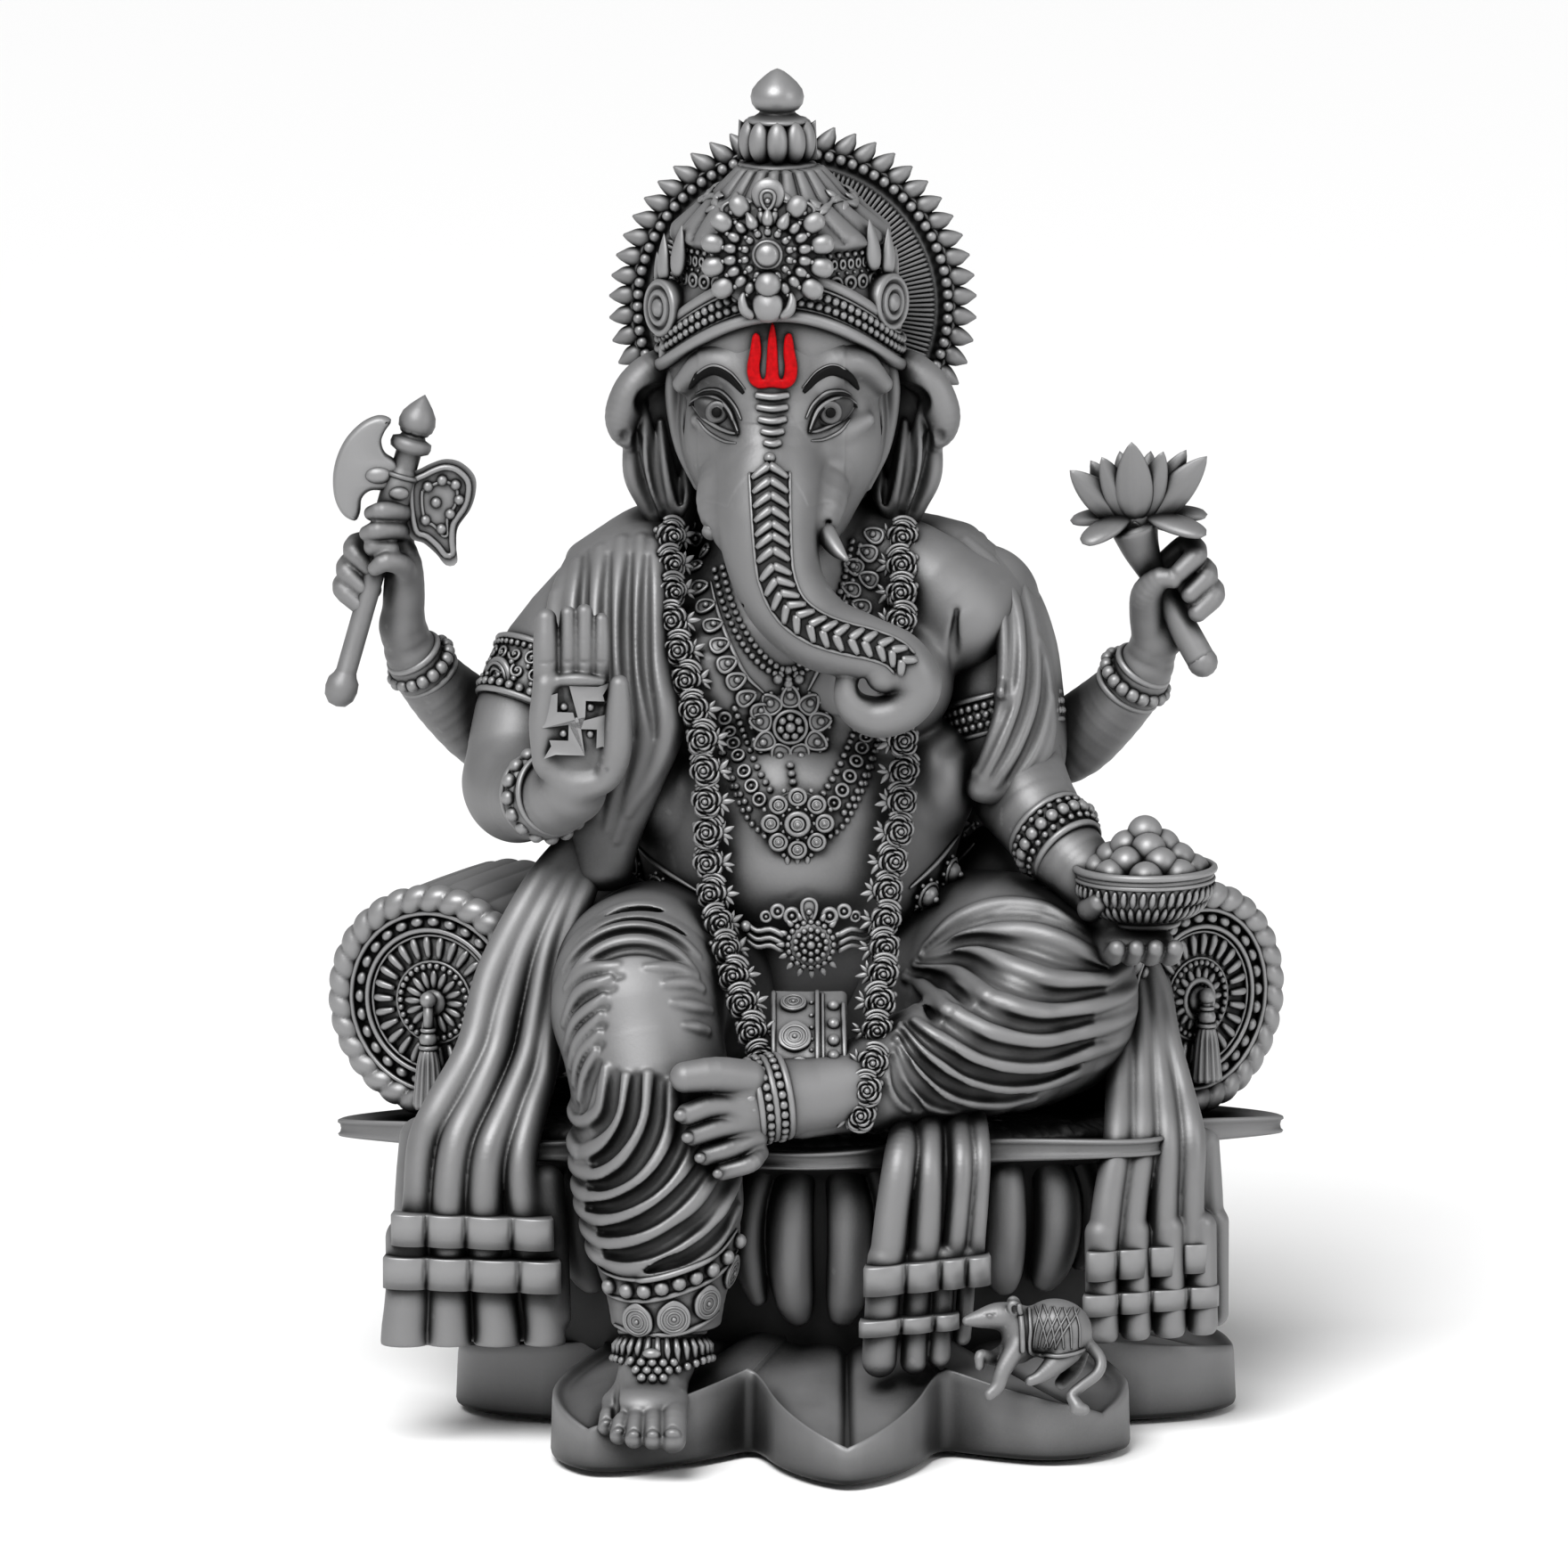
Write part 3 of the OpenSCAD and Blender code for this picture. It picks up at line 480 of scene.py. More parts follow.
def cast_metal(name, tone, metallic, rough, wash_and_shade=0.005, reach=4.4, contrast=(0.60, 0.97), deep=15.0,
               shine=0.34):
    """Worn cast metal: patina wash and painted shade in hollows, creases and between parts, ridges lighter,
    cloudy tone, fine casting grain.
    """
    material = bpy.data.materials.new(name)
    material.use_nodes = True
    nodes = material.node_tree.nodes
    link = material.node_tree.links.new
    shader = nodes["Principled BSDF"]
    shader.inputs["Metallic"].default_value = metallic
    shader.inputs["Specular IOR Level"].default_value = shine
    place = nodes.new("ShaderNodeTexCoord")

    def noise(scale, detail):
        texture = nodes.new("ShaderNodeTexNoise")
        texture.inputs["Scale"].default_value = scale
        texture.inputs["Detail"].default_value = detail
        link(place.outputs["Object"], texture.inputs["Vector"])
        return texture.outputs["Fac"]

    def spread(value, low, high, to_low, to_high):
        step = nodes.new("ShaderNodeMapRange")
        for key, number in (("From Min", low), ("From Max", high), ("To Min", to_low), ("To Max", to_high)):
            step.inputs[key].default_value = number
        link(value, step.inputs["Value"])
        return step.outputs["Result"]

    def times(a, b):
        step = nodes.new("ShaderNodeMath")
        step.operation = "MULTIPLY"
        link(a, step.inputs[0])
        link(b, step.inputs[1])
        return step.outputs[0]

    clouds = noise(55.0, 4.0)
    grain = noise(1400.0, 3.0)

    # ambient occlusion, used below as painted shade
    def shelter(distance):
        step = nodes.new("ShaderNodeAmbientOcclusion")
        step.samples = 8
        step.inputs["Distance"].default_value = distance * MM
        return step.outputs["AO"]

    # painted shade with patina: near occlusion darkens fine creases, far occlusion darkens broad hollows
    # under and between parts
    near = spread(shelter(reach), contrast[0], contrast[1], 0.0, 1.0)
    far = spread(shelter(deep), 0.30, 0.93, 0.0, 1.0)
    painted_shade_and_wash = times(near, times(far, spread(far, 0.0, 1.0, 0.25, 1.0)))
    uneven = times(painted_shade_and_wash, spread(clouds, 0.3, 0.7, 0.88, 1.1))
    # lighter on sharp ridges, darker in creases
    shape = nodes.new("ShaderNodeNewGeometry")
    ridge_light_crease_dark = spread(shape.outputs["Pointiness"], 0.44, 0.58, 0.72, 1.3)
    mix = nodes.new("ShaderNodeMix")
    mix.data_type = "RGBA"
    # the dark end of the mix stands for patina wash and painted shade together
    mix.inputs[6].default_value = (wash_and_shade, wash_and_shade, wash_and_shade, 1)
    mix.inputs[7].default_value = (tone, tone, tone * 1.01, 1)
    link(times(uneven, ridge_light_crease_dark), mix.inputs[0])
    link(mix.outputs[2], shader.inputs["Base Color"])
    link(spread(clouds, 0.3, 0.7, rough - 0.05, rough + 0.09), shader.inputs["Roughness"])
    bump = nodes.new("ShaderNodeBump")
    bump.inputs["Strength"].default_value = 0.22
    bump.inputs["Distance"].default_value = 0.00012
    link(grain, bump.inputs["Height"])
    link(bump.outputs["Normal"], shader.inputs["Normal"])
    return material


def plain_finish(name, colour, rough, metallic=0.0, shine=0.5, grain=900.0, relief=0.1):
    """A surface with a gently uneven tone, gloss and grain."""
    material = bpy.data.materials.new(name)
    material.use_nodes = True
    nodes = material.node_tree.nodes
    link = material.node_tree.links.new
    shader = nodes["Principled BSDF"]
    shader.inputs["Metallic"].default_value = metallic
    shader.inputs["Specular IOR Level"].default_value = shine
    place = nodes.new("ShaderNodeTexCoord")
    texture = nodes.new("ShaderNodeTexNoise")
    texture.inputs["Scale"].default_value = grain
    texture.inputs["Detail"].default_value = 4.0
    link(place.outputs["Object"], texture.inputs["Vector"])
    tint = nodes.new("ShaderNodeValToRGB")
    tint.color_ramp.elements[0].position = 0.3
    tint.color_ramp.elements[1].position = 0.7
    tint.color_ramp.elements[0].color = [c * 0.7 for c in colour] + [1]
    tint.color_ramp.elements[1].color = [min(c * 1.2, 1.0) for c in colour] + [1]
    link(texture.outputs["Fac"], tint.inputs["Fac"])
    link(tint.outputs["Color"], shader.inputs["Base Color"])
    gloss = nodes.new("ShaderNodeMapRange")
    gloss.inputs["To Min"].default_value = rough - 0.08
    gloss.inputs["To Max"].default_value = rough + 0.08
    link(texture.outputs["Fac"], gloss.inputs["Value"])
    link(gloss.outputs["Result"], shader.inputs["Roughness"])
    bump = nodes.new("ShaderNodeBump")
    bump.inputs["Strength"].default_value = relief
    bump.inputs["Distance"].default_value = 0.0003
    link(texture.outputs["Fac"], bump.inputs["Height"])
    link(bump.outputs["Normal"], shader.inputs["Normal"])
    return material


PEWTER = cast_metal("pewter", 0.2, 0.45, 0.49)
RELIEF = cast_metal("pewter_relief", 0.25, 0.45, 0.44, reach=1.8, contrast=(0.56, 0.97), deep=8.0)
# near-black finish: patina and painted shade for the gaps between seat leaves and between the trunk's
# chevrons
SHADE_RECESS = cast_metal("pewter_painted_shade", 0.02, 0.4, 0.5)
DARK = cast_metal("pewter_dark", 0.035, 0.3, 0.5)
GREY_DARK = cast_metal("pewter_eye", 0.035, 0.4, 0.4)
IRIS = cast_metal("pewter_iris", 0.11, 0.4, 0.4)
BLACK = cast_metal("pewter_black", 0.004, 0.0, 0.55, wash_and_shade=0.002, shine=0.08)
SHADE = cast_metal("pewter_shade", 0.14, 0.5, 0.42, reach=1.4, contrast=(0.55, 0.95))
ENAMEL = plain_finish("red_enamel", (0.36, 0.0, 0.002), 0.5, shine=0.1)
STEEL = plain_finish("steel", (0.55, 0.56, 0.58), 0.3, metallic=1.0, grain=300.0)
# felt darkened to near black as painted shadow in the gap under the base
FELT_PAINTED_SHADOW = plain_finish("felt", (0.012, 0.016, 0.012), 0.92, relief=0.6, grain=2200.0)


# ---------------------------------------------------------------- head and trunk

TRUNK = [(-16.5, -15, 229, 9.6), (-17.4, -23, 214, 12.2), (-17.2, -30, 203, 10.8),
         (-14.0, -35, 192.5, 9.6), (-6.5, -38.5, 184.6, 8.6), (3.5, -40, 181.0, 7.4),
         (11.6, -41, 178.2, 6.4), (15.6, -41, 172.6, 5.4), (12.2, -41, 167.2, 4.9), (6.0, -41, 165.6, 4.6),
         (1.2, -41, 169.0, 4.0), (0.4, -41, 175.0, 2.6), (1.2, -41, 179.6, 0.6)]
FACE_X = -14.3


def mirrored(points, x=FACE_X):
    """The same points on the other side of the face."""
    return [(2 * x - p[0],) + tuple(p[1:]) for p in points]


def both(points):
    return (points, mirrored(points))


def sculpt_head():
    clay = Clay((-46, -58, 156), (28, 29, 262), MEDIUM)
    clay.blob((FACE_X, 2, 231), (24.0, 24, 26), soft=1)
    clay.blob((FACE_X, -4, 242), (23.5, 19.5, 15), soft=5)
    for side in (-1, 1):
        clay.blob((FACE_X + side * 9.6, -6, 223), (12.6, 15.5, 17), soft=5)
        clay.blob((FACE_X + side * 6.6, -7, 210), (9, 12, 12), soft=5)
    clay.blob((FACE_X - 1, 2, 207), (15, 17, 11), soft=5)
    # brow ridges, bridge and the soft bags under the eyes
    for line in both([(-37, -13, 236, 1.8), (-33, -17, 240.5, 2.2), (-28, -19.5, 241.6, 2.2),
                      (-22, -21, 237, 1.8)]):
        clay.stroke(line, soft=4)
    clay.stroke([(-16.5, -17, 246, 4.5), (-16.6, -18.5, 236, 5.5), (-16.9, -17.5, 228, 8.2)], soft=7)
    # eye sockets
    for line in both([(-34.5, -19, 232.8, 1.2), (-30, -22.2, 232.6, 2.9), (-24.6, -23.5, 228.6, 1.4)]):
        clay.stroke(line, soft=3, cut=True)
    for line in both([(-33.5, -16.6, 228.4, 1.2), (-28.4, -19, 226.2, 1.5), (-23.6, -19.6, 225.6, 1.0)]):
        clay.stroke(line, soft=2.4)
    # skin folds hanging from the crown beside the cheeks
    for line in both([(-37.2, -6, 243, 1.6), (-38.6, -4.5, 233, 2.0), (-37.0, -5, 221, 1.6),
                      (-33.4, -7, 212, 0.8)]):
        clay.stroke(line, soft=1.0)
    for line in both([(-35.2, -12, 241, 0.5), (-36.4, -10.5, 232, 0.6), (-35.2, -10, 221, 0.5)]):
        clay.stroke(line, soft=0.8, cut=True)
    # trunk with the sheaths of the tusks
    clay.stroke(TRUNK, soft=4.5)
    clay.stroke([(-3.5, -13, 219, 3.0), (-4.6, -20, 213.5, 5.0), (-6.0, -24.5, 208, 4.8),
                 (-8.0, -26, 203, 3.0)], soft=2.6)
    clay.stroke([(-27.5, -15, 219, 3.0), (-28.4, -21, 213, 5.0), (-28.4, -24, 208.5, 4.4),
                 (-27, -26, 204, 2.6)], soft=2.6)
    # hollow of the curl and the knob of the trunk's tip
    clay.stroke([(4.6, -52, 172.6, 2.2), (4.6, -32, 172.6, 2.2)], soft=1.2, cut=True)
    clay.blob((8.3, -42, 175.2), (4.3, 5.0, 4.1), soft=1.0)
    clay.stroke([(4.0, -47, 173.0, 0.9), (4.8, -46.6, 170.8, 0.7), (7.4, -46.4, 170.2, 0.5)], soft=0.8,
                cut=True)
    # creases across the outside of the trunk
    for z, x, y in ((207.5, -5.4, -27), (190.0, -23.5, -33)):
        clay.stroke([(x, y - 5, z, 0.3), (x + 1.4, y, z - 0.2, 0.45), (x, y + 5, z, 0.3)], soft=0.8,
                    cut=True)
    return clay


HEAD_CLAY = sculpt_head()
make("head_with_trunk", HEAD_CLAY.mesh(), "head", PEWTER, also=("trunk",))


def sculpt_ear(name, side):
    def at(points):
        return points if side < 0 else mirrored(points)

    lo, hi = (-58, -8, 190), (-31, 20, 244)
    if side > 0:
        lo, hi = (2 * FACE_X + 31, -8, 190), (2 * FACE_X + 58, 20, 244)
    clay = Clay(lo, hi, MEDIUM)
    centre = at([(-41.0, 9, 214)])[0]
    clay.blob(centre, (7.6, 4.2, 18), turn=(0, 8 * side, 0), soft=2)
    clay.blob(at([(-42.4, 8, 228)])[0], (8.8, 5, 9), soft=2)
    rim = [(-37, 3, 237.5, 3.4), (-42.0, 1.6, 237.6, 4.0), (-47.0, 0.4, 233.6, 4.4), (-50.0, 0, 227.8, 4.0),
           (-50.2, 0.5, 223.4, 3.0), (-48.4, 1.6, 220.4, 1.8)]
    clay.stroke(at(rim), soft=2)
    clay.stroke(at([(-48.4, 3.4, 222, 1.6), (-47.4, 4, 213, 2.6), (-44.4, 5, 206, 2.4),
                    (-41.0, 6, 198, 1.8)]), soft=1.6)
    clay.stroke(at([(-45.2, 1.5, 229, 1.0), (-44.6, 0.4, 219, 2.1), (-43.0, 0.8, 211, 2.0),
                    (-41.0, 3, 204, 1.1)]), soft=1.2)
    clay.stroke(at([(-41.6, 1.5, 225, 1.0), (-40.6, 0.4, 216, 2.1), (-39.2, 1.2, 209, 2.0),
                    (-38.2, 3, 203, 1.1)]), soft=1.2)
    clay.stroke(at([(-36.0, 2.6, 215, 1.0), (-36.2, 1.6, 209, 1.9), (-38.6, 2.4, 203, 1.5),
                    (-40.6, 4, 199, 1.0)]), soft=1.2)
    for line in ([(-43.2, -1.6, 226, 0.8), (-42.8, -1.6, 215, 1.2), (-41.2, 0.2, 206, 0.7)],
                 [(-46.8, -0.4, 222, 0.8), (-46.0, 0.2, 213, 1.2), (-43.4, 2, 205, 0.7)],
                 [(-39.2, -1.2, 223, 0.8), (-38.0, -1.0, 214, 1.2), (-37.2, 1, 207, 0.7)]):
        clay.stroke(at(line), soft=1.2, cut=True)
    clay.blob(at([(-42.6, -1.8, 230.6)])[0], (4.8, 4.0, 3.6), soft=1.6, cut=True)
    clay.blob(at([(-49.4, -3.4, 221.8)])[0], (1.6, 2.4, 2.2), soft=1, cut=True)
    make(name, clay.mesh(), name, PEWTER)


sculpt_ear("ear_right", -1)
sculpt_ear("ear_left", 1)


def lay(clay, heap, shape, x, z, spin_by=0.0, size=1.0, lift=0.0, up=UP):
    """Sets a shape on the clay's front surface at (x, z)."""
    p, n, met = clay.front(x, z)
    if met[0]:
        heap.put(shape, p[0] + n[0] * lift, facing(n[0], up) @ spin(spin_by), size)


def face_rope(clay, line, radius, lift=0.0, sides=8, ends=0.35):
    """A thin tapered cord laid on the clay's front surface through (x, z) points."""
    path = spaced([(x, z, 0) for x, z in line], 0.35)
    p, n, met = clay.front(path[:, 0], path[:, 1])
    p, n = p[met], n[met]
    s = np.linspace(0, 1, len(p))
    r = radius * (ends + (1 - ends) * np.sin(math.pi * s) ** 0.6)
    return rope(np.column_stack([p + n * lift, r]), sides)


def eye_pieces():
    clay = HEAD_CLAY
    balls, irises, lids, pupils = Heap(), Heap(), Heap(), Heap()
    brow = Heap()
    for side in (0, 1):
        def at(points):
            return points if side == 0 else [(2 * FACE_X - 4.0 - x, z + 0.2) for x, z in points]
        corner = at([(-34.0, 232.1), (-24.0, 227.1)])
        upper = at([(-34.6, 231.9), (-32.2, 233.5), (-28.8, 233.7), (-25.8, 231.3), (-24.0, 227.1)])
        lower = at([(-34.2, 231.7), (-32.0, 229.2), (-28.6, 227.5), (-25.6, 226.8), (-23.9, 226.9)])
        fold = at([(-33.6, 234.0), (-31.2, 235.4), (-28.0, 235.4), (-25.0, 232.8), (-23.4, 229.8)])
        bag = at([(-33.4, 229.0), (-31.0, 226.4), (-27.6, 224.9), (-24.6, 224.9)])
        mid = ((corner[0][0] + corner[1][0]) / 2, (corner[0][1] + corner[1][1]) / 2 + 0.8)
        p, n, _ = clay.front(mid[0], mid[1])
        look = unit(np.array([0.0, -1.0, 0.0]) * 1.6 + n[0])
        slope = math.degrees(math.atan2(corner[1][1] - corner[0][1], corner[1][0] - corner[0][0]))
        frame_of = facing(look) @ spin(slope)
        white = petal(11.2, 5.8, 2.8, point=0.62, belly=0.62, rows=24, columns=24)
        white = (white[0] - np.array([0, 5.7, 0]), white[1], white[2])
        balls.put(white, p[0] + look * 0.35, frame_of @ spin(-90))
        iris_at = at([(-28.9, 230.8)])[0]
        q = np.array([iris_at[0], p[0][1] - 1.55, iris_at[1]])
        irises.put(lathe([(0, -0.6), (2.6, -0.5), (2.7, 0.0), (2.4, 0.35), (1.7, 0.42), (1.35, 0.3),
                          (1.1, 0.5), (0.5, 0.66), (0, 0.7)], 32), q, facing(look))
        pupils.put(BALL, q + look * 0.35, facing(look) @ np.diag([1.25, 1.25, 0.5]))
        pupils.put(face_rope(clay, [(x, z - 0.75) for x, z in upper], 0.5, 0.7))
        lids.put(face_rope(clay, upper, 0.62, 0.5))
        lids.put(face_rope(clay, lower, 0.5, 0.42))
        lids.put(face_rope(clay, fold, 0.42, 0.12))
        lids.put(face_rope(clay, bag, 0.4, 0.0))
        arch = at([(-35.2, 235.2), (-33.0, 238.6), (-29.8, 240.3), (-26.4, 239.0), (-23.0, 235.6)])
        path = spaced([(x, z, 0) for x, z in arch], 0.3)
        bp, bn, _ = clay.front(path[:, 0], path[:, 1])
        s = np.linspace(0, 1, len(bp))
        thick = 1.1 * np.clip(np.sin(math.pi * (0.03 + 0.9 * s ** 0.85)), 0, 1) ** 0.8 + 0.1
        brow.put(rope(np.column_stack([bp + bn * 0.05, thick]), 12, flat=(unit(bn.mean(axis=0)), 0.36)))
        edge = at([(-34.8, 236.4), (-32.8, 239.8), (-29.6, 241.5), (-26.0, 240.2), (-22.6, 236.6)])
        lids.put(face_rope(clay, edge, 0.3, 0.05))
    make("eyes", balls.shape(), "eyes", GREY_DARK)
    make("irises", irises.shape(), "eyes", IRIS)
    make("pupils", pupils.shape(), "eyes", BLACK)
    make("eyebrows", brow.shape(), "eyes", BLACK)
    make("eyelids", lids.shape(), "eyes", PEWTER)


eye_pieces()


def tusk_pieces():
    heap = Heap()
    right = smooth([(-6.6, -24, 208, 2.2), (-4.6, -28.5, 204.5, 2.3), (-2.2, -32.5, 201.6, 1.7),
                    (0.0, -35.0, 199.8, 0.5)], 0.5)
    heap.put(rope(right, 16))
    stub = smooth([(-28.4, -22, 207.5, 2.4), (-29.6, -25, 205.6, 2.3), (-30.8, -27, 204.4, 1.7)], 0.5)
    heap.put(rope(stub, 16))
    heap.put(hoop(2.3, 0.5, 24, 8), (-28.6, -22.8, 207.2), facing((-0.3, -0.7, -0.55)))
    heap.put(hoop(2.3, 0.45, 24, 8), (-5.8, -25.6, 206.8), facing((0.35, -0.75, -0.55)))
    make("tusks", heap.shape(), "tusks", RELIEF)


tusk_pieces()


def chevron_strip():
    """The raised band down the brow and trunk: bars, a bead, then chevrons."""
    heap = Heap()
    clay = HEAD_CLAY
    for z, wide in ((235.2, 7.2), (232.6, 6.8), (230.0, 6.0), (227.5, 4.8), (225.2, 3.6)):
        line = [(-16.6 - wide / 2, z + 0.2), (-16.6, z - 0.25), (-16.6 + wide / 2, z + 0.2)]
        heap.put(face_rope(clay, line, 0.9, 0.3, 12, ends=0.75))
    lay(clay, heap, BALL, -17.2, 222.3, size=1.35)
    spine = [(-17.2, 219.6), (-16.9, 212), (-16.5, 204), (-15.9, 198), (-13.6, 192), (-9.8, 188.2),
             (-4.6, 185.6), (1.0, 184.0), (6.0, 182.8), (10.4, 181.0), (12.8, 178.6)]
    walk = spaced([(x, z, 0) for x, z in spine], 0.5)
    p, n, met = clay.front(walk[:, 0], walk[:, 1])
    p, n = p[met], n[met]
    run = np.concatenate([[0], np.cumsum(np.linalg.norm(np.diff(p, axis=0), axis=1))])
    way = unit(np.gradient(p, axis=0))
    count = int(run[-1] / 3.15)
    borders = ([], [])
    for k in range(count + 1):
        at = min(k * run[-1] / count, run[-1])
        i = int(np.clip(np.searchsorted(run, at), 0, len(p) - 1))
        share = at / run[-1]
        wide = 3.9 * (1 - 0.36 * share)
        out = n[i]
        back = -way[i]
        side = unit(np.cross(back, out))
        for s in (-1, 1):
            tip = p[i] + back * 1.25
            end = p[i] + side * s * wide - back * (1.55 - 0.3 * share)
            bar = []
            for t in np.linspace(0, 1, 6):
                q = tip * (1 - t) + end * t
                g, _, hit = clay.hit(q + out * 6, -out, reach=12)
                q = g[0] if hit[0] else q
                bar.append(np.append(q + out * 0.35, 1.08 * (1 - 0.42 * t ** 3)))
            heap.put(rope(bar, 8))
            borders[(s + 1) // 2].append(np.append(p[i] + side * s * (wide + 0.55), 0.42))
    for line in borders:
        path = spaced(line, 0.8)
        out = np.array([n[int(round(j))] for j in np.linspace(0, len(n) - 1, len(path))])
        g, _, hit = clay.hit(path[:, :3] + out * 6, -out, reach=12)
        keep = hit & (np.linalg.norm(g - path[:, :3], axis=1) < 4)
        heap.put(rope(np.column_stack([g[keep], path[keep][:, 3]]), 8))
    rings = []
    for i in range(0, len(p), 2):
        out, side = n[i], unit(np.cross(-way[i], n[i]))
        wide = 4.2 * (1 - 0.36 * run[i] / run[-1])
        across = p[i] + np.linspace(-wide, wide, 9)[:, None] * side
        g, _, hit = clay.hit(across + out * 6, np.tile(-out, (9, 1)), reach=12)
        if hit.all():
            rings.append(np.vstack([g + out * 0.16, (g - out * 0.6)[::-1]]))
    make("trunk_ornament", heap.shape(), "trunk_ornament", RELIEF)
    # the near-black ground between the bars is patina and painted shade
    make("trunk_ornament_ground", capped(rings), "trunk_ornament", SHADE_RECESS)


chevron_strip()


def trident():
    """The red mark: a middle blade and two bowed prongs on a rounded foot."""
    blade = [(0, 14.5), (0.9, 11.0), (1.25, 6.0), (1.5, 2.6), (2.1, 2.0), (2.6, 2.8), (2.8, 5.0),
             (2.5, 8.0), (2.9, 11.6), (4.2, 11.9), (5.0, 8.0), (5.6, 4.4), (5.0, 1.4), (3.0, 0.0), (0, 0.2)]
    outline = blade + [(-x, y) for x, y in reversed(blade[1:-1])]
    shape = plate(round_outline(outline[::-1], 0.35), 1.5, 0.45)
    p, n, _ = HEAD_CLAY.front(middle("tilak")[0], 243.5)
    out = unit(n[0] + np.array([0, -0.6, 0]))
    foot = p[0] - facing(out)[:, 1] * 6.6 - out * 0.75
    make("tilak", placed(shape, foot, facing(out)), "tilak", ENAMEL)


trident()


# ---------------------------------------------------------------- crown and halo

CROWN = middle("crown_dome") - (0.3, 0.0, 0.0)
DOME = [(25.0, 234), (26.4, 239), (26.6, 246), (26.0, 252), (24.6, 256), (23.4, 258), (23.2, 266.2),
        (24.2, 266.7), (24.4, 267.4), (23.4, 268.6), (15.2, 275.8), (13.8, 277.0), (11.2, 279.8),
        (8.6, 282.4)]


def dome_point(angle, z, lift=0.0):
    """A point on the crown at an angle from the front, positive to +X, and its outward direction."""
    radii, heights = [r for r, _ in DOME], [h for _, h in DOME]
    r = np.interp(z, heights, radii) + lift
    a = np.radians(angle)
    return (np.stack([CROWN[0] + r * np.sin(a), CROWN[1] - 0.97 * r * np.cos(a), z + 0 * a], axis=-1),
            np.stack([np.sin(a), -np.cos(a), 0 * a], axis=-1))


def crown_dome():
    a = np.linspace(0, 2 * math.pi, 240, endpoint=False)
    heights = np.concatenate([np.linspace(234, 266, 14), np.linspace(266.6, 270.2, 8),
                              np.linspace(271, 282.4, 22)])
    rings = []
    for z in heights:
        p, out = dome_point(np.degrees(a), np.full_like(a, z))
        fade = np.clip((z - 266.4) / 2.5, 0, 1)
        fine = np.clip((z - 275.4) / 1.2, 0, 1)
        broad = 1.5 * np.abs(np.sin(a * 10 + 0.4 + 0.22 * (z - 270))) ** 0.6 * fade * (1 - fine)
        ribs = 1.1 * np.abs(np.sin(a * 10)) ** 0.6 * fine
        rings.append(p + (out + [0, 0, 0.5]) * (broad + ribs)[:, None])
    top = rings[-1].copy()
    heap = Heap()
    heap.put(capped(rings))
    wall = Heap()
    # rows of ovals, rings and beads on the crown's wall
    for angle in np.arange(-104, 105, 5.6):
        p, out = dome_point(angle, 263.4, 0.2)
        wall.put(hoop(0.72, 0.36, 14, 6), p, facing(out) @ np.diag([0.95, 1.3, 1]))
        p, out = dome_point(angle + 2.8, 265.6, 0.3)
        wall.put(SMALL_BALL, p, size=0.68)
        p, out = dome_point(angle + 2.8, 261.4, 0.2)
        wall.put(SMALL_BALL, p, size=0.42)
    for angle in np.arange(-103, 104, 9.6):
        p, out = dome_point(angle, 259.0, 0.2)
        wall.put(hoop(1.45, 0.52, 20, 8), p, facing(out))
        wall.put(SMALL_BALL, p, size=0.62)
    # the leafy cord low round the top of the dome
    swag = np.arange(0, 361, 4.0)
    p, out = dome_point(swag, 275.8 + 0.8 * np.sin(np.radians(swag) * 9), 1.5)
    wall.put(rope(np.column_stack([p, 0.8 + 0.35 * np.sin(np.radians(swag) * 23)]), 10))
    for k in range(48):
        angle = k * 7.5
        p, out = dome_point(angle, 275.8 + 0.8 * math.sin(math.radians(angle) * 9), 1.6)
        wall.put(petal(3.6, 2.2, 1.7, rows=8, columns=10), p,
                 facing(unit(out + [0, 0, 0.9])) @ spin(-70 + 95 * (k % 3)))
    make("crown_dome", heap.shape(), "crown_dome", PEWTER)
    make("crown_wall_rings", wall.shape(), "crown_dome", RELIEF)
    return top


crown_dome()


def brow_line(angle):
    """Height of the crown's lower edge: it arches up over the forehead."""
    return 237.6 + 14.6 * np.maximum(np.cos(np.radians(angle)), 0) ** 2


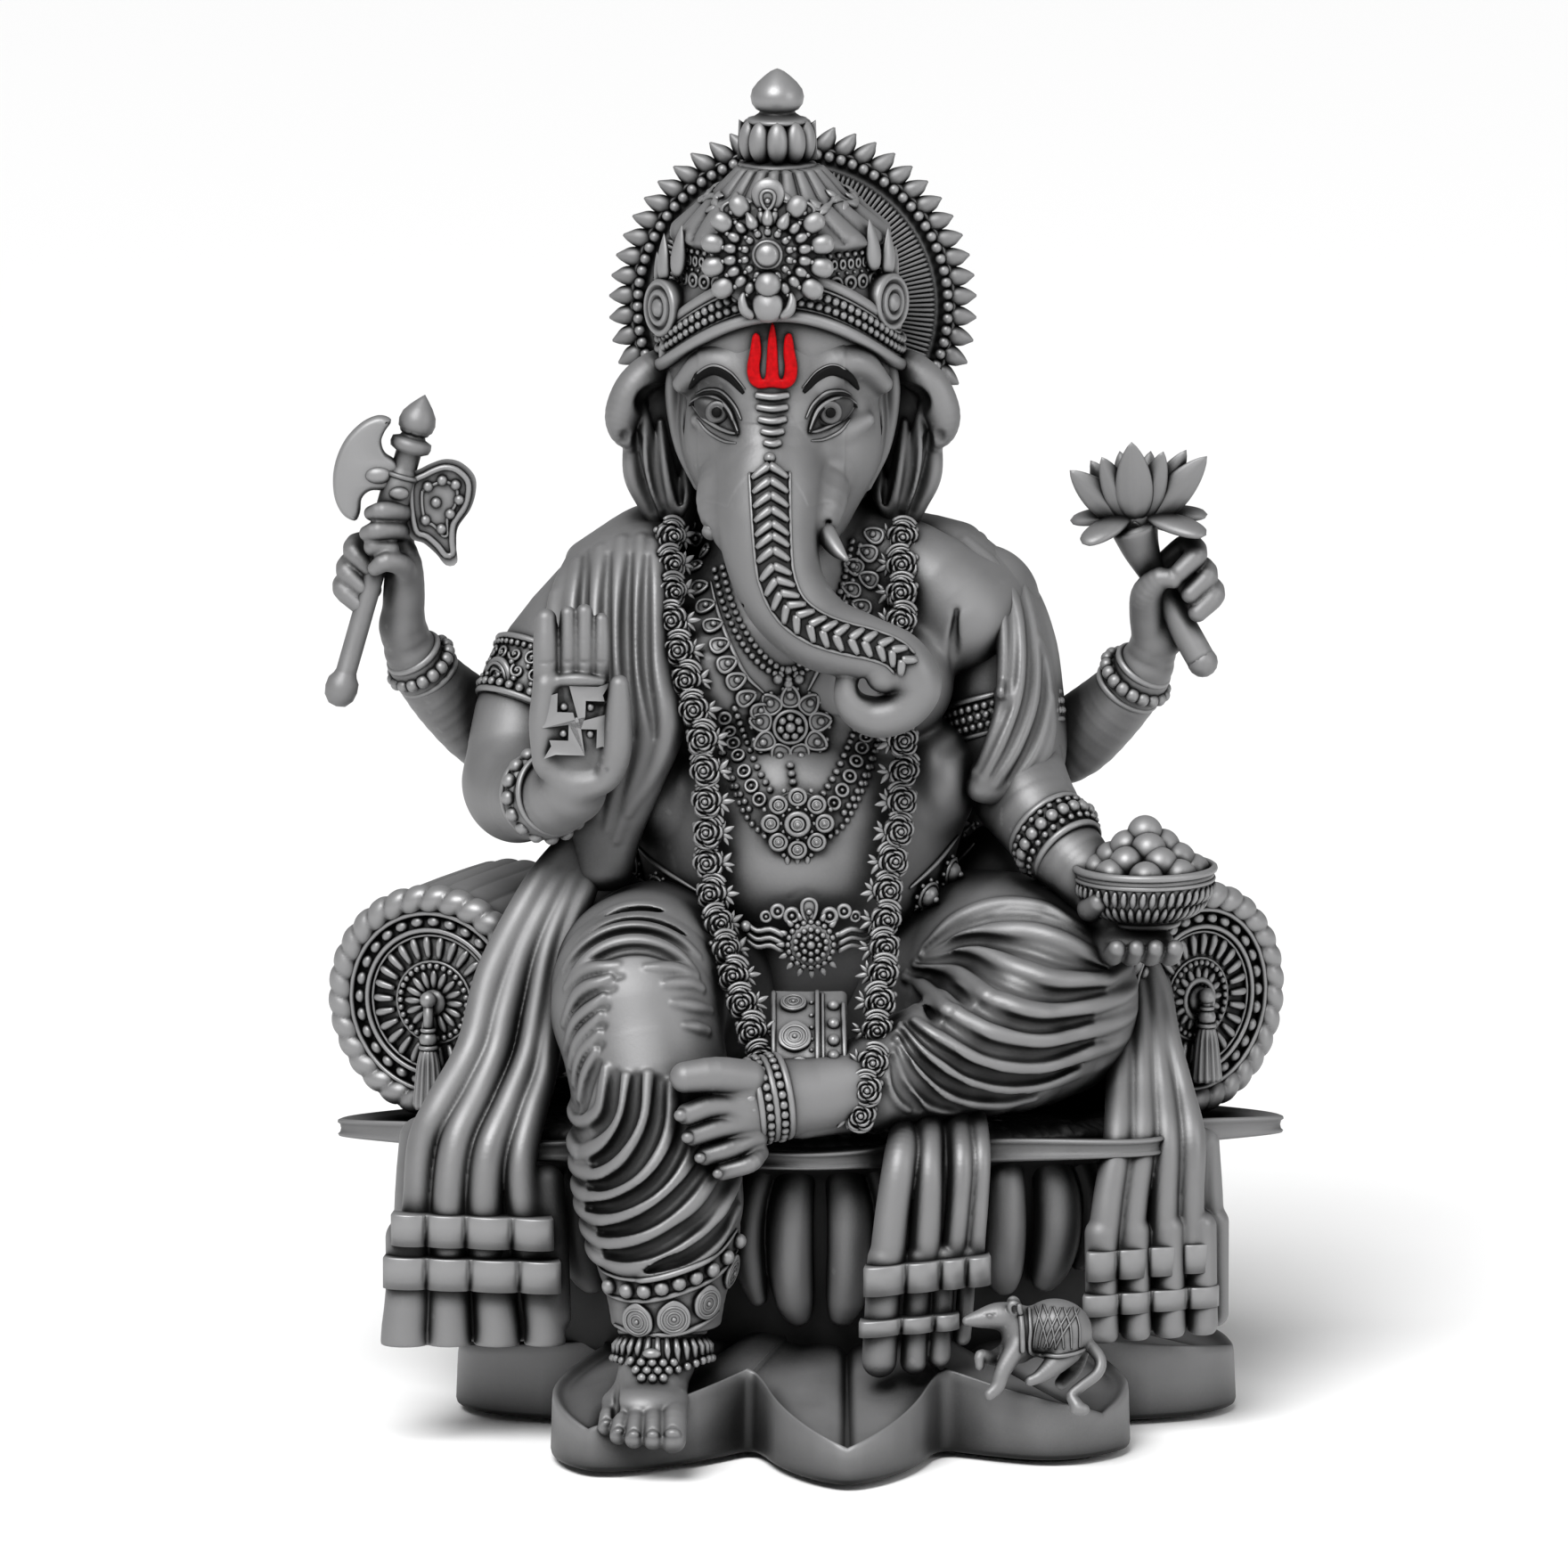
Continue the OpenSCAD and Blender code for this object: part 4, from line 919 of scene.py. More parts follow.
def crown_band():
    heap = Heap()
    a = np.linspace(-180, 180, 181)[:-1]

    def ring(rise, lift, radius, squash=1.0, sides=10):
        z = brow_line(a) + rise
        r = 26.2 + lift
        p = np.stack([CROWN[0] + r * np.sin(np.radians(a)), CROWN[1] - 0.97 * r * np.cos(np.radians(a)),
                      z], axis=1)
        way = unit(np.roll(p, -1, axis=0) - np.roll(p, 1, axis=0))
        out = np.stack([np.sin(np.radians(a)), -np.cos(np.radians(a)), 0 * a], axis=1)
        up = unit(np.cross(out, way))
        b = np.linspace(0, 2 * math.pi, sides, endpoint=False)
        rows = (p[:, None, :] + radius * squash * np.cos(b)[None, :, None] * out[:, None, :]
                + radius * np.sin(b)[None, :, None] * up[:, None, :])
        quads = grid_faces(len(a) + 1, sides) % (len(a) * sides)
        return rows.reshape(-1, 3), quads, np.zeros((0, 3), dtype=np.int64)

    heap.put(ring(0.9, 0.9, 1.5))
    heap.put(ring(2.7, 0.6, 0.45))
    heap.put(ring(5.0, -0.6, 3.4, squash=0.4))
    heap.put(ring(8.0, 0.4, 0.45))
    heap.put(ring(9.7, 0.0, 1.35, squash=0.75))
    for rise in (4.15, 6.45):
        step = 0.2
        fine = np.arange(-118, 118, step)
        z = brow_line(fine) + rise
        p = np.stack([CROWN[0] + 27.2 * np.sin(np.radians(fine)),
                      CROWN[1] - 0.97 * 27.2 * np.cos(np.radians(fine)), z], axis=1)
        run = np.concatenate([[0], np.cumsum(np.linalg.norm(np.diff(p, axis=0), axis=1))])
        for at in np.arange(1.0, run[-1], 2.12):
            q = [np.interp(at, run, p[:, k]) for k in range(3)]
            heap.put(BALL, q, size=1.02)
    make("crown_band", heap.shape(), "crown_band", RELIEF)


crown_band()


def eye_petal(length=4.6, width=3.4):
    """A leaf-shaped setting with a raised edge and a bead in it."""
    t = np.linspace(0, 2 * math.pi, 28, endpoint=False)
    x = 0.5 * width * np.sin(t) * (1 - 0.25 * np.cos(t))
    y = -0.5 * length * np.cos(t) * (1 + 0.12 * np.cos(t))
    edge = np.column_stack([x, y, 0 * t, 0 * t + 0.42])
    edge = np.vstack([edge, edge[:1]])
    return together(rope(edge, 8), (plate(np.column_stack([x, y]), 0.3, 0.1), (0, 0, -0.3)),
                    (BALL, (0, -0.1 * length, 0.1), None, 0.24 * width))


def crown_jewels():
    heap = Heap()
    out = unit([-0.06, -1.0, 0.10])
    frame_of = facing(out)
    centre = np.array([-17.6, -24.6, 266.8])

    def set_at(shape, x, y, z=0.0, turn=0.0, size=1.0):
        heap.put(shape, centre + frame_of @ np.array([x, y, z]), frame_of @ spin(turn), size)

    set_at(lathe([(0, -3.5), (12.0, -3.5), (12.2, -0.6), (10.4, 0.0), (6.6, 0.4), (6.2, 0.9), (0, 1.1)],
                 64), 0, 0)
    blunt = petal(5.4, 4.7, 3.4, point=0.45, belly=0.4, rows=12, columns=16)
    fine = petal(3.5, 2.5, 2.1, point=0.8, rows=8, columns=10)
    for k in range(10):
        a = (31 + 24 * (k // 2)) * (1 if k % 2 else -1)
        c, s = math.cos(math.radians(a + 90)), math.sin(math.radians(a + 90))
        set_at(blunt, 9.7 * c, 9.7 * s, 0.2, a)
    for k in range(20):
        a = 18 * (k + 0.5)
        c, s = math.cos(math.radians(a + 90)), math.sin(math.radians(a + 90))
        set_at(fine, 6.8 * c, 6.8 * s, 0.9, a, 1.0)
        set_at(SMALL_BALL, 10.1 * c, 10.1 * s, 1.0, 0, 0.6)
    for k in range(14):
        a = 360 / 14 * k
        c, s = math.cos(math.radians(a + 90)), math.sin(math.radians(a + 90))
        set_at(petal(2.7, 1.9, 1.6, rows=7, columns=9), 4.0 * c, 4.0 * s, 1.2, a)
        set_at(SMALL_BALL, 6.2 * c, 6.2 * s, 1.7, 0, 0.5)
    set_at(lathe([(0, 0.8), (3.4, 0.8), (3.5, 1.8), (2.9, 2.2), (2.6, 2.0), (2.5, 2.9), (1.8, 3.4),
                  (0, 3.7)], 32), 0, 0)
    set_at(lathe([(0, 0), (2.9, 0), (2.9, 1.6), (2.2, 2.8), (0, 3.2)], 28), 0.2, -6.6, 0.6)
    set_at(lathe([(0, 0), (3.6, 0), (3.7, 1.4), (2.9, 2.8), (0, 3.3)], 28), 0.2, -11.4, 0.0)
    for s in (-1, 1):
        horn = smooth([(s * 3.0, -13.4, 1.0, 1.2), (s * 4.8, -12.4, 1.4, 1.3), (s * 5.5, -10.2, 1.4, 1.0),
                       (s * 5.2, -8.4, 1.2, 0.4)], 0.5)
        horn[:, :3] = horn[:, :3] @ frame_of.T + centre
        heap.put(rope(horn, 10))
        set_at(eye_petal(4.2, 3.0), s * 8.4, 9.6, 0.2, -s * 40)
    set_at(petal(7.8, 7.6, 2.2, point=0.5, belly=0.5), 0, 9.4, 0.4)
    set_at(eye_petal(4.2, 2.9), 0, 12.4, 1.6)
    for a in (-26, 0, 26):
        c, s = math.cos(math.radians(a + 90)), math.sin(math.radians(a + 90))
        set_at(petal(4.4, 2.9, 2.8, point=1.0), 6.2 * c, 6.2 * s, 1.6, a)
    # discs at the ears of the crown with flame leaves above them
    boss = lathe([(0, -2.5), (6.4, -2.5), (6.5, 0.6), (6.0, 1.2), (5.2, 1.2), (4.8, 0.5), (4.3, 0.5),
                  (4.0, 1.3), (3.0, 1.5), (2.6, 0.8), (2.2, 0.8), (1.9, 1.5), (0, 1.9)], 48)
    leaf = petal(11, 4.6, 2.4, point=1.0, belly=0.5, ridge=0.35, rows=16)
    for spot, out in (((-41.2, -6.4, 252.2), (-0.9, -0.55, 0.04)),
                      ((9.6, -8.4, 253.8), (0.83, -0.56, 0.04))):
        turn = facing(unit(out))
        side = 1 if spot[0] > 0 else -1
        heap.put(boss, spot, turn)
        at = np.array(spot)
        heap.put(leaf, at + turn @ np.array([0.4 * side, 5.6, -0.6]), turn @ spin(-side * 4))
        heap.put(leaf, at + turn @ np.array([-3.4 * side, 7.2, -1.4]), turn @ spin(side * 8), 1.1)
        heap.put(leaf, at + turn @ np.array([3.2 * side, 3.4, -1.6]), turn @ spin(-side * 16), 0.8)
        heap.put(leaf, at + turn @ np.array([0.4 * side, -13.6, -1.4]), turn, 0.9)
    make("crown_jewels", heap.shape(), "crown_jewels", RELIEF)


crown_jewels()


def crown_spire():
    heap = Heap()
    base = middle("crown_spire") * (1.0, 1.0, 0.0)
    heap.put(lathe([(0, 281.4), (8.4, 281.6), (8.9, 282.3), (8.7, 283.2), (7.6, 283.6), (5.0, 284.0),
                    (5.6, 286.5), (6.2, 289.0), (5.4, 292.0), (4.6, 292.6), (0, 292.8)], 64), base)
    bulb = petal(9.6, 5.2, 4.6, point=0.6, belly=0.6, rows=18, columns=18)
    for k in range(10):
        a = math.radians(36 * k)
        out = np.array([math.sin(a), -math.cos(a), 0])
        heap.put(bulb, base + out * 6.6 + [0, 0, 283.6], facing(out))
    heap.put(lathe([(0, 291.8), (6.4, 292.0), (7.0, 292.7), (6.6, 293.3), (5.4, 293.6), (4.2, 294.4),
                    (3.9, 294.9), (4.8, 295.4), (5.7, 296.6), (6.0, 298.2), (5.6, 299.8), (4.4, 301.4),
                    (2.9, 302.8), (1.6, 303.8), (0.6, 304.3), (0, 304.5)], 64), base)
    handle = plate([(0, 0), (2.6, 0.6), (2.2, 9.4), (1.6, 9.0), (0, 8.0)], 1.2, 0.3)
    for s in (-1, 1):
        heap.put(handle, base + [s * 6.4, -0.6, 283.6], facing(FRONT) @ np.diag([s, 1, s]))
    make("crown_spire", heap.shape(), "crown_spire", RELIEF)


crown_spire()


def halo():
    centre = middle("halo_beads") + (0.0, 0.6, 0.0)
    face = facing(FRONT)
    disc, beads, flames = Heap(), Heap(), Heap()
    disc.put(lathe([(0, -3.0), (35.6, -3.0), (36.6, -2.4), (36.8, -0.2), (36.2, 0.5), (35.6, 0.0),
                    (33.4, -0.9), (32.8, 0.6), (31.8, 1.2), (12.0, 2.6), (0, 2.6)], 160), centre, face)
    rays = rope([(0, 16, 2.9, 0.3), (0, 24, 2.5, 0.42), (0, 31.2, 1.9, 0.55), (0, 32.2, 1.6, 0.2)], 6)
    for k in range(170):
        disc.put(rays, centre, face @ spin(360 / 170 * k))
    for k in range(80):
        a = math.radians(360 / 80 * k)
        beads.put(BALL, centre + face @ np.array([34.9 * math.cos(a), 34.9 * math.sin(a), 0.7]), size=1.25)
    fin = rope(smooth([(0, 35.4, -0.9, 1.8), (0.1, 37.0, -0.9, 2.3), (0.1, 38.6, -0.9, 2.05),
                       (0.0, 40.0, -0.9, 1.3), (0.0, 41.4, -0.9, 0.25)], 0.4), 12,
               flat=(np.array([0, 0, 1.0]), 0.85))
    for k in range(52):
        angle = 360 / 52 * (k + 0.5)
        lean = math.cos(math.radians(angle))
        points = fin[0].copy()
        far = np.clip((points[:, 1] - 36.0) / 6.6, 0, 1)
        side = math.copysign(1, math.sin(math.radians(angle)))
        points[:, 0] += side * 2.6 * far ** 1.6 * abs(lean) ** 0.7
        flames.put((points, fin[1], fin[2]), centre, face @ spin(-angle))
    make("halo_disc", disc.shape(), "halo_disc", SHADE)
    make("halo_beads", beads.shape(), "halo_beads", RELIEF)
    make("halo_flames", flames.shape(), "halo_flames", PEWTER)


halo()


# ---------------------------------------------------------------- body, arms and hands

def sculpt_torso():
    clay = Clay((-70, -38, 84), (52, 44, 216), COARSE)
    clay.blob((-11.0, 6, 137), (38, 29, 25), soft=1)
    clay.blob((-11.0, 3, 124), (34, 28, 19), soft=6)
    clay.blob((-12, 9, 170), (35, 23, 27), soft=7)
    clay.blob((-10, 14, 104), (40, 26, 22), soft=6)
    clay.blob((-12, 21, 158), (35, 16, 36), soft=6)
    clay.blob((6, -4, 167), (18, 14, 15), soft=4)
    clay.blob((-31, -4, 167), (18, 14, 15), soft=4)
    clay.blob((27, 12, 181), (16, 15, 15), soft=4)
    clay.blob((-47, 12, 181), (16, 15, 14), soft=4)
    clay.blob((-42, 2, 142), (11, 17, 12), soft=3)
    clay.blob((-47, 17, 115), (14, 12, 16), soft=5)
    clay.blob((35, 18, 117), (14, 11, 14), soft=5)
    clay.blob((20, 2, 145), (10, 17, 13), soft=3)
    clay.stroke([(-14, 8, 186, 16), (-14, 6, 206, 14)], soft=7)
    clay.blob((-14.3, 15, 202), (23.5, 9, 12), soft=4)
    clay.stroke([(-6, 7, 201, 8), (8, 6, 194, 10.6), (19, 4, 188, 11.4), (26, 2, 181, 11)], soft=5)
    for line in ([(-52, 0, 150, 0.6), (-44, -13, 151, 1.2), (-36, -20, 153.5, 0.8)],
                 [(30, 0, 154, 0.6), (23, -13, 154, 1.2), (16, -20, 156, 0.8)],
                 [(-46, -12, 156, 0.5), (-41, -17, 158, 1.0), (-35, -20, 158.5, 0.5)]):
        clay.stroke(line, soft=2.2, cut=True)
    clay.stroke([(24.6, -8, 184, 0.3), (24.0, -8, 177, 0.8), (24.6, -7, 170, 0.3)], soft=1.4, cut=True)
    clay.stroke([(-12.6, -25.5, 121.6, 0.5), (-9.6, -26.5, 123.4, 0.9), (-6.4, -25.5, 121.6, 0.5)], soft=1,
                cut=True)
    # spine
    clay.stroke([(-12, 43, 190, 0.8), (-12, 42, 160, 1.6), (-12, 42, 120, 1.0)], soft=5, cut=True)
    return clay


TORSO = sculpt_torso()
make("torso", TORSO.mesh(), "torso", PEWTER)


def sculpt_front_right_arm():
    clay = Clay((-90, -52, 126), (-40, 28, 200), MEDIUM)
    clay.stroke([(-56, 12, 181, 12.5), (-66, 8, 171, 11.6), (-73, 3, 158, 10.6), (-74.4, -4, 145, 11.4)],
                soft=3)
    clay.blob((-74.2, -4, 143.4), (11.0, 12, 12.2), soft=3)
    clay.stroke([(-73, -10, 143, 10.5), (-67, -24, 144, 9.0), (-61.5, -31, 147.5, 8.0)], soft=4)
    # palm, heel of the hand and the pad of the thumb
    clay.blob((-59.6, -35.4, 160.5), (9.4, 4.2, 12.0), soft=2.5)
    clay.stroke([(-67.2, -37, 155, 2.8), (-67.8, -37.6, 164, 2.9), (-67.0, -37.4, 172, 2.7)], soft=2.2)
    clay.stroke([(-66, -36.6, 153, 2.6), (-60.5, -36.8, 149.4, 3.4), (-54, -37.4, 151, 3.2),
                 (-51.4, -38.6, 157, 3.4), (-50.8, -39.4, 166, 2.9), (-50.6, -39.8, 172.6, 2.2)], soft=2)
    clay.stroke([(-66, -37.6, 173, 1.2), (-60, -38.8, 173.6, 1.5), (-54.4, -38.6, 173, 1.0)], soft=1.5)
    for x0, x1, top, r in ((-66.8, -66.9, 186.6, 2.8), (-62.0, -62.0, 187.8, 2.05),
                           (-58.4, -58.3, 188.2, 2.15), (-54.8, -54.6, 186.4, 1.9)):
        clay.stroke([(x0, -36.4, 170, r), (x1, -36.2, 180, r * 1.02), (x1, -35.4, top, r * 0.86)], soft=0.9)
        for z in (182.6, 177.6):
            clay.stroke([(x1 - r, -38.4, z, 0.25), (x1, -36.4 - r * 1.05, z - 0.2, 0.34),
                         (x1 + r, -38.4, z, 0.25)], soft=0.5, cut=True)
    clay.stroke([(-66.8, -40.0, 153.4, 0.2), (-59, -41.4, 150.6, 0.5), (-53.4, -41.2, 153.6, 0.3)],
                soft=0.8, cut=True)
    return clay


ARM_FR = sculpt_front_right_arm()
make("arm_front_right", ARM_FR.mesh(), "arm_front_right", PEWTER)


def palm_emblem():
    """The raised auspicious sign on the palm, with flared arm ends and four dots."""
    quarter = [(1.3, 1.3), (1.3, 5.0), (5.3, 5.0), (5.0, 5.9), (6.2, 7.9), (4.6, 7.2), (-1.3, 7.2)]
    outline = []
    for k in range(4):
        c, s = round(math.cos(math.radians(-90 * k))), round(math.sin(math.radians(-90 * k)))
        outline += [(x * c - y * s, x * s + y * c) for x, y in quarter]
    heap = Heap()
    out = unit([0.02, -1.0, 0.10])
    turn = facing(out)
    centre = np.array([-60.0, -38.0, 164.3])
    heap.put(plate(outline[::-1], 3.4, 0.5), centre - out * 1.2, turn @ spin(-2))
    for x in (-2.95, 2.95):
        for y in (-2.95, 2.95):
            heap.put(BALL, centre + turn @ np.array([x, y, 0.9]), size=1.05)
    make("palm_emblem", heap.shape(), "palm_emblem", RELIEF)


palm_emblem()


def sculpt_front_left_arm():
    clay = Clay((18, -46, 98), (88, 32, 200), MEDIUM)
    clay.stroke([(30, 13, 182, 13.6), (33, 11, 172, 13.0), (35, 7, 159, 12.4), (37, 3, 146, 12.0),
                 (42, -5, 138, 10.4), (48, -12, 131, 9.0), (53, -17, 126.5, 7.6)], soft=3)
    clay.stroke([(54, -18, 125, 6.0), (58, -21, 118.5, 5.6), (62, -23, 113.6, 4.6)], soft=3)
    clay.blob((64, -23, 112), (9, 8, 3.6), soft=2.5)
    for k in range(4):
        x = 58.6 + 4.3 * k
        clay.stroke([(x - 2, -24, 111.6, 2.5), (x + 0.4, -31, 109.8, 2.35), (x + 1.6, -35.4, 112.2, 2.0)],
                    soft=0.8)
    clay.stroke([(56, -20, 120, 3.2), (54.2, -27, 119.6, 2.8), (56, -32, 122, 2.2)], soft=1.2)
    return clay


ARM_FL = sculpt_front_left_arm()
make("arm_front_left", ARM_FL.mesh(), "arm_front_left", PEWTER)


def sculpt_rear_arms():
    right = Clay((-118, -18, 140), (-50, 32, 216), MEDIUM)
    right.stroke([(-54, 19, 158, 11.5), (-66, 19, 151.6, 11), (-78, 18, 151.4, 9.8), (-88, 14.5, 159, 8.4),
                  (-96.4, 8.5, 169.6, 6.6), (-99.8, 4, 178.6, 4.6)], soft=3)
    right.stroke([(-99.6, 4, 178, 4.6), (-99.2, 1.5, 186, 4.7), (-99.2, -0.5, 193, 4.2),
                  (-100.4, -1, 198, 3.4)], soft=2.5)
    right.stroke([(-98.8, -1.5, 190, 3.0), (-99.4, -6, 193.8, 2.5), (-102.8, -8.6, 195.2, 2.3),
                  (-105.4, -8.4, 193.6, 1.7)], soft=1.2)
    right.stroke([(-99, 0, 200, 2.5), (-100.4, -5.4, 201.8, 2.2), (-104.6, -8.0, 202.2, 2.2),
                  (-107.2, -6.4, 201.2, 1.8)], soft=0.8)
    right.stroke([(-98.4, 0, 204, 2.4), (-99.6, -5.2, 206, 2.2), (-103.6, -8.0, 206.6, 2.1),
                  (-106.2, -6.4, 205.8, 1.7)], soft=0.8)
    right.stroke([(-102.4, -6.4, 197.6, 2.4), (-105.6, -6.4, 198.2, 2.4)], soft=0.8)
    for x, z in ((-110.0, 196.2), (-111.6, 191.8), (-112.4, 187.8)):
        right.stroke([(x + 6, 4, z - 1, 2.2), (x + 1.2, 1.4, z + 1.6, 2.5), (x - 0.2, -2.6, z + 0.2, 2.5),
                      (x + 3.2, -4.6, z - 3.0, 2.1)], soft=0.7)
    make("arm_rear_right", right.mesh(), "arm_rear_right", PEWTER)
    left = Clay((20, -18, 138), (92, 34, 208), MEDIUM)
    left.stroke([(26, 19, 158, 11.5), (38, 20, 150.6, 11), (49, 19, 149.6, 9.6), (58, 15.5, 156.6, 8.4),
                 (66, 10, 166.4, 6.8), (69.6, 6, 174.6, 4.8)], soft=3)
    left.stroke([(69.0, 5.4, 175, 4.8), (67.6, 2, 182, 4.2), (67.4, -1.4, 187.0, 3.5),
                 (70.2, -4, 190.6, 2.6), (73.2, -5, 190.4, 1.9)], soft=2)
    left.stroke([(72.5, 4, 176, 3.6), (75, 4, 184, 3.2), (75, 3, 190, 3.0)], soft=2)
    for x, z in ((77.6, 195.6), (80.0, 190.6), (81.6, 186.4)):
        left.stroke([(x - 7, 4, z - 3, 2.2), (x - 1.4, 1.8, z + 1.6, 2.6), (x + 0.6, -2.4, z + 0.2, 2.6),
                     (x - 3.0, -4.6, z - 3.4, 2.2)], soft=0.7)
    make("arm_rear_left", left.mesh(), "arm_rear_left", PEWTER)


sculpt_rear_arms()


# ---------------------------------------------------------------- shawls

def cloth_sheet(clay, rows, strips, radius):
    """Covers a net of points, three to a row, with strokes that run down it side by side."""
    for across in np.linspace(0, 2, strips):
        left = int(min(across, 1))
        line = []
        for row in rows:
            a, b = np.array(row[left]), np.array(row[left + 1])
            line.append(list(a + (b - a) * (across - left)) + [radius])
        clay.stroke(line, soft=3)


def front_line(clay, line, gap):
    """Where a line of (x, z) points meets the front of the clay, with the skin's normals."""
    points = spaced([(x, z, 0) for x, z in line], gap)
    p, n, met = clay.front(points[:, 0], points[:, 1])
    return p[met], n[met]


def sculpt_shawl_right():
    clay = Clay((-78, -34, 112), (-16, 48, 208), COARSE)
    rows = [[(-60, 30, 118), (-42, 37, 118), (-24, 38, 118)],
            [(-60, 32, 150), (-42, 38, 150), (-24, 39, 150)],
            [(-62, 27, 176), (-42, 34, 178), (-22, 34, 178)],
            [(-60, 20, 190), (-44, 24, 198), (-30, 26, 200)],
            [(-60, 8, 191.5), (-51, 8, 197.5), (-42, 7, 199.5)],
            [(-63, -2, 186), (-53, -5, 189), (-42.6, -7, 190)],
            [(-64, -7, 174), (-53, -13, 174), (-42, -14, 174)],
            [(-63, -10, 160), (-52, -17, 160), (-39.5, -18.5, 160)],
            [(-60, -10, 148), (-53, -16, 148), (-44, -18, 148)],
            [(-60, -8, 136), (-55, -13, 136), (-49, -14, 136)],
            [(-60, -8, 126), (-56, -12, 126), (-52, -13, 126)]]
    cloth_sheet(clay, rows, 9, 3.4)
    ridges = [[(-66.0, 187), (-67, 180), (-66.5, 172), (-64, 160)],
              [(-60.5, 194), (-61.6, 184), (-61, 172), (-59, 158)],
              [(-55.4, 197), (-56.4, 186), (-56, 172), (-54.6, 156), (-56, 138)],
              [(-50.4, 199), (-51.6, 188), (-51.2, 174), (-49.8, 158), (-53.6, 136)],
              [(-46.0, 199.6), (-47.0, 188), (-46.8, 174), (-45, 160), (-48.6, 144), (-52, 132)],
              [(-42.4, 199), (-42.8, 188), (-42.6, 174), (-40.2, 162), (-42.2, 152), (-48.6, 140)]]
    for k, line in enumerate(ridges):
        p, n = front_line(clay, line, 1.6)
        if len(p) > 3:
            s = np.linspace(0, 1, len(p))
            r = (2.9 if k % 2 else 2.4) * np.clip(np.sin(math.pi * (0.12 + 0.84 * s)), 0, 1) ** 0.5
            clay.stroke(np.column_stack([p - n * 0.7 * r[:, None], r])[::2], soft=0.9)
    for x0, x1, x2 in ((-58.3, -59.0, -57.0), (-53.2, -53.8, -52.2), (-48.4, -49.2, -47.6),
                       (-44.6, -45.0, -42.8)):
        p, n = front_line(clay, [(x0, 196), (x1, 184), (x1 + 0.2, 172), (x2, 158)], 1.6)
        if len(p) > 3:
            s = np.linspace(0, 1, len(p))
            r = 1.5 * np.clip(np.sin(math.pi * s), 0.05, 1) ** 0.5
            clay.stroke(np.column_stack([p + n * 0.3, r])[::2], soft=1.2, cut=True)
    # folds down the back
    for x in np.linspace(-57, -27, 6):
        line = [(x, z) for z in (196, 180, 160, 140, 122)]
        start = np.array([[x + 1.5 * math.sin(z / 14), 60, z] for x, z in line])
        p, n, met = clay.hit(start, np.tile([0, -1.0, 0], (len(start), 1)))
        if met.sum() > 2:
            clay.stroke(np.column_stack([p[met] - n[met], np.full(met.sum(), 2.2)]), soft=1.4)
    return clay


SHAWL_R = sculpt_shawl_right()
make("shawl_right", SHAWL_R.mesh(), "shawl_right", PEWTER)


def sculpt_shawl_left():
    clay = Clay((-26, -30, 110), (64, 48, 206), COARSE)
    rows = [[(-22, 38, 118), (8, 39, 118), (34, 34, 120)], [(-22, 39, 150), (10, 38, 150), (38, 31, 150)],
            [(-22, 34, 178), (10, 32, 178), (38, 26, 178)], [(-22, 27, 197), (8, 25, 197), (29, 22, 194)],
            [(20.5, 9, 196.4), (24, 14, 196.0), (28, 18, 194)],
            [(32.0, 2, 185.6), (36.4, 8, 186.0), (38.6, 15, 185)],
            [(36.4, -4, 175), (42.2, 4, 174.6), (43.6, 15, 174)],
            [(36.2, -7.6, 163), (43.6, 1, 162), (45.6, 13, 162)],
            [(33.0, -10.0, 152), (42.8, -3, 151), (46.6, 10, 152)],
            [(29.4, -10.6, 144.4), (39, -6.0, 142.6), (45.6, 6, 144)]]
    cloth_sheet(clay, rows, 11, 2.8)
    folds = [[(24.6, 197), (30.8, 192), (34.6, 184), (35.0, 175), (33.6, 165), (30.6, 155), (28.2, 148)],
             [(27, 198), (34, 192), (38, 184), (39.2, 175), (38.2, 165), (34.4, 155), (30.4, 147)],
             [(30, 198), (37.6, 191.6), (41.4, 182), (42.8, 172), (42.0, 162), (38.4, 153), (33.6, 145.6)],
             [(43.6, 176), (45.4, 168), (45.2, 160), (42.6, 152), (37.6, 144.6)],
             [(46.4, 163), (46.4, 156), (44.4, 150), (40.4, 144.6)]]
    for k, line in enumerate(folds):
        p, n = front_line(clay, line, 1.5)
        if len(p) > 3:
            s = np.linspace(0, 1, len(p))
            r = (2.0, 2.5, 2.5, 2.2, 2.0)[k] * np.clip(np.sin(math.pi * (0.08 + 0.84 * s)), 0, 1) ** 0.45
            clay.stroke(np.column_stack([p - n * 0.75 * r[:, None], r])[::2], soft=0.9)
    valleys = [[(31, 193.6), (36.4, 185), (37.3, 175), (36.0, 164), (32.6, 155), (29.2, 147)],
               [(38.4, 190), (40.6, 182), (41.2, 172), (40.2, 163), (36.6, 153.6), (32, 146)],
               [(44.2, 172), (44.0, 162), (40.6, 152.6), (35.6, 145)]]
    for line in valleys:
        p, n = front_line(clay, line, 1.5)
        if len(p) > 3:
            s = np.linspace(0, 1, len(p))
            clay.stroke(np.column_stack([p + n * 0.3,
                                         1.35 * np.clip(np.sin(math.pi * s), 0.05, 1) ** 0.6])[::2],
                        soft=1.1, cut=True)
    for x in np.linspace(-18, 36, 9):
        start = np.array([[x + 1.6 * math.sin(z / 13 + x), 60, z] for z in (195, 180, 160, 140, 122)])
        p, n, met = clay.hit(start, np.tile([0, -1.0, 0], (len(start), 1)))
        if met.sum() > 2:
            clay.stroke(np.column_stack([p[met] - n[met], np.full(met.sum(), 2.3)]), soft=1.4)
    return clay


SHAWL_L = sculpt_shawl_left()
make("shawl_left", SHAWL_L.mesh(), "shawl_left", PEWTER)


# ---------------------------------------------------------------- legs and feet

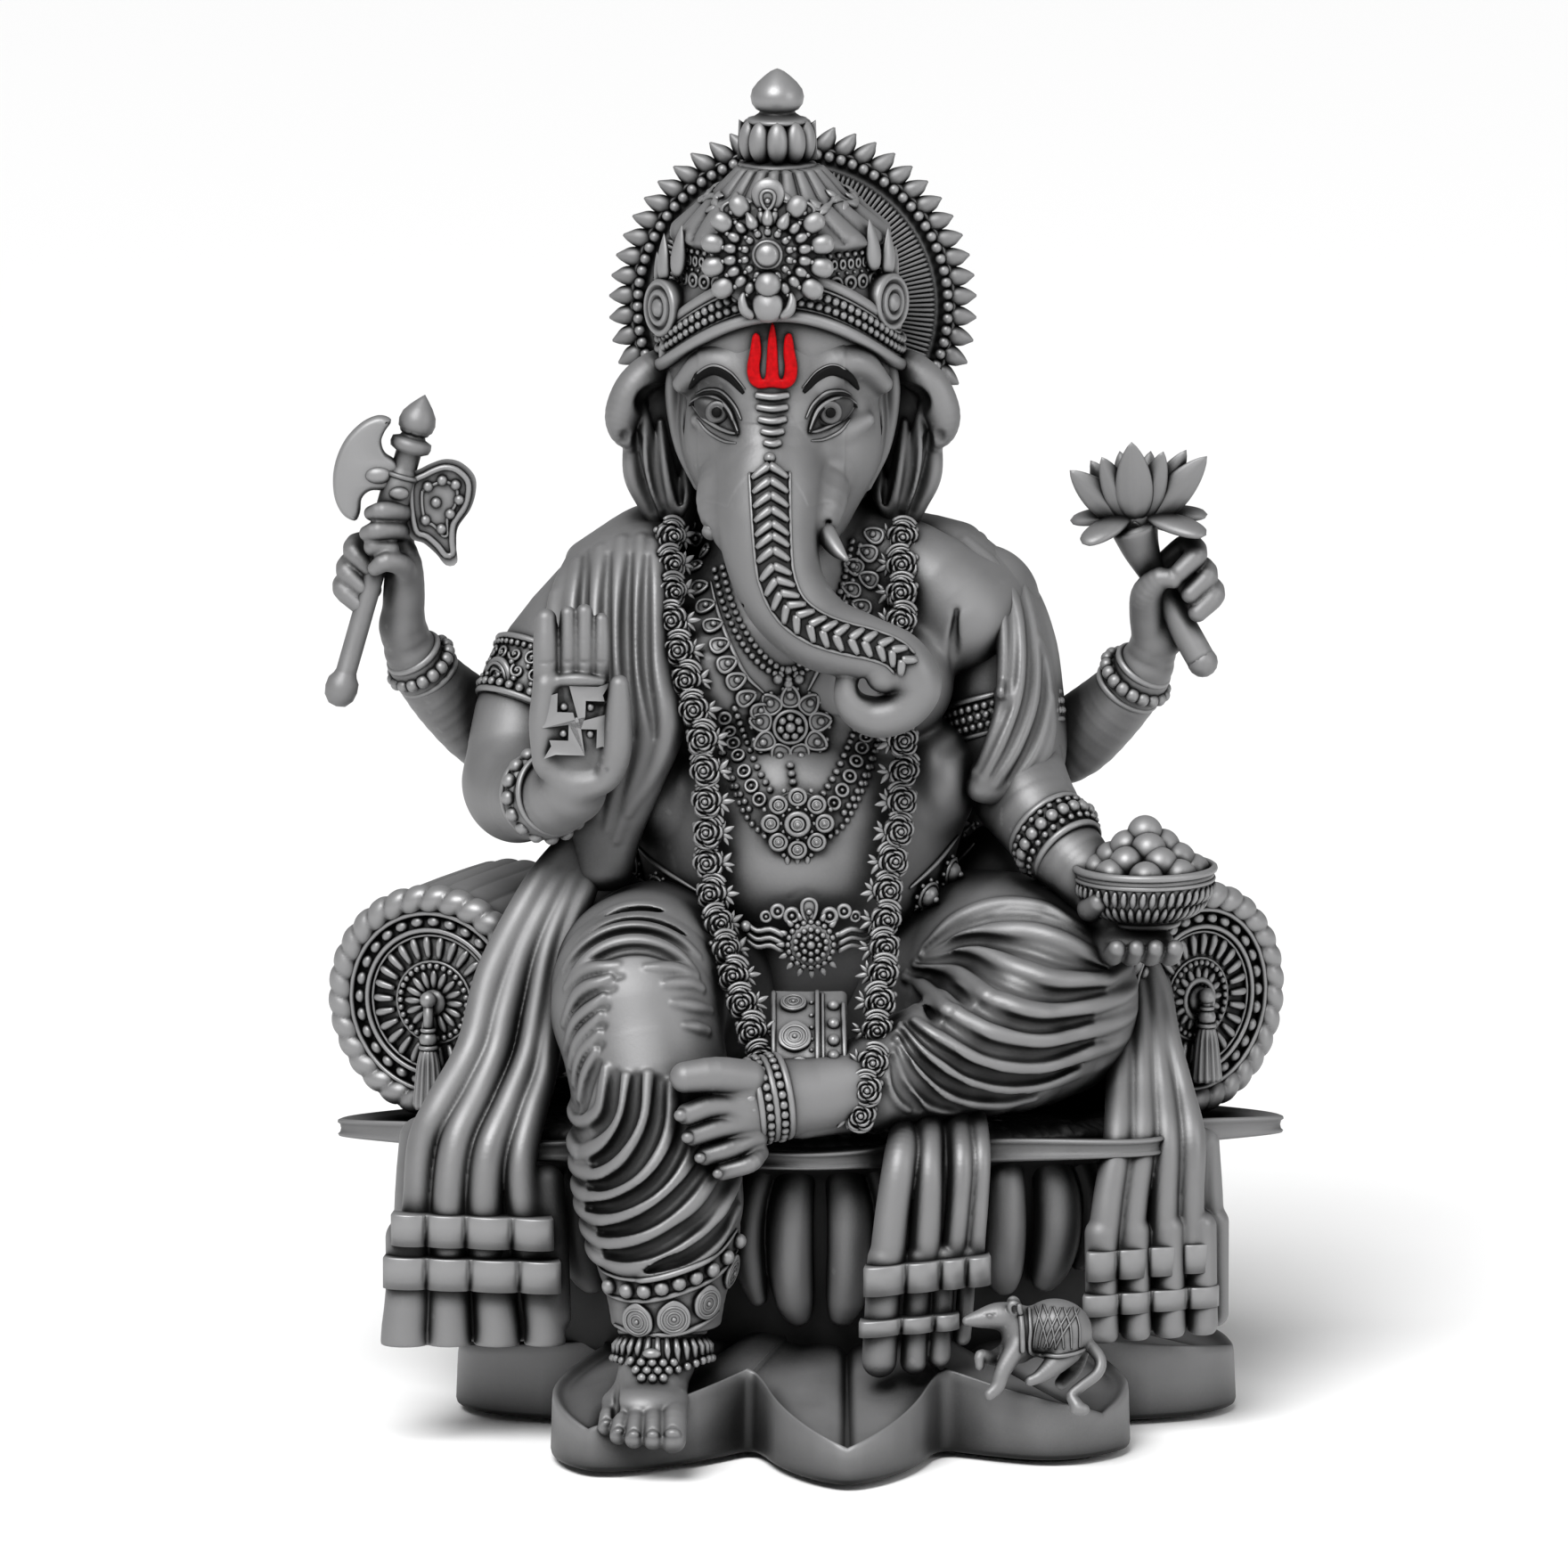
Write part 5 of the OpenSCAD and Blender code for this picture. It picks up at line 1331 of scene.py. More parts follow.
LEG_R_SWAGS = [[(-53.6, 89), (-54.6, 80), (-59.4, 76)],
               [(-49, 87.4), (-50.4, 78), (-53.8, 72.6), (-58.6, 69.4)],
               [(-44.2, 88), (-45.2, 79), (-49.6, 70.4), (-54.6, 66), (-59, 65.4)],
               [(-38.8, 86), (-40, 75), (-44.6, 66.8), (-52, 62), (-59, 60.4)],
               [(-33, 76), (-35.4, 69.6), (-41, 63), (-48, 58.4), (-54.4, 56.2), (-58.6, 56.6)],
               [(-28.4, 68), (-33.4, 61.4), (-40, 56.2), (-47, 52.6), (-53.8, 51), (-57.6, 51.8)],
               [(-24.4, 64), (-28.6, 56.6), (-35, 51.6), (-42, 48), (-48.6, 46.4), (-56, 47.2)],
               [(-24.2, 57.6), (-29.6, 50.6), (-37, 46.6), (-46, 44.2)]]


def drape_fold(clay, line, radius, sink=0.55, soft=1.0, start=0.1, stop=0.9, cut=False):
    """One rounded fold, or one valley, laid on the front of the clay through (x, z) points."""
    p, n = front_line(clay, line, 1.4)
    if len(p) < 4:
        return None
    steady = np.abs(np.gradient(p[:, 1])) < 2.2
    p, n = p[steady], n[steady]
    if len(p) < 4:
        return None
    s = np.linspace(0, 1, len(p))
    r = radius * np.clip(np.sin(math.pi * (start * 0.9 + (stop - start * 0.9) * s)), 0.02, 1) ** 0.5
    way = n * (r * 0.35)[:, None] if cut else -n * (r * sink)[:, None]
    return np.column_stack([p + way, r])[::2], soft, cut


def lay_folds(clay, folds):
    """Measures every fold on the clay first, and only then adds them, so that none rides on another."""
    for item in [f for f in folds if f is not None]:
        clay.stroke(item[0], soft=item[1], cut=item[2])


def round_the_calf(fold, z, thick):
    """Carries a fold of the right trouser leg on round the outer side of the calf."""
    if fold is None:
        return None
    line, soft, cut = fold
    y = np.interp(z, [47, 58, 71, 84], [-52, -49.5, -46, -42])
    x = np.interp(z, [47, 58, 71, 84], [-55.2, -58.2, -59.6, -60.8])
    tail = [(x, y - 6.5, z + 0.4, thick), (x - 0.9, y - 1, z + 1.8, thick),
            (x + 0.4, y + 6, z + 4.0, 0.6 * thick)]
    return np.vstack([line, tail]), soft, cut


def thigh_arc(y, lift, first, last, thick):
    """An arc over the right thigh in the upright plane at depth y, from angle first to last."""
    a = np.radians(np.linspace(first, last, 13))
    r = np.interp(y, [-34, -22], [18.6, 21.5]) if y > -34 else math.sqrt(18.6 ** 2 - (y + 34) ** 2)
    x = np.interp(y, [-34, -22], [-47, -44.5])
    z = np.interp(y, [-34, -22], [99.5, 101.5])
    taper = thick * np.sin(math.pi * np.linspace(0.06, 0.94, 13)) ** 0.5
    return np.column_stack([x + (r + lift) * np.cos(a), y + 0 * a, z + (r + lift) * np.sin(a), taper])


def sculpt_right_leg():
    clay = Clay((-72, -76, 26), (-6, 36, 128), COARSE)
    clay.stroke([(-28, 14, 96, 22), (-38, -4, 100, 22.5), (-44.5, -22, 101.5, 21.5),
                 (-47.0, -34, 99.5, 18.6)], soft=3)
    clay.stroke([(-46.6, -36, 97, 18.4), (-44, -42, 84, 17.8), (-42.4, -46, 71, 18.2),
                 (-41.2, -49.5, 58, 18.2), (-40.4, -52, 47, 15.6), (-40.2, -53.4, 39, 13.4),
                 (-40.2, -53.8, 33, 12.4)], soft=3)
    folds = []
    for number, line in enumerate(LEG_R_SWAGS):
        radius = 2.3 if number in (0, 7) else 3.1
        fold = drape_fold(clay, line, radius, sink=0.36, soft=0.7, start=0.12, stop=0.7)
        folds.append(round_the_calf(fold, line[-1][1], 2.2 if number else 1.4) if number < 7 else fold)
    for above, below in zip(LEG_R_SWAGS[:-1], LEG_R_SWAGS[1:]):
        n = min(len(above), len(below))
        line = [((a[0] + b[0]) / 2, (a[1] + b[1]) / 2) for a, b in zip(above[:n], below[:n])]
        folds.append(drape_fold(clay, line, 1.9, soft=1.0, cut=True))
    # folds across the top of the thigh: ridges with a valley after each
    for y, first, last, thick in ((-29, 60, 118, 1.5), (-34.4, 48, 132, 1.7), (-39.4, 40, 152, 1.9),
                                  (-44.0, 34, 160, 1.9)):
        folds.append((thigh_arc(y, 0.1, first, last, thick), 0.8, False))
        folds.append((thigh_arc(y - 2.3, 0.5, first + 8, last - 8, 1.15), 1.0, True))
    for line in ([(-44.6, 110.6), (-38, 110), (-32.4, 107)], [(-40.4, 107), (-35.4, 106.8), (-31.2, 104.4)],
                 [(-38.6, 103), (-34.2, 101.8), (-30.2, 100)], [(-36, 98), (-32.8, 97), (-30, 95.4)]):
        folds.append(drape_fold(clay, line, 1.7, sink=0.35, soft=0.7))
    # fine folds that fan out from the outer side of the knee, a crease beside each
    fan = [[(-51, 111), (-58, 109.4), (-62.4, 105)], [(-52.8, 108.4), (-59.4, 104.8), (-63, 97)],
           [(-54.2, 104.4), (-60, 98.4), (-62.6, 91)], [(-54.8, 100.4), (-59.6, 94), (-61.8, 86.4)],
           [(-55.2, 96.4), (-59, 91), (-60.8, 83)], [(-56, 92.4), (-58, 87), (-59.6, 80)]]
    for line in fan:
        folds.append(drape_fold(clay, line, 1.9, sink=0.4, soft=0.8))
        folds.append(drape_fold(clay, [(x + 0.9, z - 2.2) for x, z in line], 1.2, soft=1.0, cut=True))
    lay_folds(clay, folds)
    clay.plane((0, 0, 30.6), (0, 0, -1), soft=0.8)
    return clay


LEG_R = sculpt_right_leg()
make("leg_right", LEG_R.mesh(), "leg_right", PEWTER)


def round_the_knee(fold, x, z):
    """Carries a fold of the left trouser leg on round the outer side of the knee."""
    if fold is None:
        return None
    line, soft, cut = fold
    reach = math.sqrt(21.0 ** 2 - (z - 96.5) ** 2)
    start = math.degrees(math.asin((x - 43.8) / reach))
    tail = []
    for turn, thick in ((12, 2.5), (26, 2.3), (40, 1.8), (54, 0.9)):
        a = math.radians(start + turn)
        r = reach - 0.35 * thick
        tail.append((43.8 + r * math.sin(a), -15 - r * math.cos(a), z + 0.03 * turn, thick))
    return np.vstack([line, tail]), soft, cut


def sculpt_left_leg():
    clay = Clay((-22, -66, 66), (74, 36, 132), COARSE)
    clay.stroke([(8, 12, 98, 22), (24, 4, 99, 23.5), (37, -7, 99.5, 24.4), (43.6, -14, 99, 21.4)], soft=3)
    clay.stroke([(44, -16, 94, 20), (36, -27, 91, 17.5), (24, -34, 88, 14.5), (12, -40, 85, 12),
                 (0, -46, 82.4, 9.8), (-10, -50, 80.6, 8.6)], soft=4)
    lines = [[(17.6, 109.6), (24, 116), (33, 119.6), (44, 119.4), (54, 114.6)],
             [(17.6, 108.4), (28, 113.4), (40, 115), (50, 112.4), (57, 107.6)],
             [(17, 107.4), (27, 110.6), (37, 108.0), (47, 105.0), (58, 104.6)],
             [(15.6, 105.4), (25, 105.6), (34, 101.4), (44, 98.6), (56, 99)],
             [(13.2, 102.4), (22, 100.2), (32, 95.2), (43, 92.8), (55, 93.6)],
             [(12.6, 98.6), (20.6, 94.2), (30, 88.8), (42, 86.6), (54, 88.6)],
             [(12.0, 96.4), (18.6, 90), (28, 84.4), (39, 82.2), (50, 84)],
             [(11.6, 94), (15.6, 87.4), (23, 81.2), (33, 78.6), (43, 79)],
             [(11.0, 91.6), (13.2, 85), (18.6, 79), (26, 76)], [(9.6, 88.6), (10.8, 82.6), (14.4, 77.6)]]
    folds = []
    for k, line in enumerate(lines):
        round_knee = 0 < k < 7
        radius = 3.0 if 0 < k < 8 else 2.0
        stop = 0.72 if round_knee else 0.96
        fold = drape_fold(clay, line, radius, sink=0.4, soft=0.7, start=0.1, stop=stop)
        folds.append(round_the_knee(fold, *line[-1]) if round_knee else fold)
    for above, below in zip(lines[:-1], lines[1:]):
        n = min(len(above), len(below))
        line = [((a[0] + b[0]) / 2, (a[1] + b[1]) / 2) for a, b in zip(above[:n], below[:n])]
        folds.append(drape_fold(clay, line, 1.6, soft=1.2, cut=True, start=0.05, stop=0.97))
    lay_folds(clay, folds)
    return clay


LEG_L = sculpt_left_leg()
make("leg_left", LEG_L.mesh(), "leg_left", PEWTER)


def sculpt_feet():
    clay = Clay((-62, -90, 4), (-24, -40, 42), DETAIL)
    clay.stroke([(-40.4, -54, 40, 9.6), (-41, -57, 28, 8.8), (-43, -61, 20.6, 8.0)], soft=2)
    clay.blob((-44.6, -66, 15.4), (9.4, 10, 5.4), soft=3)
    toes = ((-52.6, -69.0, 14.0, 1.9, -53.4, -75.4, 11.8), (-49.6, -71.0, 13.8, 2.05, -50.6, -79.0, 10.6),
            (-46.4, -72, 14.2, 2.15, -47.2, -81.4, 10.4), (-43.0, -72, 14.6, 2.3, -43.0, -82.0, 10.4),
            (-38.4, -70, 14.8, 3.0, -38.6, -81.4, 10.2))
    for x, y, z, r, tx, ty, tz in toes:
        clay.stroke([(x, y + 3, z + 1.6, r * 0.95), (x, y, z, r),
                     ((x + tx) / 2, (y + ty) / 2 - 0.4, (z + tz) / 2 + 0.9, r), (tx, ty, tz, r * 0.98)],
                    soft=0.9)
    for x, y, z, r, tx, ty, tz in toes:
        clay.blob((tx, ty - r * 0.6, tz + r * 0.55), (r * 0.62, r * 0.55, r * 0.42), turn=(-35, 0, 0),
                  soft=0.4)
        clay.stroke([(tx - r * 0.5, ty - r * 0.3, tz + r * 1.05, 0.22),
                     (tx, ty - r * 0.1, tz + r * 1.15, 0.24),
                     (tx + r * 0.5, ty - r * 0.3, tz + r * 1.05, 0.22)], soft=0.4, cut=True)
    for x in (-51.2, -48.0, -44.8, -41.2):
        clay.stroke([(x, -66, 20.4, 0.3), (x, -70.6, 18.0, 0.7), (x, -75, 13.8, 0.7)], soft=0.9, cut=True)
    make("foot_right", clay.mesh(), "foot_right", PEWTER)
    left = Clay((-46, -76, 62), (6, -40, 98), DETAIL)
    left.stroke([(2, -47, 83, 9.0), (-8, -51, 82, 8.6), (-17, -54, 81.6, 8.8), (-24, -56.4, 80.6, 8.4)],
                soft=2)
    left.stroke([(-22, -60, 87.4, 4.2), (-29, -63.4, 89.0, 4.0), (-35.8, -65.4, 88.8, 3.5)], soft=1.2)
    for k, (x, z, r) in enumerate(((-35.4, 80.6, 2.6), (-34.0, 75.6, 2.4), (-31.4, 71.0, 2.2),
                                   (-27.6, 67.4, 2.0))):
        left.stroke([(-21.0 + k * 0.4, -60, 81 - k * 3.4, r * 1.2), (x + 6, -64, z + 1.6, r),
                     (x, -66.0 + k * 0.4, z, r * 0.96)], soft=0.9)
        left.blob((x - r * 0.55, -66.4 - r * 0.6, z + 0.1), (r * 0.6, r * 0.5, r * 0.55), soft=0.4)
        left.stroke([(x + r * 0.5, -66.4 - r, z + r * 0.6, 0.22), (x + r * 0.4, -66.6 - r, z, 0.25),
                     (x + r * 0.5, -66.4 - r, z - r * 0.6, 0.22)], soft=0.4, cut=True)
    left.stroke([(-31.4, -69.2, 90.4, 0.3), (-31.0, -69.6, 88.6, 0.35), (-31.4, -69.2, 86.8, 0.3)],
                soft=0.5, cut=True)
    make("foot_left", left.mesh(), "foot_left", PEWTER)
    return clay


FOOT_R = sculpt_feet()


# ---------------------------------------------------------------- base, seat and mat

def star_edge(angle, front):
    """Radius of the base's lotus outline at angle degrees off the middle of a petal."""
    if front:
        return np.interp(abs(angle), [0, 2.3, 6.3, 12.0, 18.0, 22.5], [90, 88.2, 82.6, 72.6, 61.0, 57.6])
    return np.interp(abs(angle), [0, 5, 10.5, 16, 20, 22.5], [88.5, 86.5, 81, 69.5, 61.4, 58])


def base_lotus():
    """An eight-petalled slab whose petals have raised edges and a sunken middle line."""
    columns, rows = 720, 56
    a = np.linspace(0, 360, columns, endpoint=False)
    off = (a + 22.5) % 45 - 22.5
    index = ((a + 22.5) // 45).astype(int) % 8
    reach = np.array([star_edge(o, i == 6) for o, i in zip(off, index)])
    lean = 1 - np.abs(off) / 22.5
    reach = reach + 6.5 * (index == 5) * lean - 7.0 * (index == 7) * lean
    wide = np.concatenate([reach[-4:], reach, reach[:4]])
    reach = np.convolve(wide, np.ones(9) / 9, mode="valid")
    share = np.abs(off) / 22.5
    tip = np.array([14.5, 11, 12, 11, 14.5, 11, 9.8, 11])[index]
    edge = tip + (20.5 - tip) * share ** 0.9
    turned_by = 7.0 * (index == 5) * lean
    c, s = np.cos(np.radians(a + turned_by)), np.sin(np.radians(a + turned_by))
    hollow = np.where(index == 6, 3.6, 2.2)
    rings = []

    def ring(r, z):
        rings.append(np.stack([r * c, r * s, z + 0 * r], axis=1))

    ring(reach - 1.2, np.full(columns, 1.5))
    ring(reach - 0.3, np.full(columns, 1.8))
    ring(reach, np.full(columns, 2.8))
    for k in (0.3, 0.6, 0.85):
        ring(reach - 0.5 * k, 2.8 + (edge - 2.8) * k)
    ring(reach - 0.6, edge - 0.5)
    for k in range(rows):
        d = (reach - 30) * (k / (rows - 1)) ** 1.7
        sunk = hollow * (1 - np.exp(-((d / 2.2) ** 2)))
        crease = 1.1 * np.exp(-(np.radians(off) * (reach - d) / 1.2) ** 2) * np.clip(d / 6, 0, 1)
        ring(reach - 1.0 - d, edge - sunk + 0.24 * d - crease)
    make("base_lotus", capped(rings), "base_lotus", PEWTER)


base_lotus()


SEAT = middle("seat_rim")


def seat_point(a, wide, deep):
    return np.array([SEAT[0] + wide * math.cos(a), SEAT[1] + deep * math.sin(a)])


def rim_height(a):
    return 61.4 + 3.6 * np.clip(-np.sin(a), 0, 1) ** 0.7 + 0.8 * np.clip(np.cos(a), 0, 1)


def seat_body():
    """The body under the rim, hollow-sided, flaring out to each tip of the rim."""
    a = np.linspace(0, 2 * math.pi, 480, endpoint=False)
    wave = np.abs(np.cos(4 * a)) ** 3
    top = rim_height(a)
    rings = []
    for t, w, d, flare in ((0.0, 68, 35, 0), (0.06, 70, 36, 0), (0.25, 73, 38, 0), (0.5, 75.5, 39.5, 0),
                           (0.75, 77.5, 41, 0), (0.86, 79, 42, 0.03), (0.92, 81.5, 43.6, 0.14),
                           (0.965, 84, 45.6, 0.38), (1.0, 86, 47, 0.75)):
        z = 16.5 + (top + 0.6 - 16.5) * t
        rings.append(np.stack([SEAT[0] + (w + 19 * wave * flare) * np.cos(a),
                               SEAT[1] + (d + 8.5 * wave * flare) * np.sin(a), z], axis=1))
    # near-black body: painted shade in the deep gaps between the seat leaves, with patina
    make("seat_core", capped(rings), "seat_core", SHADE_RECESS)


seat_body()


def seat_rim():
    """The scalloped lip: a band with a lip line above and below, rising at the front."""
    a = np.linspace(0, 2 * math.pi, 640, endpoint=False)
    wave = np.abs(np.cos(4 * a)) ** 3
    middle_z = rim_height(a) + 2.2
    section = [(-9, -2.6), (-3.4, -2.9), (-1.2, -3.0), (-0.3, -2.6), (0.0, -1.8), (-0.5, -1.1),
               (-0.7, 0.2), (-0.5, 1.3), (0.1, 1.8), (0.0, 2.4), (-0.6, 2.7), (-1.4, 2.65), (-4.0, 2.1),
               (-9, 1.7)]
    rings = []
    for out, z in section:
        lift = 1.0 - 0.35 * wave * (1 if z < 0 else 0.5)
        w = 88 + 18.6 * wave + out
        d = 49 + 8.4 * wave + out
        rings.append(np.stack([SEAT[0] + w * np.cos(a), SEAT[1] + d * np.sin(a), middle_z + z * lift],
                              axis=1))
    points = np.array(rings).reshape(-1, 3)
    n = len(a)
    quads = grid_faces(len(section) + 1, n) % (len(section) * n)
    make("seat_rim", (points, quads, np.zeros((0, 3), dtype=np.int64)), "seat_rim", PEWTER)


seat_rim()

LEAF = [(3.3, 1.03, 2.2), (4.9, 0.88, 4.2), (6.0, 0.68, 5.2), (6.1, 0.46, 5.3), (5.8, 0.28, 5.1),
        (5.2, 0.13, 4.4), (4.6, 0.04, 3.2)]
SLIVER = [(9.4, 1.03, 1.8), (12.4, 0.88, 3.4), (14.4, 0.68, 4.0), (14.8, 0.48, 3.9), (14.0, 0.3, 3.4),
          (12.8, 0.14, 2.2)]


def seat_leaves():
    """Swollen lotus leaves set in groups of four round the body, with deep gaps between them."""
    clay = Clay((-98, -52, 20), (84, 60, 72), COARSE)
    for k in range(10):
        a0 = math.radians(271.5 + 36 * k)
        w, d = 77.5, 40.5
        speed = math.hypot(w * math.sin(a0), d * math.cos(a0))
        top = rim_height(a0) + 0.4
        low = 28.5 if k == 0 else 34.5
        for side in (-1, 1):
            for shape in (LEAF, SLIVER):
                line = []
                for s, t, r in shape:
                    a = a0 + side * s * 1.06 / speed
                    bulge = 1.0 + 2.6 * math.sin(math.pi * min(1, max(0, t)))
                    x, y = seat_point(a, w + bulge, d + bulge)
                    line.append((x, y, low + (top - low) * t, r))
                out = np.array([math.cos(a0) / w, math.sin(a0) / d, 0])
                clay.stroke(smooth(line, 1.6), soft=0.8, flat=(unit(out), 1.0))
    make("seat_petals", clay.mesh(), "seat_petals", PEWTER)


seat_leaves()


def seat_mat():
    """A thick pile mat: an oval slab whose skin is roughened with tufts."""
    rng = np.random.default_rng(11)
    columns = 520
    a = np.linspace(0, 2 * math.pi, columns, endpoint=False)
    tuft = rng.normal(0, 1, (60, columns))
    rings = []
    profile = [(0.0, 66.0), (0.84, 66.0), (0.94, 66.2), (0.985, 67.0), (1.0, 68.2), (0.99, 69.4),
               (0.965, 70.2)]
    profile += [(t, 70.6) for t in np.linspace(0.94, 0.03, 40)]
    for k, (t, z) in enumerate(profile):
        rough = tuft[k] * (0.32 if k > 1 else 0)
        w, d = 84 * max(t, 0.01) + rough, 46.4 * max(t, 0.01) + rough
        height = z + rough * 0.8 * (t > 0.1)
        rings.append(np.stack([SEAT[0] + w * np.cos(a), SEAT[1] + d * np.sin(a), height], axis=1))
    make("seat_mat", capped(rings[1:]), "seat_mat", DARK)


seat_mat()


def felt_pad():
    a = np.linspace(0, 360, 360, endpoint=False)
    off = (a + 22.5) % 45 - 22.5
    reach = np.array([star_edge(o, False) for o in off]) - 12
    c, s = np.cos(np.radians(a)), np.sin(np.radians(a))
    rings = [np.stack([(reach - cut) * c, (reach - cut) * s, np.full(360, z)], axis=1)
             for cut, z in ((60, 0.0), (0.5, 0.0), (0.1, 0.3), (0.0, 1.2), (0.3, 1.5), (60, 1.5))]
    make("felt_pad", capped(rings), "felt_pad", FELT_PAINTED_SHADOW)


felt_pad()


# ---------------------------------------------------------------- bolsters and tassels

def bolster(name, end, heading):
    """A plump drum with flutes along it; its visible end faces the front, turned by heading."""
    out = np.array([math.sin(math.radians(heading)), -math.cos(math.radians(heading)), 0.0])
    frame_of_end = facing(out)
    a = np.linspace(0, 2 * math.pi, 336, endpoint=False)
    flute = 0.45 * np.abs(np.sin(14 * a)) ** 0.7
    rings = []
    for z, r in ((-45.5, 2), (-45.8, 20), (-44.6, 24.4), (-42, 25.6), (-34, 25.8), (-20, 25.9), (-8, 25.8),
                 (-4, 25.4), (-2.4, 24.6), (-1.2, 23.0), (-0.4, 20), (0.0, 2)):
        rr = r + (flute if 21 < r else 0) - (0.4 if r > 21 else 0)
        rings.append(np.stack([rr * np.cos(a), rr * np.sin(a), np.full_like(a, z)], axis=1))
    make(name, placed(capped(rings), end, frame_of_end), name, PEWTER)
    return out, frame_of_end


def pleated_ring(radius, thick, pleats, sides=22, per=12):
    """A gathered roll of cloth: a thick ring pinched at every pleat."""
    a = np.linspace(0, 2 * math.pi, pleats * per, endpoint=False)[:, None]
    b = np.linspace(0, 2 * math.pi, sides, endpoint=False)[None, :]
    swell = np.abs(np.sin(pleats / 2 * (a + 0.05 * np.cos(b)))) ** 0.55
    tube = thick * (0.74 + 0.26 * swell)
    r = radius + tube * np.cos(b) * 1.02
    p = np.stack([r * np.cos(a), r * np.sin(a), tube * np.sin(b)], axis=-1)
    q = grid_faces(len(a) + 1, sides) % (len(a) * sides)
    return p.reshape(-1, 3), q, np.zeros((0, 3), dtype=np.int64)


def scaled(x, y, z, turn=None):
    m = np.diag([x, y, z]).astype(float)
    return m if turn is None else turn @ m


# A rosette's spoke: distance from the middle, rise and radius.
SPOKE = [(15.2, 0.0, 0.55), (13.8, 0.5, 0.95), (12, 0.5, 0.85), (10.2, 0.3, 0.6)]


def rosette(heap, end, turn, crescent):
    """The sewn end of a bolster, worked in its own plane with the third axis outwards."""
    local = Heap()
    local.put(lathe([(0.05, -2), (22, -2), (22, 0.4), (0.05, 0.4)], 96))
    local.put(pleated_ring(23.3, 3.3, 30), (0, 0, 0.0))
    local.put(hoop(20.4, 0.62, 120, 10), (0, 0, 1.5))
    local.put(hoop(16.5, 0.62, 110, 10), (0, 0, 1.3))
    local.put(hoop(15.3, 0.4, 110, 8), (0, 0, 0.9))
    for k in range(28):
        a = math.radians(360 / 28 * k)
        local.put(BALL, (18.45 * math.cos(a), 18.45 * math.sin(a), 0.9),
                  scaled(1.25, 1.6, 1.2, spin(math.degrees(a))))
    for k in range(26):
        a = math.radians(360 / 26 * k)
        c, s = math.cos(a), math.sin(a)
        line = [(r * c, r * s, 0.5 + h, w) for r, h, w in SPOKE]
        local.put(rope(smooth(line, 1.0), 8))
    local.put(hoop(9.2, 0.45, 90, 8), (0, 0, 0.7))
    for k in range(30):
        a = math.radians(12 * k)
        local.put(SMALL_BALL, (8.3 * math.cos(a), 8.3 * math.sin(a), 1.0), size=0.78)
    count = 16
    if crescent:
        local.put(hoop(4.3, 0.75, 60, 10), (0, 0, 1.3))
    for k in range(count):
        leaf = petal(4.6, 1.75, 1.5, 0.6, 0.7)
        local.put(leaf, turned(0, 0, 360 / count * k) @ np.array([0, 2.9, 0.9]),
                  turned(0, 0, 360 / count * k))
    local.put(BALL, (0, 0, 1.0), scaled(3.1, 3.1, 1.5))
    heap.put(local.shape(), end, turn)


def tassel(heap, top, ball_z, skirt_top, skirt_low):
    """A tassel hanging straight down from a knob."""
    x, y, z = top
    heap.put(BALL, top, size=1.9)
    heap.put(rope([(x, y, z, 1.1), (x, y, ball_z, 1.1)], 14))
    heap.put(hoop(1.3, 0.5, 24, 8), (x, y, ball_z + 2.1))
    heap.put(BALL, (x, y, ball_z), size=2.05)
    heap.put(hoop(1.7, 0.55, 24, 8), (x, y, skirt_top + 0.2))
    a = np.linspace(0, 2 * math.pi, 96, endpoint=False)
    rings = []
    for t in np.linspace(0, 1, 14):
        r = 1.7 + 1.7 * t ** 0.7
        rr = r + 0.24 * np.cos(12 * a) * min(1, 4 * t) - (0.35 if t == 1 else 0)
        rings.append(np.stack([x + rr * np.cos(a), y + rr * np.sin(a),
                               np.full_like(a, skirt_top + (skirt_low - skirt_top) * t)], axis=1))
    heap.put(capped(rings[::-1]))


def bolsters():
    faces, strings = Heap(), Heap()
    for name, x, y, heading, parts in (("bolster_right", -92, -2, -25, (86.0, 84.0, 70.2)),
                                       ("bolster_left", 78, 2, 42, (90.2, 88.2, 75.6))):
        end = np.array([x, y, middle(name)[2]])
        out, turn = bolster(name, end, heading)
        rosette(faces, end + out * 0.6, turn, heading > 0)
        tassel(strings, end + out * 4.6 + UP, *parts)
    make("bolster_rosettes", faces.shape(), "bolster_rosettes", RELIEF)
    make("tassels", strings.shape(), "tassels", RELIEF)


bolsters()


# ---------------------------------------------------------------- hanging drapes

def hanging(clay, tubes, back, soft=1.0):
    """Rounded pleats along (x, y, z, r) lines, joined by a thinner sheet set behind them."""
    rows = [spaced(t, 2.5) for t in tubes]
    for left, right in zip(rows[:-1], rows[1:]):
        n = min(len(left), len(right))
        pick_l = left[np.linspace(0, len(left) - 1, n).astype(int)]
        pick_r = right[np.linspace(0, len(right) - 1, n).astype(int)]
        for share in (0.0, 0.34, 0.67, 1.0):
            middle_line = pick_l * (1 - share) + pick_r * share
            middle_line[:, 1] += back + 1.8
            middle_line[:, 3] = 2.2
            clay.stroke(middle_line, soft=1.5)
    for row in rows:
        clay.stroke(row, soft=soft)


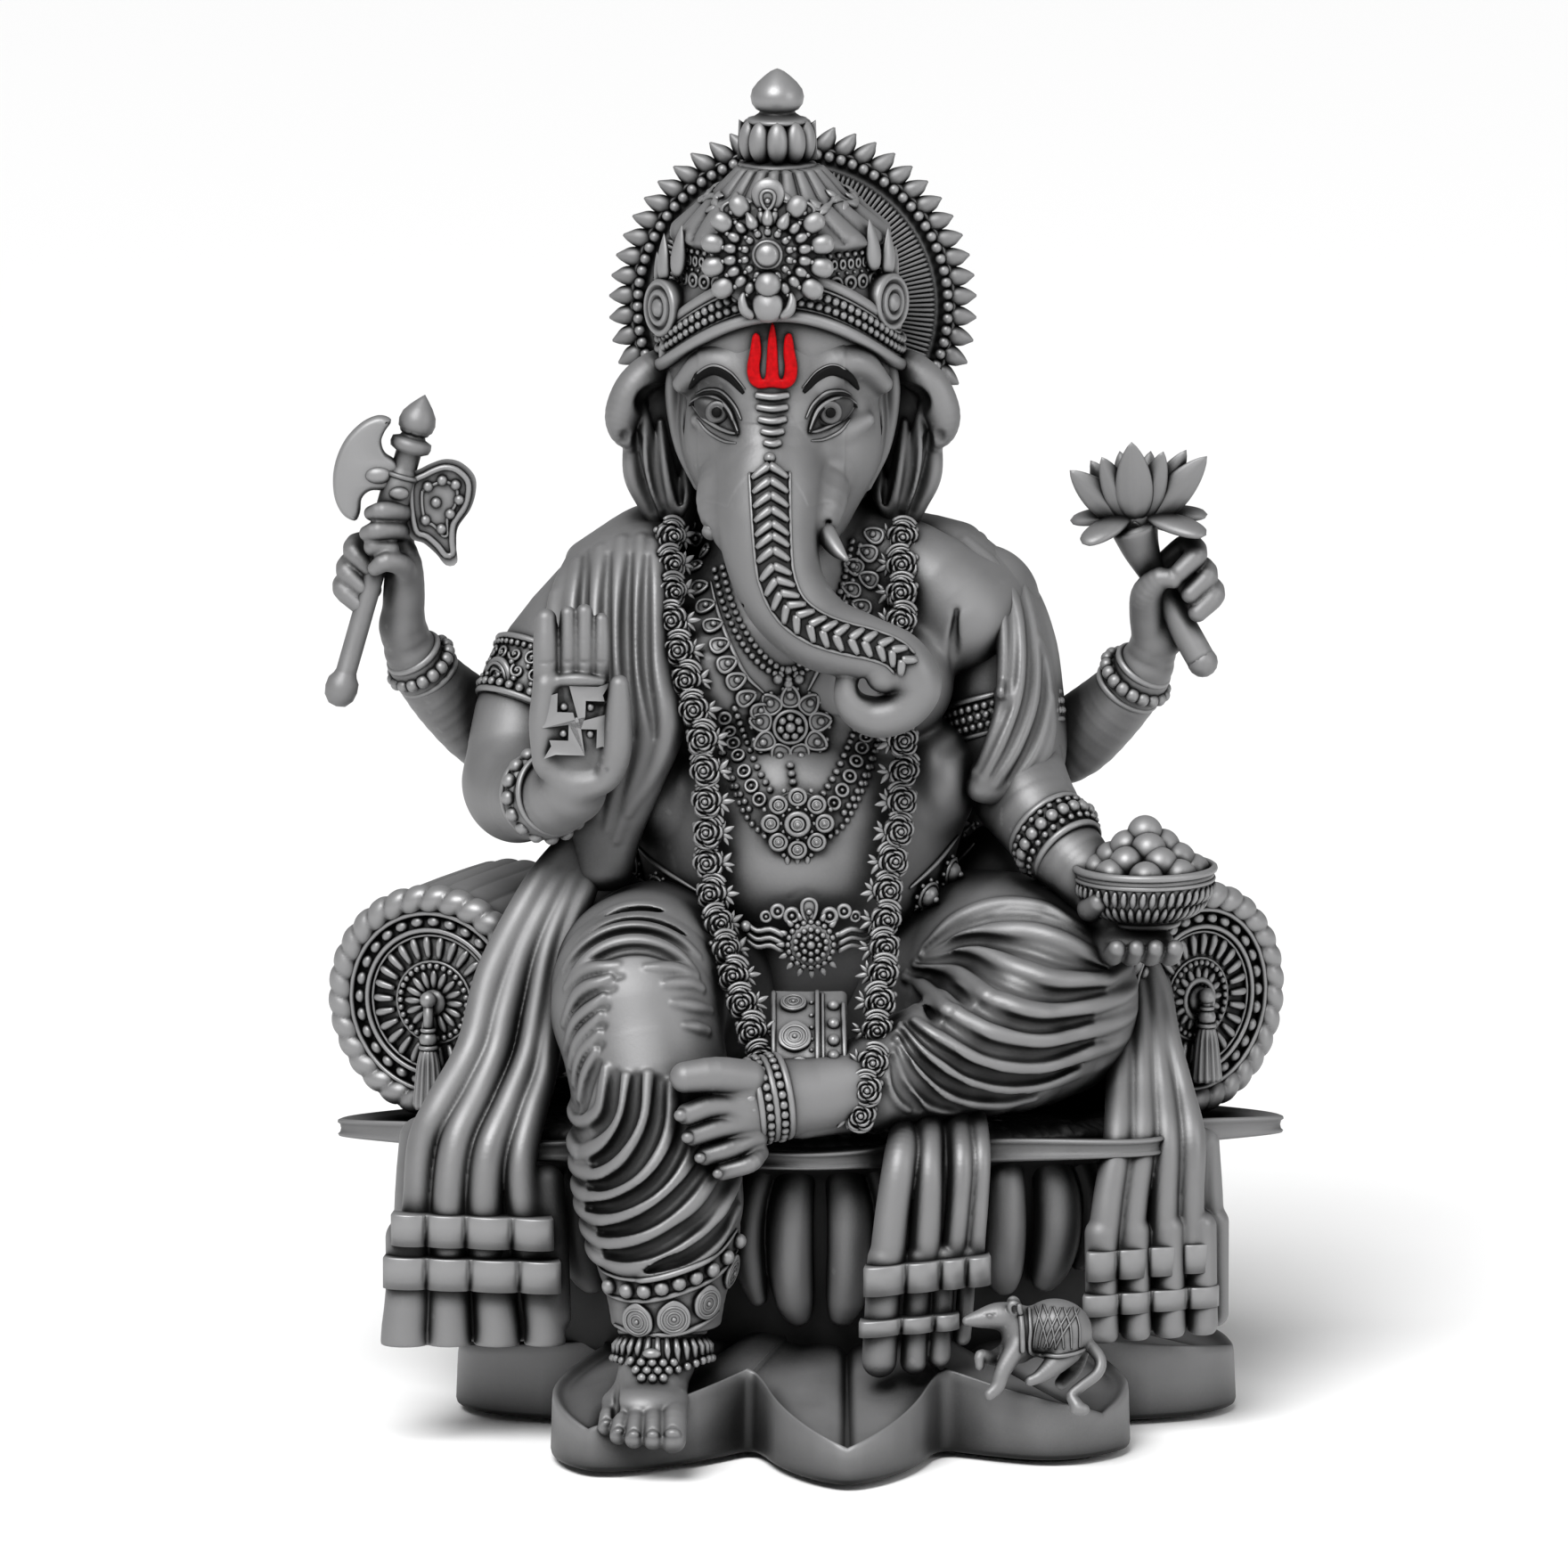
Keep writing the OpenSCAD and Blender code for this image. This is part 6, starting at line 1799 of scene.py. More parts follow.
def hem_band(heap, edges, front_y, low, high, bulge=1.9, depth=4.6, slope=0.0):
    """A flat band with one swell between each pair of edges, hugging the pleats below it."""
    front, inner = [], []
    for k in range(len(edges) - 1):
        for t in np.linspace(0, 1, 15)[:-1 if k < len(edges) - 2 else None]:
            x = edges[k] + (edges[k + 1] - edges[k]) * t
            swell = bulge * max(0.0, math.sin(math.pi * t)) ** 0.5
            front.append((x, np.interp(x, [edges[0], edges[-1]], front_y) - swell))
    inner = [(x * 0.97 + 0.03 * (edges[0] + edges[-1]) / 2, y + depth) for x, y in front[::-1]]
    band = plate(front + inner, high - low, 0.35)
    heap.put(band, (0, 0, low))
    points = heap.points[-1]
    points[:, 2] += (points[:, 0] - edges[0]) * slope


def drapes():
    right = Clay((-108, -58, 20), (-46, 16, 156), COARSE)
    depth = ([24, 45, 56, 62, 68, 77, 89, 105, 120, 135, 150],
             [-45, -45, -44.5, -44, -43, -38, -31, -24, -15, -9, -5])

    def at(z):
        return float(np.interp(z, *depth))

    lines = [[(-58.5, 138, 2.0), (-62.6, 131, 3.0), (-69.6, 122, 3.4), (-79.0, 105, 3.7), (-83.6, 89, 3.7),
              (-90.6, 77, 3.8), (-94.2, 69, 3.8), (-95.4, 56, 3.7), (-96.6, 46, 3.8)],
             [(-56.4, 138, 2.0), (-60.4, 131, 2.8), (-65.4, 122, 3.0), (-72.4, 109, 3.2), (-76.2, 97, 3.5),
              (-78.4, 88, 3.5), (-82.4, 79, 3.8), (-86.8, 70, 3.9), (-88.6, 58, 3.8), (-88.8, 46, 3.8)],
             [(-54.6, 138, 2.0), (-58.2, 131, 2.6), (-61.6, 122, 2.8), (-66.6, 110, 3.0), (-69.2, 97, 3.2),
              (-71.4, 87, 3.2), (-75.6, 77, 3.7), (-79.6, 68, 4.0), (-80.8, 58, 4.1), (-80.4, 46, 4.1)],
             [(-53.0, 136, 1.8), (-55.4, 130, 2.2), (-58.2, 122, 2.6), (-62.6, 110, 2.8), (-65.6, 97, 2.9),
              (-67.4, 84, 2.9), (-70.4, 75, 3.4), (-72.6, 66, 3.6), (-72.2, 56, 3.7), (-71.0, 46, 3.8)]]
    tubes = [[(x, at(z), z, r) for x, z, r in line] for line in lines]
    tubes[0] = [(x, y + (3.0 if z < 75 else 0.0), z, r) for x, y, z, r in tubes[0]]
    hanging(right, tubes, 3.0)
    right.stroke([(-95, -30, 68, 5), (-96, -32, 56, 5), (-97, -32, 30, 5)], soft=3)
    right.stroke([(-67.0, -40, 60, 4), (-66.5, -42, 46, 4.5), (-66, -42, 30, 4.5)], soft=3)
    for x0, x1, r in ((-97.9, -98.6, 5.0), (-88.8, -88.8, 4.7), (-78.6, -78.0, 4.8), (-68.2, -67.4, 4.3)):
        right.stroke([(x0, -43, 48, r), (x0, -43.6, 36, r), (x1, -44, 28, r * 1.04),
                      (x1, -44, 24.0, r * 1.1)], soft=0.5, flat=(FRONT, 0.8))
    for x in (-93.4, -83.6, -73.2):
        right.stroke([(x, -38, 48, 4.0), (x, -38, 26, 4.0)], soft=1.0)
    right.plane((0, 0, 24.0), (0, 0, -1), soft=0.6)
    make("drape_right", right.mesh(), "drape_right", PEWTER)
    left = Clay((48, -50, 20), (92, 8, 122), COARSE)
    depth_l = ([24, 45, 58, 66, 70, 76, 86, 98, 112], [-38, -38, -37.4, -36.5, -33, -27, -19, -11, -6])

    def at_left(x, z):
        lean = np.interp(x, [57, 84], [0.0, 10.5]) * np.interp(z, [62, 90], [1.0, 0.35])
        return float(np.interp(z, *depth_l)) + lean

    lines = [[(59.6, 108, 1.6), (61.0, 100, 2.4), (61.4, 88, 2.9), (61.0, 78, 3.1), (60.4, 68, 3.3),
              (58.4, 56, 3.4), (57.0, 44, 3.5)],
             [(62.6, 110, 1.6), (65.0, 100, 2.4), (65.8, 88, 2.9), (66.0, 78, 3.1), (65.8, 68, 3.3),
              (64.2, 56, 3.3), (63.0, 44, 3.4)],
             [(64.6, 110, 1.6), (68.2, 100, 2.2), (69.6, 88, 2.5), (70.6, 78, 3.0), (71.4, 68, 3.3),
              (71.0, 56, 3.3), (70.6, 44, 3.4)],
             [(66.0, 109, 1.5), (70.4, 99, 2.0), (72.6, 88, 2.3), (75.2, 78, 2.5), (77.0, 68, 3.3),
              (76.8, 56, 3.3), (76.6, 44, 3.4)]]
    hanging(left, [[(x, at_left(x, z), z, r) for x, z, r in line] for line in lines], 2.6)
    left.stroke([(80.5, -24, 66, 3), (81, -24, 50, 3.5), (81, -24, 30, 3.5)], soft=2.5)
    for x, r in ((56.8, 3.7), (64.2, 3.6), (71.8, 3.8), (79.2, 3.6)):
        y = at_left(x, 40)
        left.stroke([(x, y, 48, r), (x + 0.2, y - 0.4, 34, r), (x + 0.4, y - 0.6, 26.0, r)], soft=0.5)
        left.stroke([(x + 3.5, y + 5, 48, 3), (x + 3.5, y + 5, 27, 3)], soft=1.0)
    left.plane((0, 0, 23.4), (0, 0, -1), soft=0.6)
    make("drape_left", left.mesh(), "drape_left", PEWTER)
    front = Clay((0, -66, 18), (36, -28, 84), COARSE)
    depth_f = ([20, 45, 60, 66, 70, 73, 76, 79], [-57, -57, -56.6, -55.6, -53, -48, -42, -36])

    def at_front(x, z):
        return float(np.interp(z, *depth_f)) + float(np.interp(x, [8, 30], [0, 5]))

    lines = [[(12.4, 75, 1.8), (12.2, 71, 3.4), (11.4, 66, 3.7), (10.0, 56, 3.8), (8.8, 44, 4.0)],
             [(17.2, 76.6, 1.8), (18.2, 73, 3.0), (18.2, 66, 3.0), (17.8, 56, 3.4), (17.2, 44, 3.5)],
             [(21.4, 79, 1.8), (24.2, 75.4, 2.6), (25.4, 68, 2.7), (24.8, 57, 2.6), (23.6, 45, 2.6)],
             [(24.6, 80, 1.4), (28.2, 76.4, 2.0), (29.8, 69, 2.1), (29.4, 58, 2.0), (28.4, 46, 2.2)]]
    hanging(front, [[(x, at_front(x, z), z, r) for x, z, r in line] for line in lines], 2.4)
    for x, low, r in ((7.2, 20.0, 3.9), (14.8, 20.2, 3.0), (20.4, 21.6, 2.7), (25.6, 26.0, 2.0)):
        y = at_front(x, 30)
        front.stroke([(x + 1.2, y, 46, r), (x + 0.6, y, 34, r), (x, y - 0.2, low + r * 0.8, r)], soft=0.5)
    for x in (12.6, 19.8):
        front.stroke([(x, -60.6, 38, 0.6), (x - 0.6, -60.6, 24, 1.0)], soft=0.6, cut=True)
    make("drape_front", front.mesh(), "drape_front", PEWTER)
    hems = Heap()
    hem_band(hems, [-101.6, -93.8, -85.0, -74.6, -65.2], (-47.0, -49.6), 47.2, 54.4, slope=-0.02)
    hem_band(hems, [-103.4, -93.8, -84.0, -73.0, -63.6], (-46.8, -50.0), 37.4, 44.6, slope=-0.015)
    hem_band(hems, [53.4, 60.4, 67.4, 75.0, 82.4], (-42.6, -30.4), 38.0, 44.6, bulge=2.0)
    hem_band(hems, [52.6, 60.8, 68.0, 76.4, 83.4], (-42.8, -30.6), 30.0, 34.8, bulge=2.0)
    hem_band(hems, [3.6, 13.0, 20.8, 26.6, 32.0], (-61.4, -56.0), 38.4, 45.0, bulge=2.0, slope=0.06)
    hem_band(hems, [2.6, 12.0, 19.4, 25.0], (-61.6, -57.2), 29.2, 32.8, bulge=2.0, slope=0.05)
    trouser_hem(hems)
    make("drape_hems", hems.shape(), "drape_hems", RELIEF)


def hexagon_disc(size):
    """A pointed round plaque with two raised rings and a small boss."""
    a = [math.radians(90 + 60 * k) for k in range(6)]
    corner = [(size * math.cos(k), size * 0.96 * math.sin(k)) for k in a]
    corner[0] = (size * math.cos(a[0]), size * 1.12 * math.sin(a[0]))
    outline = round_outline(corner, 0.5)
    return together(plate(outline, 1.1, 0.3), (hoop(size * 0.72, 0.3, 30, 6), (0, 0, 1.05)),
                    (hoop(size * 0.40, 0.28, 24, 6), (0, 0, 1.05)),
                    (SMALL_BALL, (0, 0, 1.0), None, size * 0.17))


def trouser_hem(heap):
    """Two lines, a row of beads and a row of plaques round the end of the trouser leg."""
    clay = LEG_R

    def row(line, gap, shape, size, lift):
        points = spaced([(x, z, 0) for x, z in line], gap)
        p, n, met = clay.front(points[:, 0], points[:, 1])
        for k in range(len(p)):
            if met[k]:
                heap.put(shape, p[k] + n[k] * lift, facing(n[k]), size)

    beads = [(-55.6, 42.4), (-53, 40.9), (-45.4, 40.8), (-35.8, 43.3), (-28.8, 46), (-24.6, 50)]
    row(beads, 3.7, BALL, 1.8, 0.5)
    for low in (2.4, -2.7):
        heap.put(face_rope(clay, [(x, z - low) for x, z in beads], 0.75, 0.2))
    row([(-53.6, 36.0), (-49.4, 34.0), (-42.0, 33.8), (-34.2, 36.0), (-28.4, 39.4), (-26.0, 43)], 7.6,
        hexagon_disc(3.9), 1.0, -0.2)
    heap.put(face_rope(clay, [(-51.6, 31.6), (-46, 30.8), (-40, 30.9), (-34, 32.0), (-28.6, 34.6)], 0.8,
                       0.2))


drapes()


def sash_clay():
    clay = Clay((-22, -62, 70), (6, -24, 112), DETAIL)
    rows = [(-34, 101), (-38, 99.6), (-42, 97.4), (-46, 94.6), (-49, 91), (-50.8, 87), (-51.8, 82),
            (-52.4, 76)]
    for x in np.linspace(-15.6, -1.2, 9):
        clay.stroke([(x, y - 0.6 * math.cos((x + 8.4) / 5), z, 1.3) for y, z in rows], soft=1.2)
    return clay


SASH_CLAY = sash_clay()


# ---------------------------------------------------------------- garlands, necklaces and pendants

CHEST = [TORSO, SHAWL_R, LEG_R, LEG_L, SASH_CLAY]


def nearest_front(x, z, clays=CHEST):
    """The foremost point of several clays seen from the front at (x, z), and the way it faces."""
    best, way = None, None
    for clay in clays:
        low, high = clay.low, clay.low + np.array(clay.field.shape) * clay.step
        if not (low[0] + 2 < x < high[0] - 2 and low[2] + 2 < z < high[2] - 2):
            continue
        p, n, met = clay.front(x, z)
        if met[0] and (best is None or p[0][1] < best[1]):
            best, way = p[0], n[0]
    return best, way


def rose():
    """A small garland rose: three rings of curled petals inside a few loose ones."""
    heap = Heap()
    heap.put(BALL, (0, 0, -0.6), scaled(2.7, 2.9, 1.2))
    for up, r, thick in ((0.9, 2.5, 0.34), (1.4, 2.7, 0.34), (-0.7, 2.6, 0.3)):
        arc = np.radians(np.linspace(32, 148, 9)) * np.sign(up)
        heap.put(rope([(0.88 * r * math.cos(a), up + 0.8 * r * math.sin(a), 0.3, thick) for a in arc], 7))
    for count, r, high, first, thick in ((5, 2.5, 0.6, 18, 0.36), (4, 1.65, 1.2, 30, 0.34),
                                         (3, 0.85, 1.7, 10, 0.3)):
        for k in range(count):
            a0 = 360 / count * k + first
            span = 360 / count * 0.62
            line = []
            for t in np.linspace(-1, 1, 7):
                a = math.radians(a0 + span * t)
                rr = r * (1.0 - 0.2 * t * t + 0.1 * t)
                line.append((rr * math.cos(a), rr * math.sin(a), high - 0.5 * t * t,
                             thick * (1 - 0.45 * abs(t))))
            heap.put(rope(line, 7))
    heap.put(SMALL_BALL, (0, 0, 1.9), size=0.5)
    return heap.shape()


def bud():
    """Four narrow leaves that stand beside each rose."""
    return together((petal(3.6, 1.5, 1.2), (0, 0, 0), turned(0, 0, -62)),
                    (petal(3.2, 1.3, 1.1), (0, 0, 0), turned(0, 0, -112)),
                    (petal(3.0, 1.2, 1.0), (0, 0, 0), turned(0, 0, -22)),
                    (petal(2.4, 1.0, 0.9), (0.8, -0.6, 0), turned(0, 0, -150)))


def garlands():
    heap = Heap()
    flower, leaves = rose(), bud()
    strands = [[(-39.6, -4, 199.7), (-39.4, -10, 191), (-38.6, -16, 182), (-35.4, -21, 168),
                (-32, -25, 155.5), (-31, -27, 141), (-30.6, -28, 127.5), (-28.6, -33, 116),
                (-25, -42, 105.5), (-20, -49.5, 92), (-14, -57, 78)],
               [(12.4, -4, 199.7), (12.4, -10, 190), (12, -16, 178), (12.2, -21, 163), (12.6, -23, 149),
                (11.4, -26, 136), (9, -29, 123.4), (8.4, -34, 114), (8, -41, 105.5), (6, -49.5, 91),
                (3, -57, 78)]]
    for number, strand in enumerate(strands):
        line = spaced(strand, 6.8)
        for k, (x, y, z) in enumerate(line):
            p, n = nearest_front(x, z)
            if p is not None:
                y = min(y + 2.5, p[1] + 0.2)
            aside = 0.0 if n is None or z < 110 else 0.5 * n[0]
            out = unit(np.array([aside, -1.0, 0.15]))
            turn = facing(out)
            at = np.array([x, y, z])
            heap.put(flower, at + out * 0.3, turn @ spin(9 * ((k * 3 + number) % 5 - 2)), 1.28)
            side = turn[:, 0] if number == 0 else -turn[:, 0]
            lean = 20 * ((k % 3) - 1) + 180 * number
            heap.put(leaves, at + side * 2.8 + out * 0.3, turn @ spin(lean))
            heap.put(SMALL_BALL, at - side * 3.0 - out * 0.2 + turn[:, 1] * 1.6, size=0.8)
    make("garlands", heap.shape(), "garlands", RELIEF)


garlands()


def along_front(heap, line, gap, shape, size=1.0, lift=0.0, spin_by=0.0, clays=(TORSO,)):
    """Sets copies of a shape evenly along (x, z) points on the front of the body."""
    for x, z, _ in spaced([(x, z, 0) for x, z in line], gap):
        p, n = nearest_front(x, z, clays)
        if p is not None:
            heap.put(shape, p + n * lift, facing(n) @ spin(spin_by), size)


def necklaces():
    heap = Heap()
    leaf = eye_petal(4.3, 3.3)
    for x, z in ((-35.3, 200.6), (-33.6, 197.6), (-31.2, 194.8), (-33.8, 191.4), (-32.9, 187.9),
                 (-31.6, 184.4), (-30.1, 180.8), (-28.6, 177), (-27.0, 173.2), (-25.0, 169.6),
                 (-22.8, 165.8), (-19.8, 162.8)):
        p, n = nearest_front(x, z, (TORSO,))
        if p is not None:
            heap.put(leaf, p + n * 0.7, facing(n) @ spin(112))
    for x, z in ((6.2, 200), (5.0, 196.4), (1.8, 193.4), (5.2, 190.6), (1.0, 188.2), (3.4, 184.6),
                 (-1.4, 183)):
        p, n = nearest_front(x, z, (TORSO,))
        if p is not None:
            heap.put(leaf, p + n * 0.7, facing(n) @ spin(-115))
    left = [(-29.2, 192), (-27.9, 186.6), (-25.6, 181), (-22.0, 175.6), (-17.6, 171.6), (-13, 170)]
    right = [(3.0, 198), (1.2, 190), (-2.0, 182), (-6.2, 175), (-10, 171), (-13, 170)]
    for line in (left, right):
        for shift in (0.0, 1.75):
            moved = [(x + (shift if line is left else -shift), z + 0.5 * shift) for x, z in line]
            along_front(heap, moved, 1.6, SMALL_BALL, 0.8, 0.3)
    cord = [(-30.2, 189.6), (-28.6, 183.4), (-26.4, 177.8), (-22.8, 171), (-18.6, 166.6)]
    heap.put(face_rope(TORSO, cord, 0.55, 0.3))
    cord = [(0.2, 189.6), (-2.4, 181), (-5.4, 173.6), (-8.6, 167)]
    heap.put(face_rope(TORSO, cord, 0.55, 0.3))
    along_front(heap, [(-15.4, 169.6), (-13, 168.6), (-10.6, 169.6)], 2.3, BALL, 1.2, 0.5)
    along_front(heap, [(-13, 171.6), (-12.8, 165.4)], 2.0, BALL, 0.95, 0.5)
    ring = together(hoop(1.35, 0.42, 20, 7), (SMALL_BALL, (0, 0, 0), None, 0.5))
    chains = [[(-27.4, 161.4), (-25.4, 155.4), (-22.6, 148.6), (-19.4, 143.4)],
              [(5.4, 160), (3.2, 153.6), (0.2, 147.4), (-3.0, 142.6)]]
    for k, line in enumerate(chains):
        way = 1 if k == 0 else -1
        along_front(heap, line, 3.1, ring, 1.0, 0.6)
        for shift in (-2.3, 2.3):
            along_front(heap, [(x + way * shift, z + 0.9 * shift) for x, z in line], 1.75, SMALL_BALL,
                        0.82, 0.3)
        low = [(x - way * 1.6, z - 5.4) for x, z in line]
        along_front(heap, low + [(-15.4 if k == 0 else -6.8, 133.6)], 1.75, SMALL_BALL, 0.75, 0.2)
    along_front(heap, [(-12.6, 150.4), (-12, 147)], 1.7, SMALL_BALL, 0.9, 0.6)
    make("necklaces", heap.shape(), "necklaces", RELIEF)


necklaces()


def pendants():
    heap = Heap()
    p, _ = nearest_front(-12.6, 158.9, (TORSO,))
    turn = facing([0.02, -1, 0.06])
    at = np.array([-12.6, p[1] - 1.6, 158.9])
    heap.put(lathe([(0.05, -5), (7.4, -5), (7.6, 0.0), (7.2, 0.5), (0.05, 0.7)], 48), at, turn)
    leaf = eye_petal(4.8, 3.9)
    for k in range(9):
        heap.put(leaf, at + turn @ spin(40 * k) @ np.array([0, 6.5, 1.0]), turn @ spin(40 * k + 180))
    for k in range(18):
        heap.put(SMALL_BALL, at + turn @ spin(20 * k + 10) @ np.array([0, 8.6, 0.6]), size=0.6)
    heap.put(hoop(3.5, 0.6, 40, 8), at + turn @ np.array([0, 0, 1.3]), turn)
    for k in range(7):
        heap.put(BALL, at + turn @ spin(360 / 7 * k) @ np.array([0, 2.1, 2.0]), size=0.95)
    heap.put(BALL, at + turn @ np.array([0, 0, 2.5]), size=1.2)
    p, _ = nearest_front(-11, 138.8, (TORSO,))
    at = np.array([-11.0, p[1] - 1.4, 138.8])
    turn = facing([0.02, -1, -0.04])
    heap.put(lathe([(0.05, -5), (6.6, -5), (6.8, 0.0), (6.4, 0.5), (0.05, 0.7)], 48), at, turn)
    small = together((hoop(1.75, 0.5, 24, 8), (0, 0, 0.5)), (hoop(0.95, 0.3, 18, 6), (0, 0, 0.8)),
                     (BALL, (0, 0, -0.4), None, 1.6), (SMALL_BALL, (0, 0, 0.9), None, 0.55))
    for k in range(8):
        heap.put(small, at + turn @ spin(45 * k) @ np.array([0, 6.0, 0.5]), turn)
        heap.put(SMALL_BALL, at + turn @ spin(45 * k + 22.5) @ np.array([0, 7.9, 0.4]), size=0.6)
    heap.put(small, at + turn @ np.array([0, 0, 1.1]), turn, 1.35)
    for k in range(12):
        heap.put(SMALL_BALL, at + turn @ spin(30 * k) @ np.array([0, 3.6, 1.1]), size=0.5)
    for x in (-2.2, 0, 2.2):
        heap.put(petal(2.6, 1.3, 1.0), at + turn @ np.array([x, -7.4, 0.3]), turn @ spin(180))
    make("pendants", heap.shape(), "pendants", RELIEF)




pendants()


# ---------------------------------------------------------------- belt and sash

def belt():
    heap = Heap()
    boss = together((BALL, (0, 0, 0), None, 2.6), (hoop(2.9, 0.45, 30, 7), (0, 0, 0.3)),
                    (SMALL_BALL, (0, 0, 2.5), None, 0.8))
    skins = (TORSO,)
    for x, z in ((-51, 129.6), (-46.6, 125), (-41.2, 121.4), (-35.4, 118.8), (17.4, 120.4), (22.4, 124.2),
                 (26.8, 128.4)):
        p, n = nearest_front(x, z, skins)
        if p is not None:
            heap.put(boss, p + n * 0.9, facing(n))
            for k in range(8):
                heap.put(SMALL_BALL, p + n * 0.7 + facing(n) @ spin(45 * k) @ np.array([0, 3.6, 0]),
                         size=0.55)
    for line in ([(-52, 125.6), (-45, 120.4), (-38, 117), (-32, 115)],
                 [(15, 116.6), (21, 120), (26, 124.4), (29, 127.4)],
                 [(-51, 133), (-44, 127.4), (-36, 123.4), (-31, 121)], [(14, 122.4), (20, 127), (25, 132)]):
        heap.put(face_rope(TORSO, line, 0.6, 0.2))
    turn = facing([0.0, -1, 0.12])
    at = np.array([-8.0, -30.5, 112.2])
    heap.put(lathe([(0.05, -4), (5.0, -4), (5.2, 0.0), (4.6, 1.2), (0.05, 1.8)], 40), at, turn)
    for radius, count, high, size in ((5.0, 20, 0.8, 0.72), (3.4, 14, 1.7, 0.72), (1.9, 8, 2.2, 0.68)):
        for k in range(count):
            heap.put(SMALL_BALL, at + turn @ spin(360 / count * k) @ np.array([0, radius, high]), size=size)
    heap.put(BALL, at + turn @ np.array([0, 0, 2.3]), size=1.0)
    for k in range(14):
        a = -70 + 320 / 14 * k
        heap.put(petal(2.4, 1.4, 1.0), at + turn @ spin(a) @ np.array([0, 5.4, 0.2]), turn @ spin(a))
    top = at + turn @ np.array([-0.4, 7.8, 0.4])
    heap.put(eye_petal(5.4, 3.2), top, turn)
    for side in (-1, 1):
        for k, (x, y, size) in enumerate(((4.2, 6.4, 1.5), (7.4, 7.4, 1.3), (10.0, 6.2, 1.05))):
            heap.put(together(hoop(1.0, 0.4, 18, 7), (SMALL_BALL, (0, 0, 0), None, 0.45)),
                     at + turn @ np.array([side * x, y, -0.2 - 0.25 * k]), turn, size)
        line = [at + turn @ np.array([side * x, y, z]) for x, y, z in ((6, 2, 0), (9, 3.4, -0.4),
                                                                       (12, 3.0, -1.0), (14.4, 4.6, -1.6))]
        for drop in (0.0, 1.9, 3.6):
            path = [list(q - np.array([0, 0, drop])) + [0.75 - 0.08 * k] for k, q in enumerate(line)]
            heap.put(rope(smooth(path, 1.0), 8))
        heap.put(BALL, at + turn @ np.array([side * 14.6, 4.0, -1.4]), size=1.3)
    make("belt", heap.shape(), "belt", RELIEF)


belt()


def sash():
    """A stiff patterned strip that falls over the lap to the crossed foot."""
    heap = Heap()
    heap.put(SASH_CLAY.mesh())
    for x, z, size in ((-11.9, 100.4, 3.0), (-11.6, 94.4, 3.8), (-10.6, 86.6, 3.9), (-10.2, 79.2, 3.6)):
        lay(SASH_CLAY, heap, hexagon_disc(size), x, z, lift=-0.2)
    for line, r in (([(-6.6, 102.6), (-6.6, 95), (-6.6, 86), (-6.6, 77)], 0.6),
                    ([(-0.9, 100.4), (-0.7, 93), (-0.5, 85), (-0.5, 77)], 0.6),
                    ([(-16.2, 102), (-16.2, 94), (-16.2, 85), (-16.2, 77)], 0.6),
                    ([(-5.4, 102), (-5.3, 93), (-5.2, 85), (-5.2, 77)], 0.4)):
        heap.put(face_rope(SASH_CLAY, line, r, 0.2, ends=0.9))
    for z in np.linspace(100, 78.4, 8):
        lay(SASH_CLAY, heap, BALL, -3.0, float(z), size=1.45, lift=0.1)
    for z in np.linspace(100.6, 77, 12):
        lay(SASH_CLAY, heap, SMALL_BALL, -7.9, float(z), size=0.55, lift=0.1)
    make("sash_panel", heap.shape(), "sash_panel", RELIEF)


sash()


# ---------------------------------------------------------------- arm rings and anklets

def band(heap, a, b, radius, rims, rows, squash=1.0, tip=0.0):
    """Rims and rows of beads round the line from a to b; distances along it in mm."""
    a, b = np.array(a, dtype=float), np.array(b, dtype=float)
    axis = unit(b - a)
    turn = facing(axis) @ np.diag([1.0, squash, 1.0])
    for along, thick, grow in rims:
        heap.put(hoop(radius + grow, thick, 72, 10), a + axis * along, turn)
    for along, count, size, grow in rows:
        for k in range(count):
            t = 2 * math.pi * (k + tip) / count
            spot = turn @ np.array([(radius + grow) * math.cos(t), (radius + grow) * math.sin(t), 0])
            heap.put(BALL, a + axis * along + spot, size=size)


def bracelets():
    heap = Heap()
    band(heap, (-94.2, 10.2, 166.9), (-98.0, 7.0, 172.9), 6.6,
         ((-0.4, 0.95, 0), (6.2, 0.95, -0.7), (2.9, 1.3, -0.9)), ((2.9, 17, 1.55, 0.5),))
    band(heap, (63.6, 11.8, 163.6), (67.0, 9.0, 168.9), 7.0,
         ((-0.6, 0.95, 0), (6.4, 0.95, -0.9), (2.9, 1.3, -1.0)), ((2.9, 18, 1.6, 0.5),))
    band(heap, (-68.6, -20.4, 144.2), (-64.0, -29.0, 146.4), 9.2,
         ((0.0, 0.8, 0), (7.4, 0.8, -0.4), (3.7, 1.5, -0.9)), ((3.7, 16, 1.75, 0.4),))
    band(heap, (45.2, -9.2, 134.6), (50.0, -14.4, 130.0), 9.0,
         ((-0.6, 0.9, 0.2), (7.6, 0.9, -0.8), (3.4, 1.5, -0.9)),
         ((3.4, 20, 1.55, 0.5), (5.9, 24, 0.75, 0.3), (1.1, 24, 0.75, 0.7)))
    make("bracelets", heap.shape(), "bracelets", RELIEF)


bracelets()


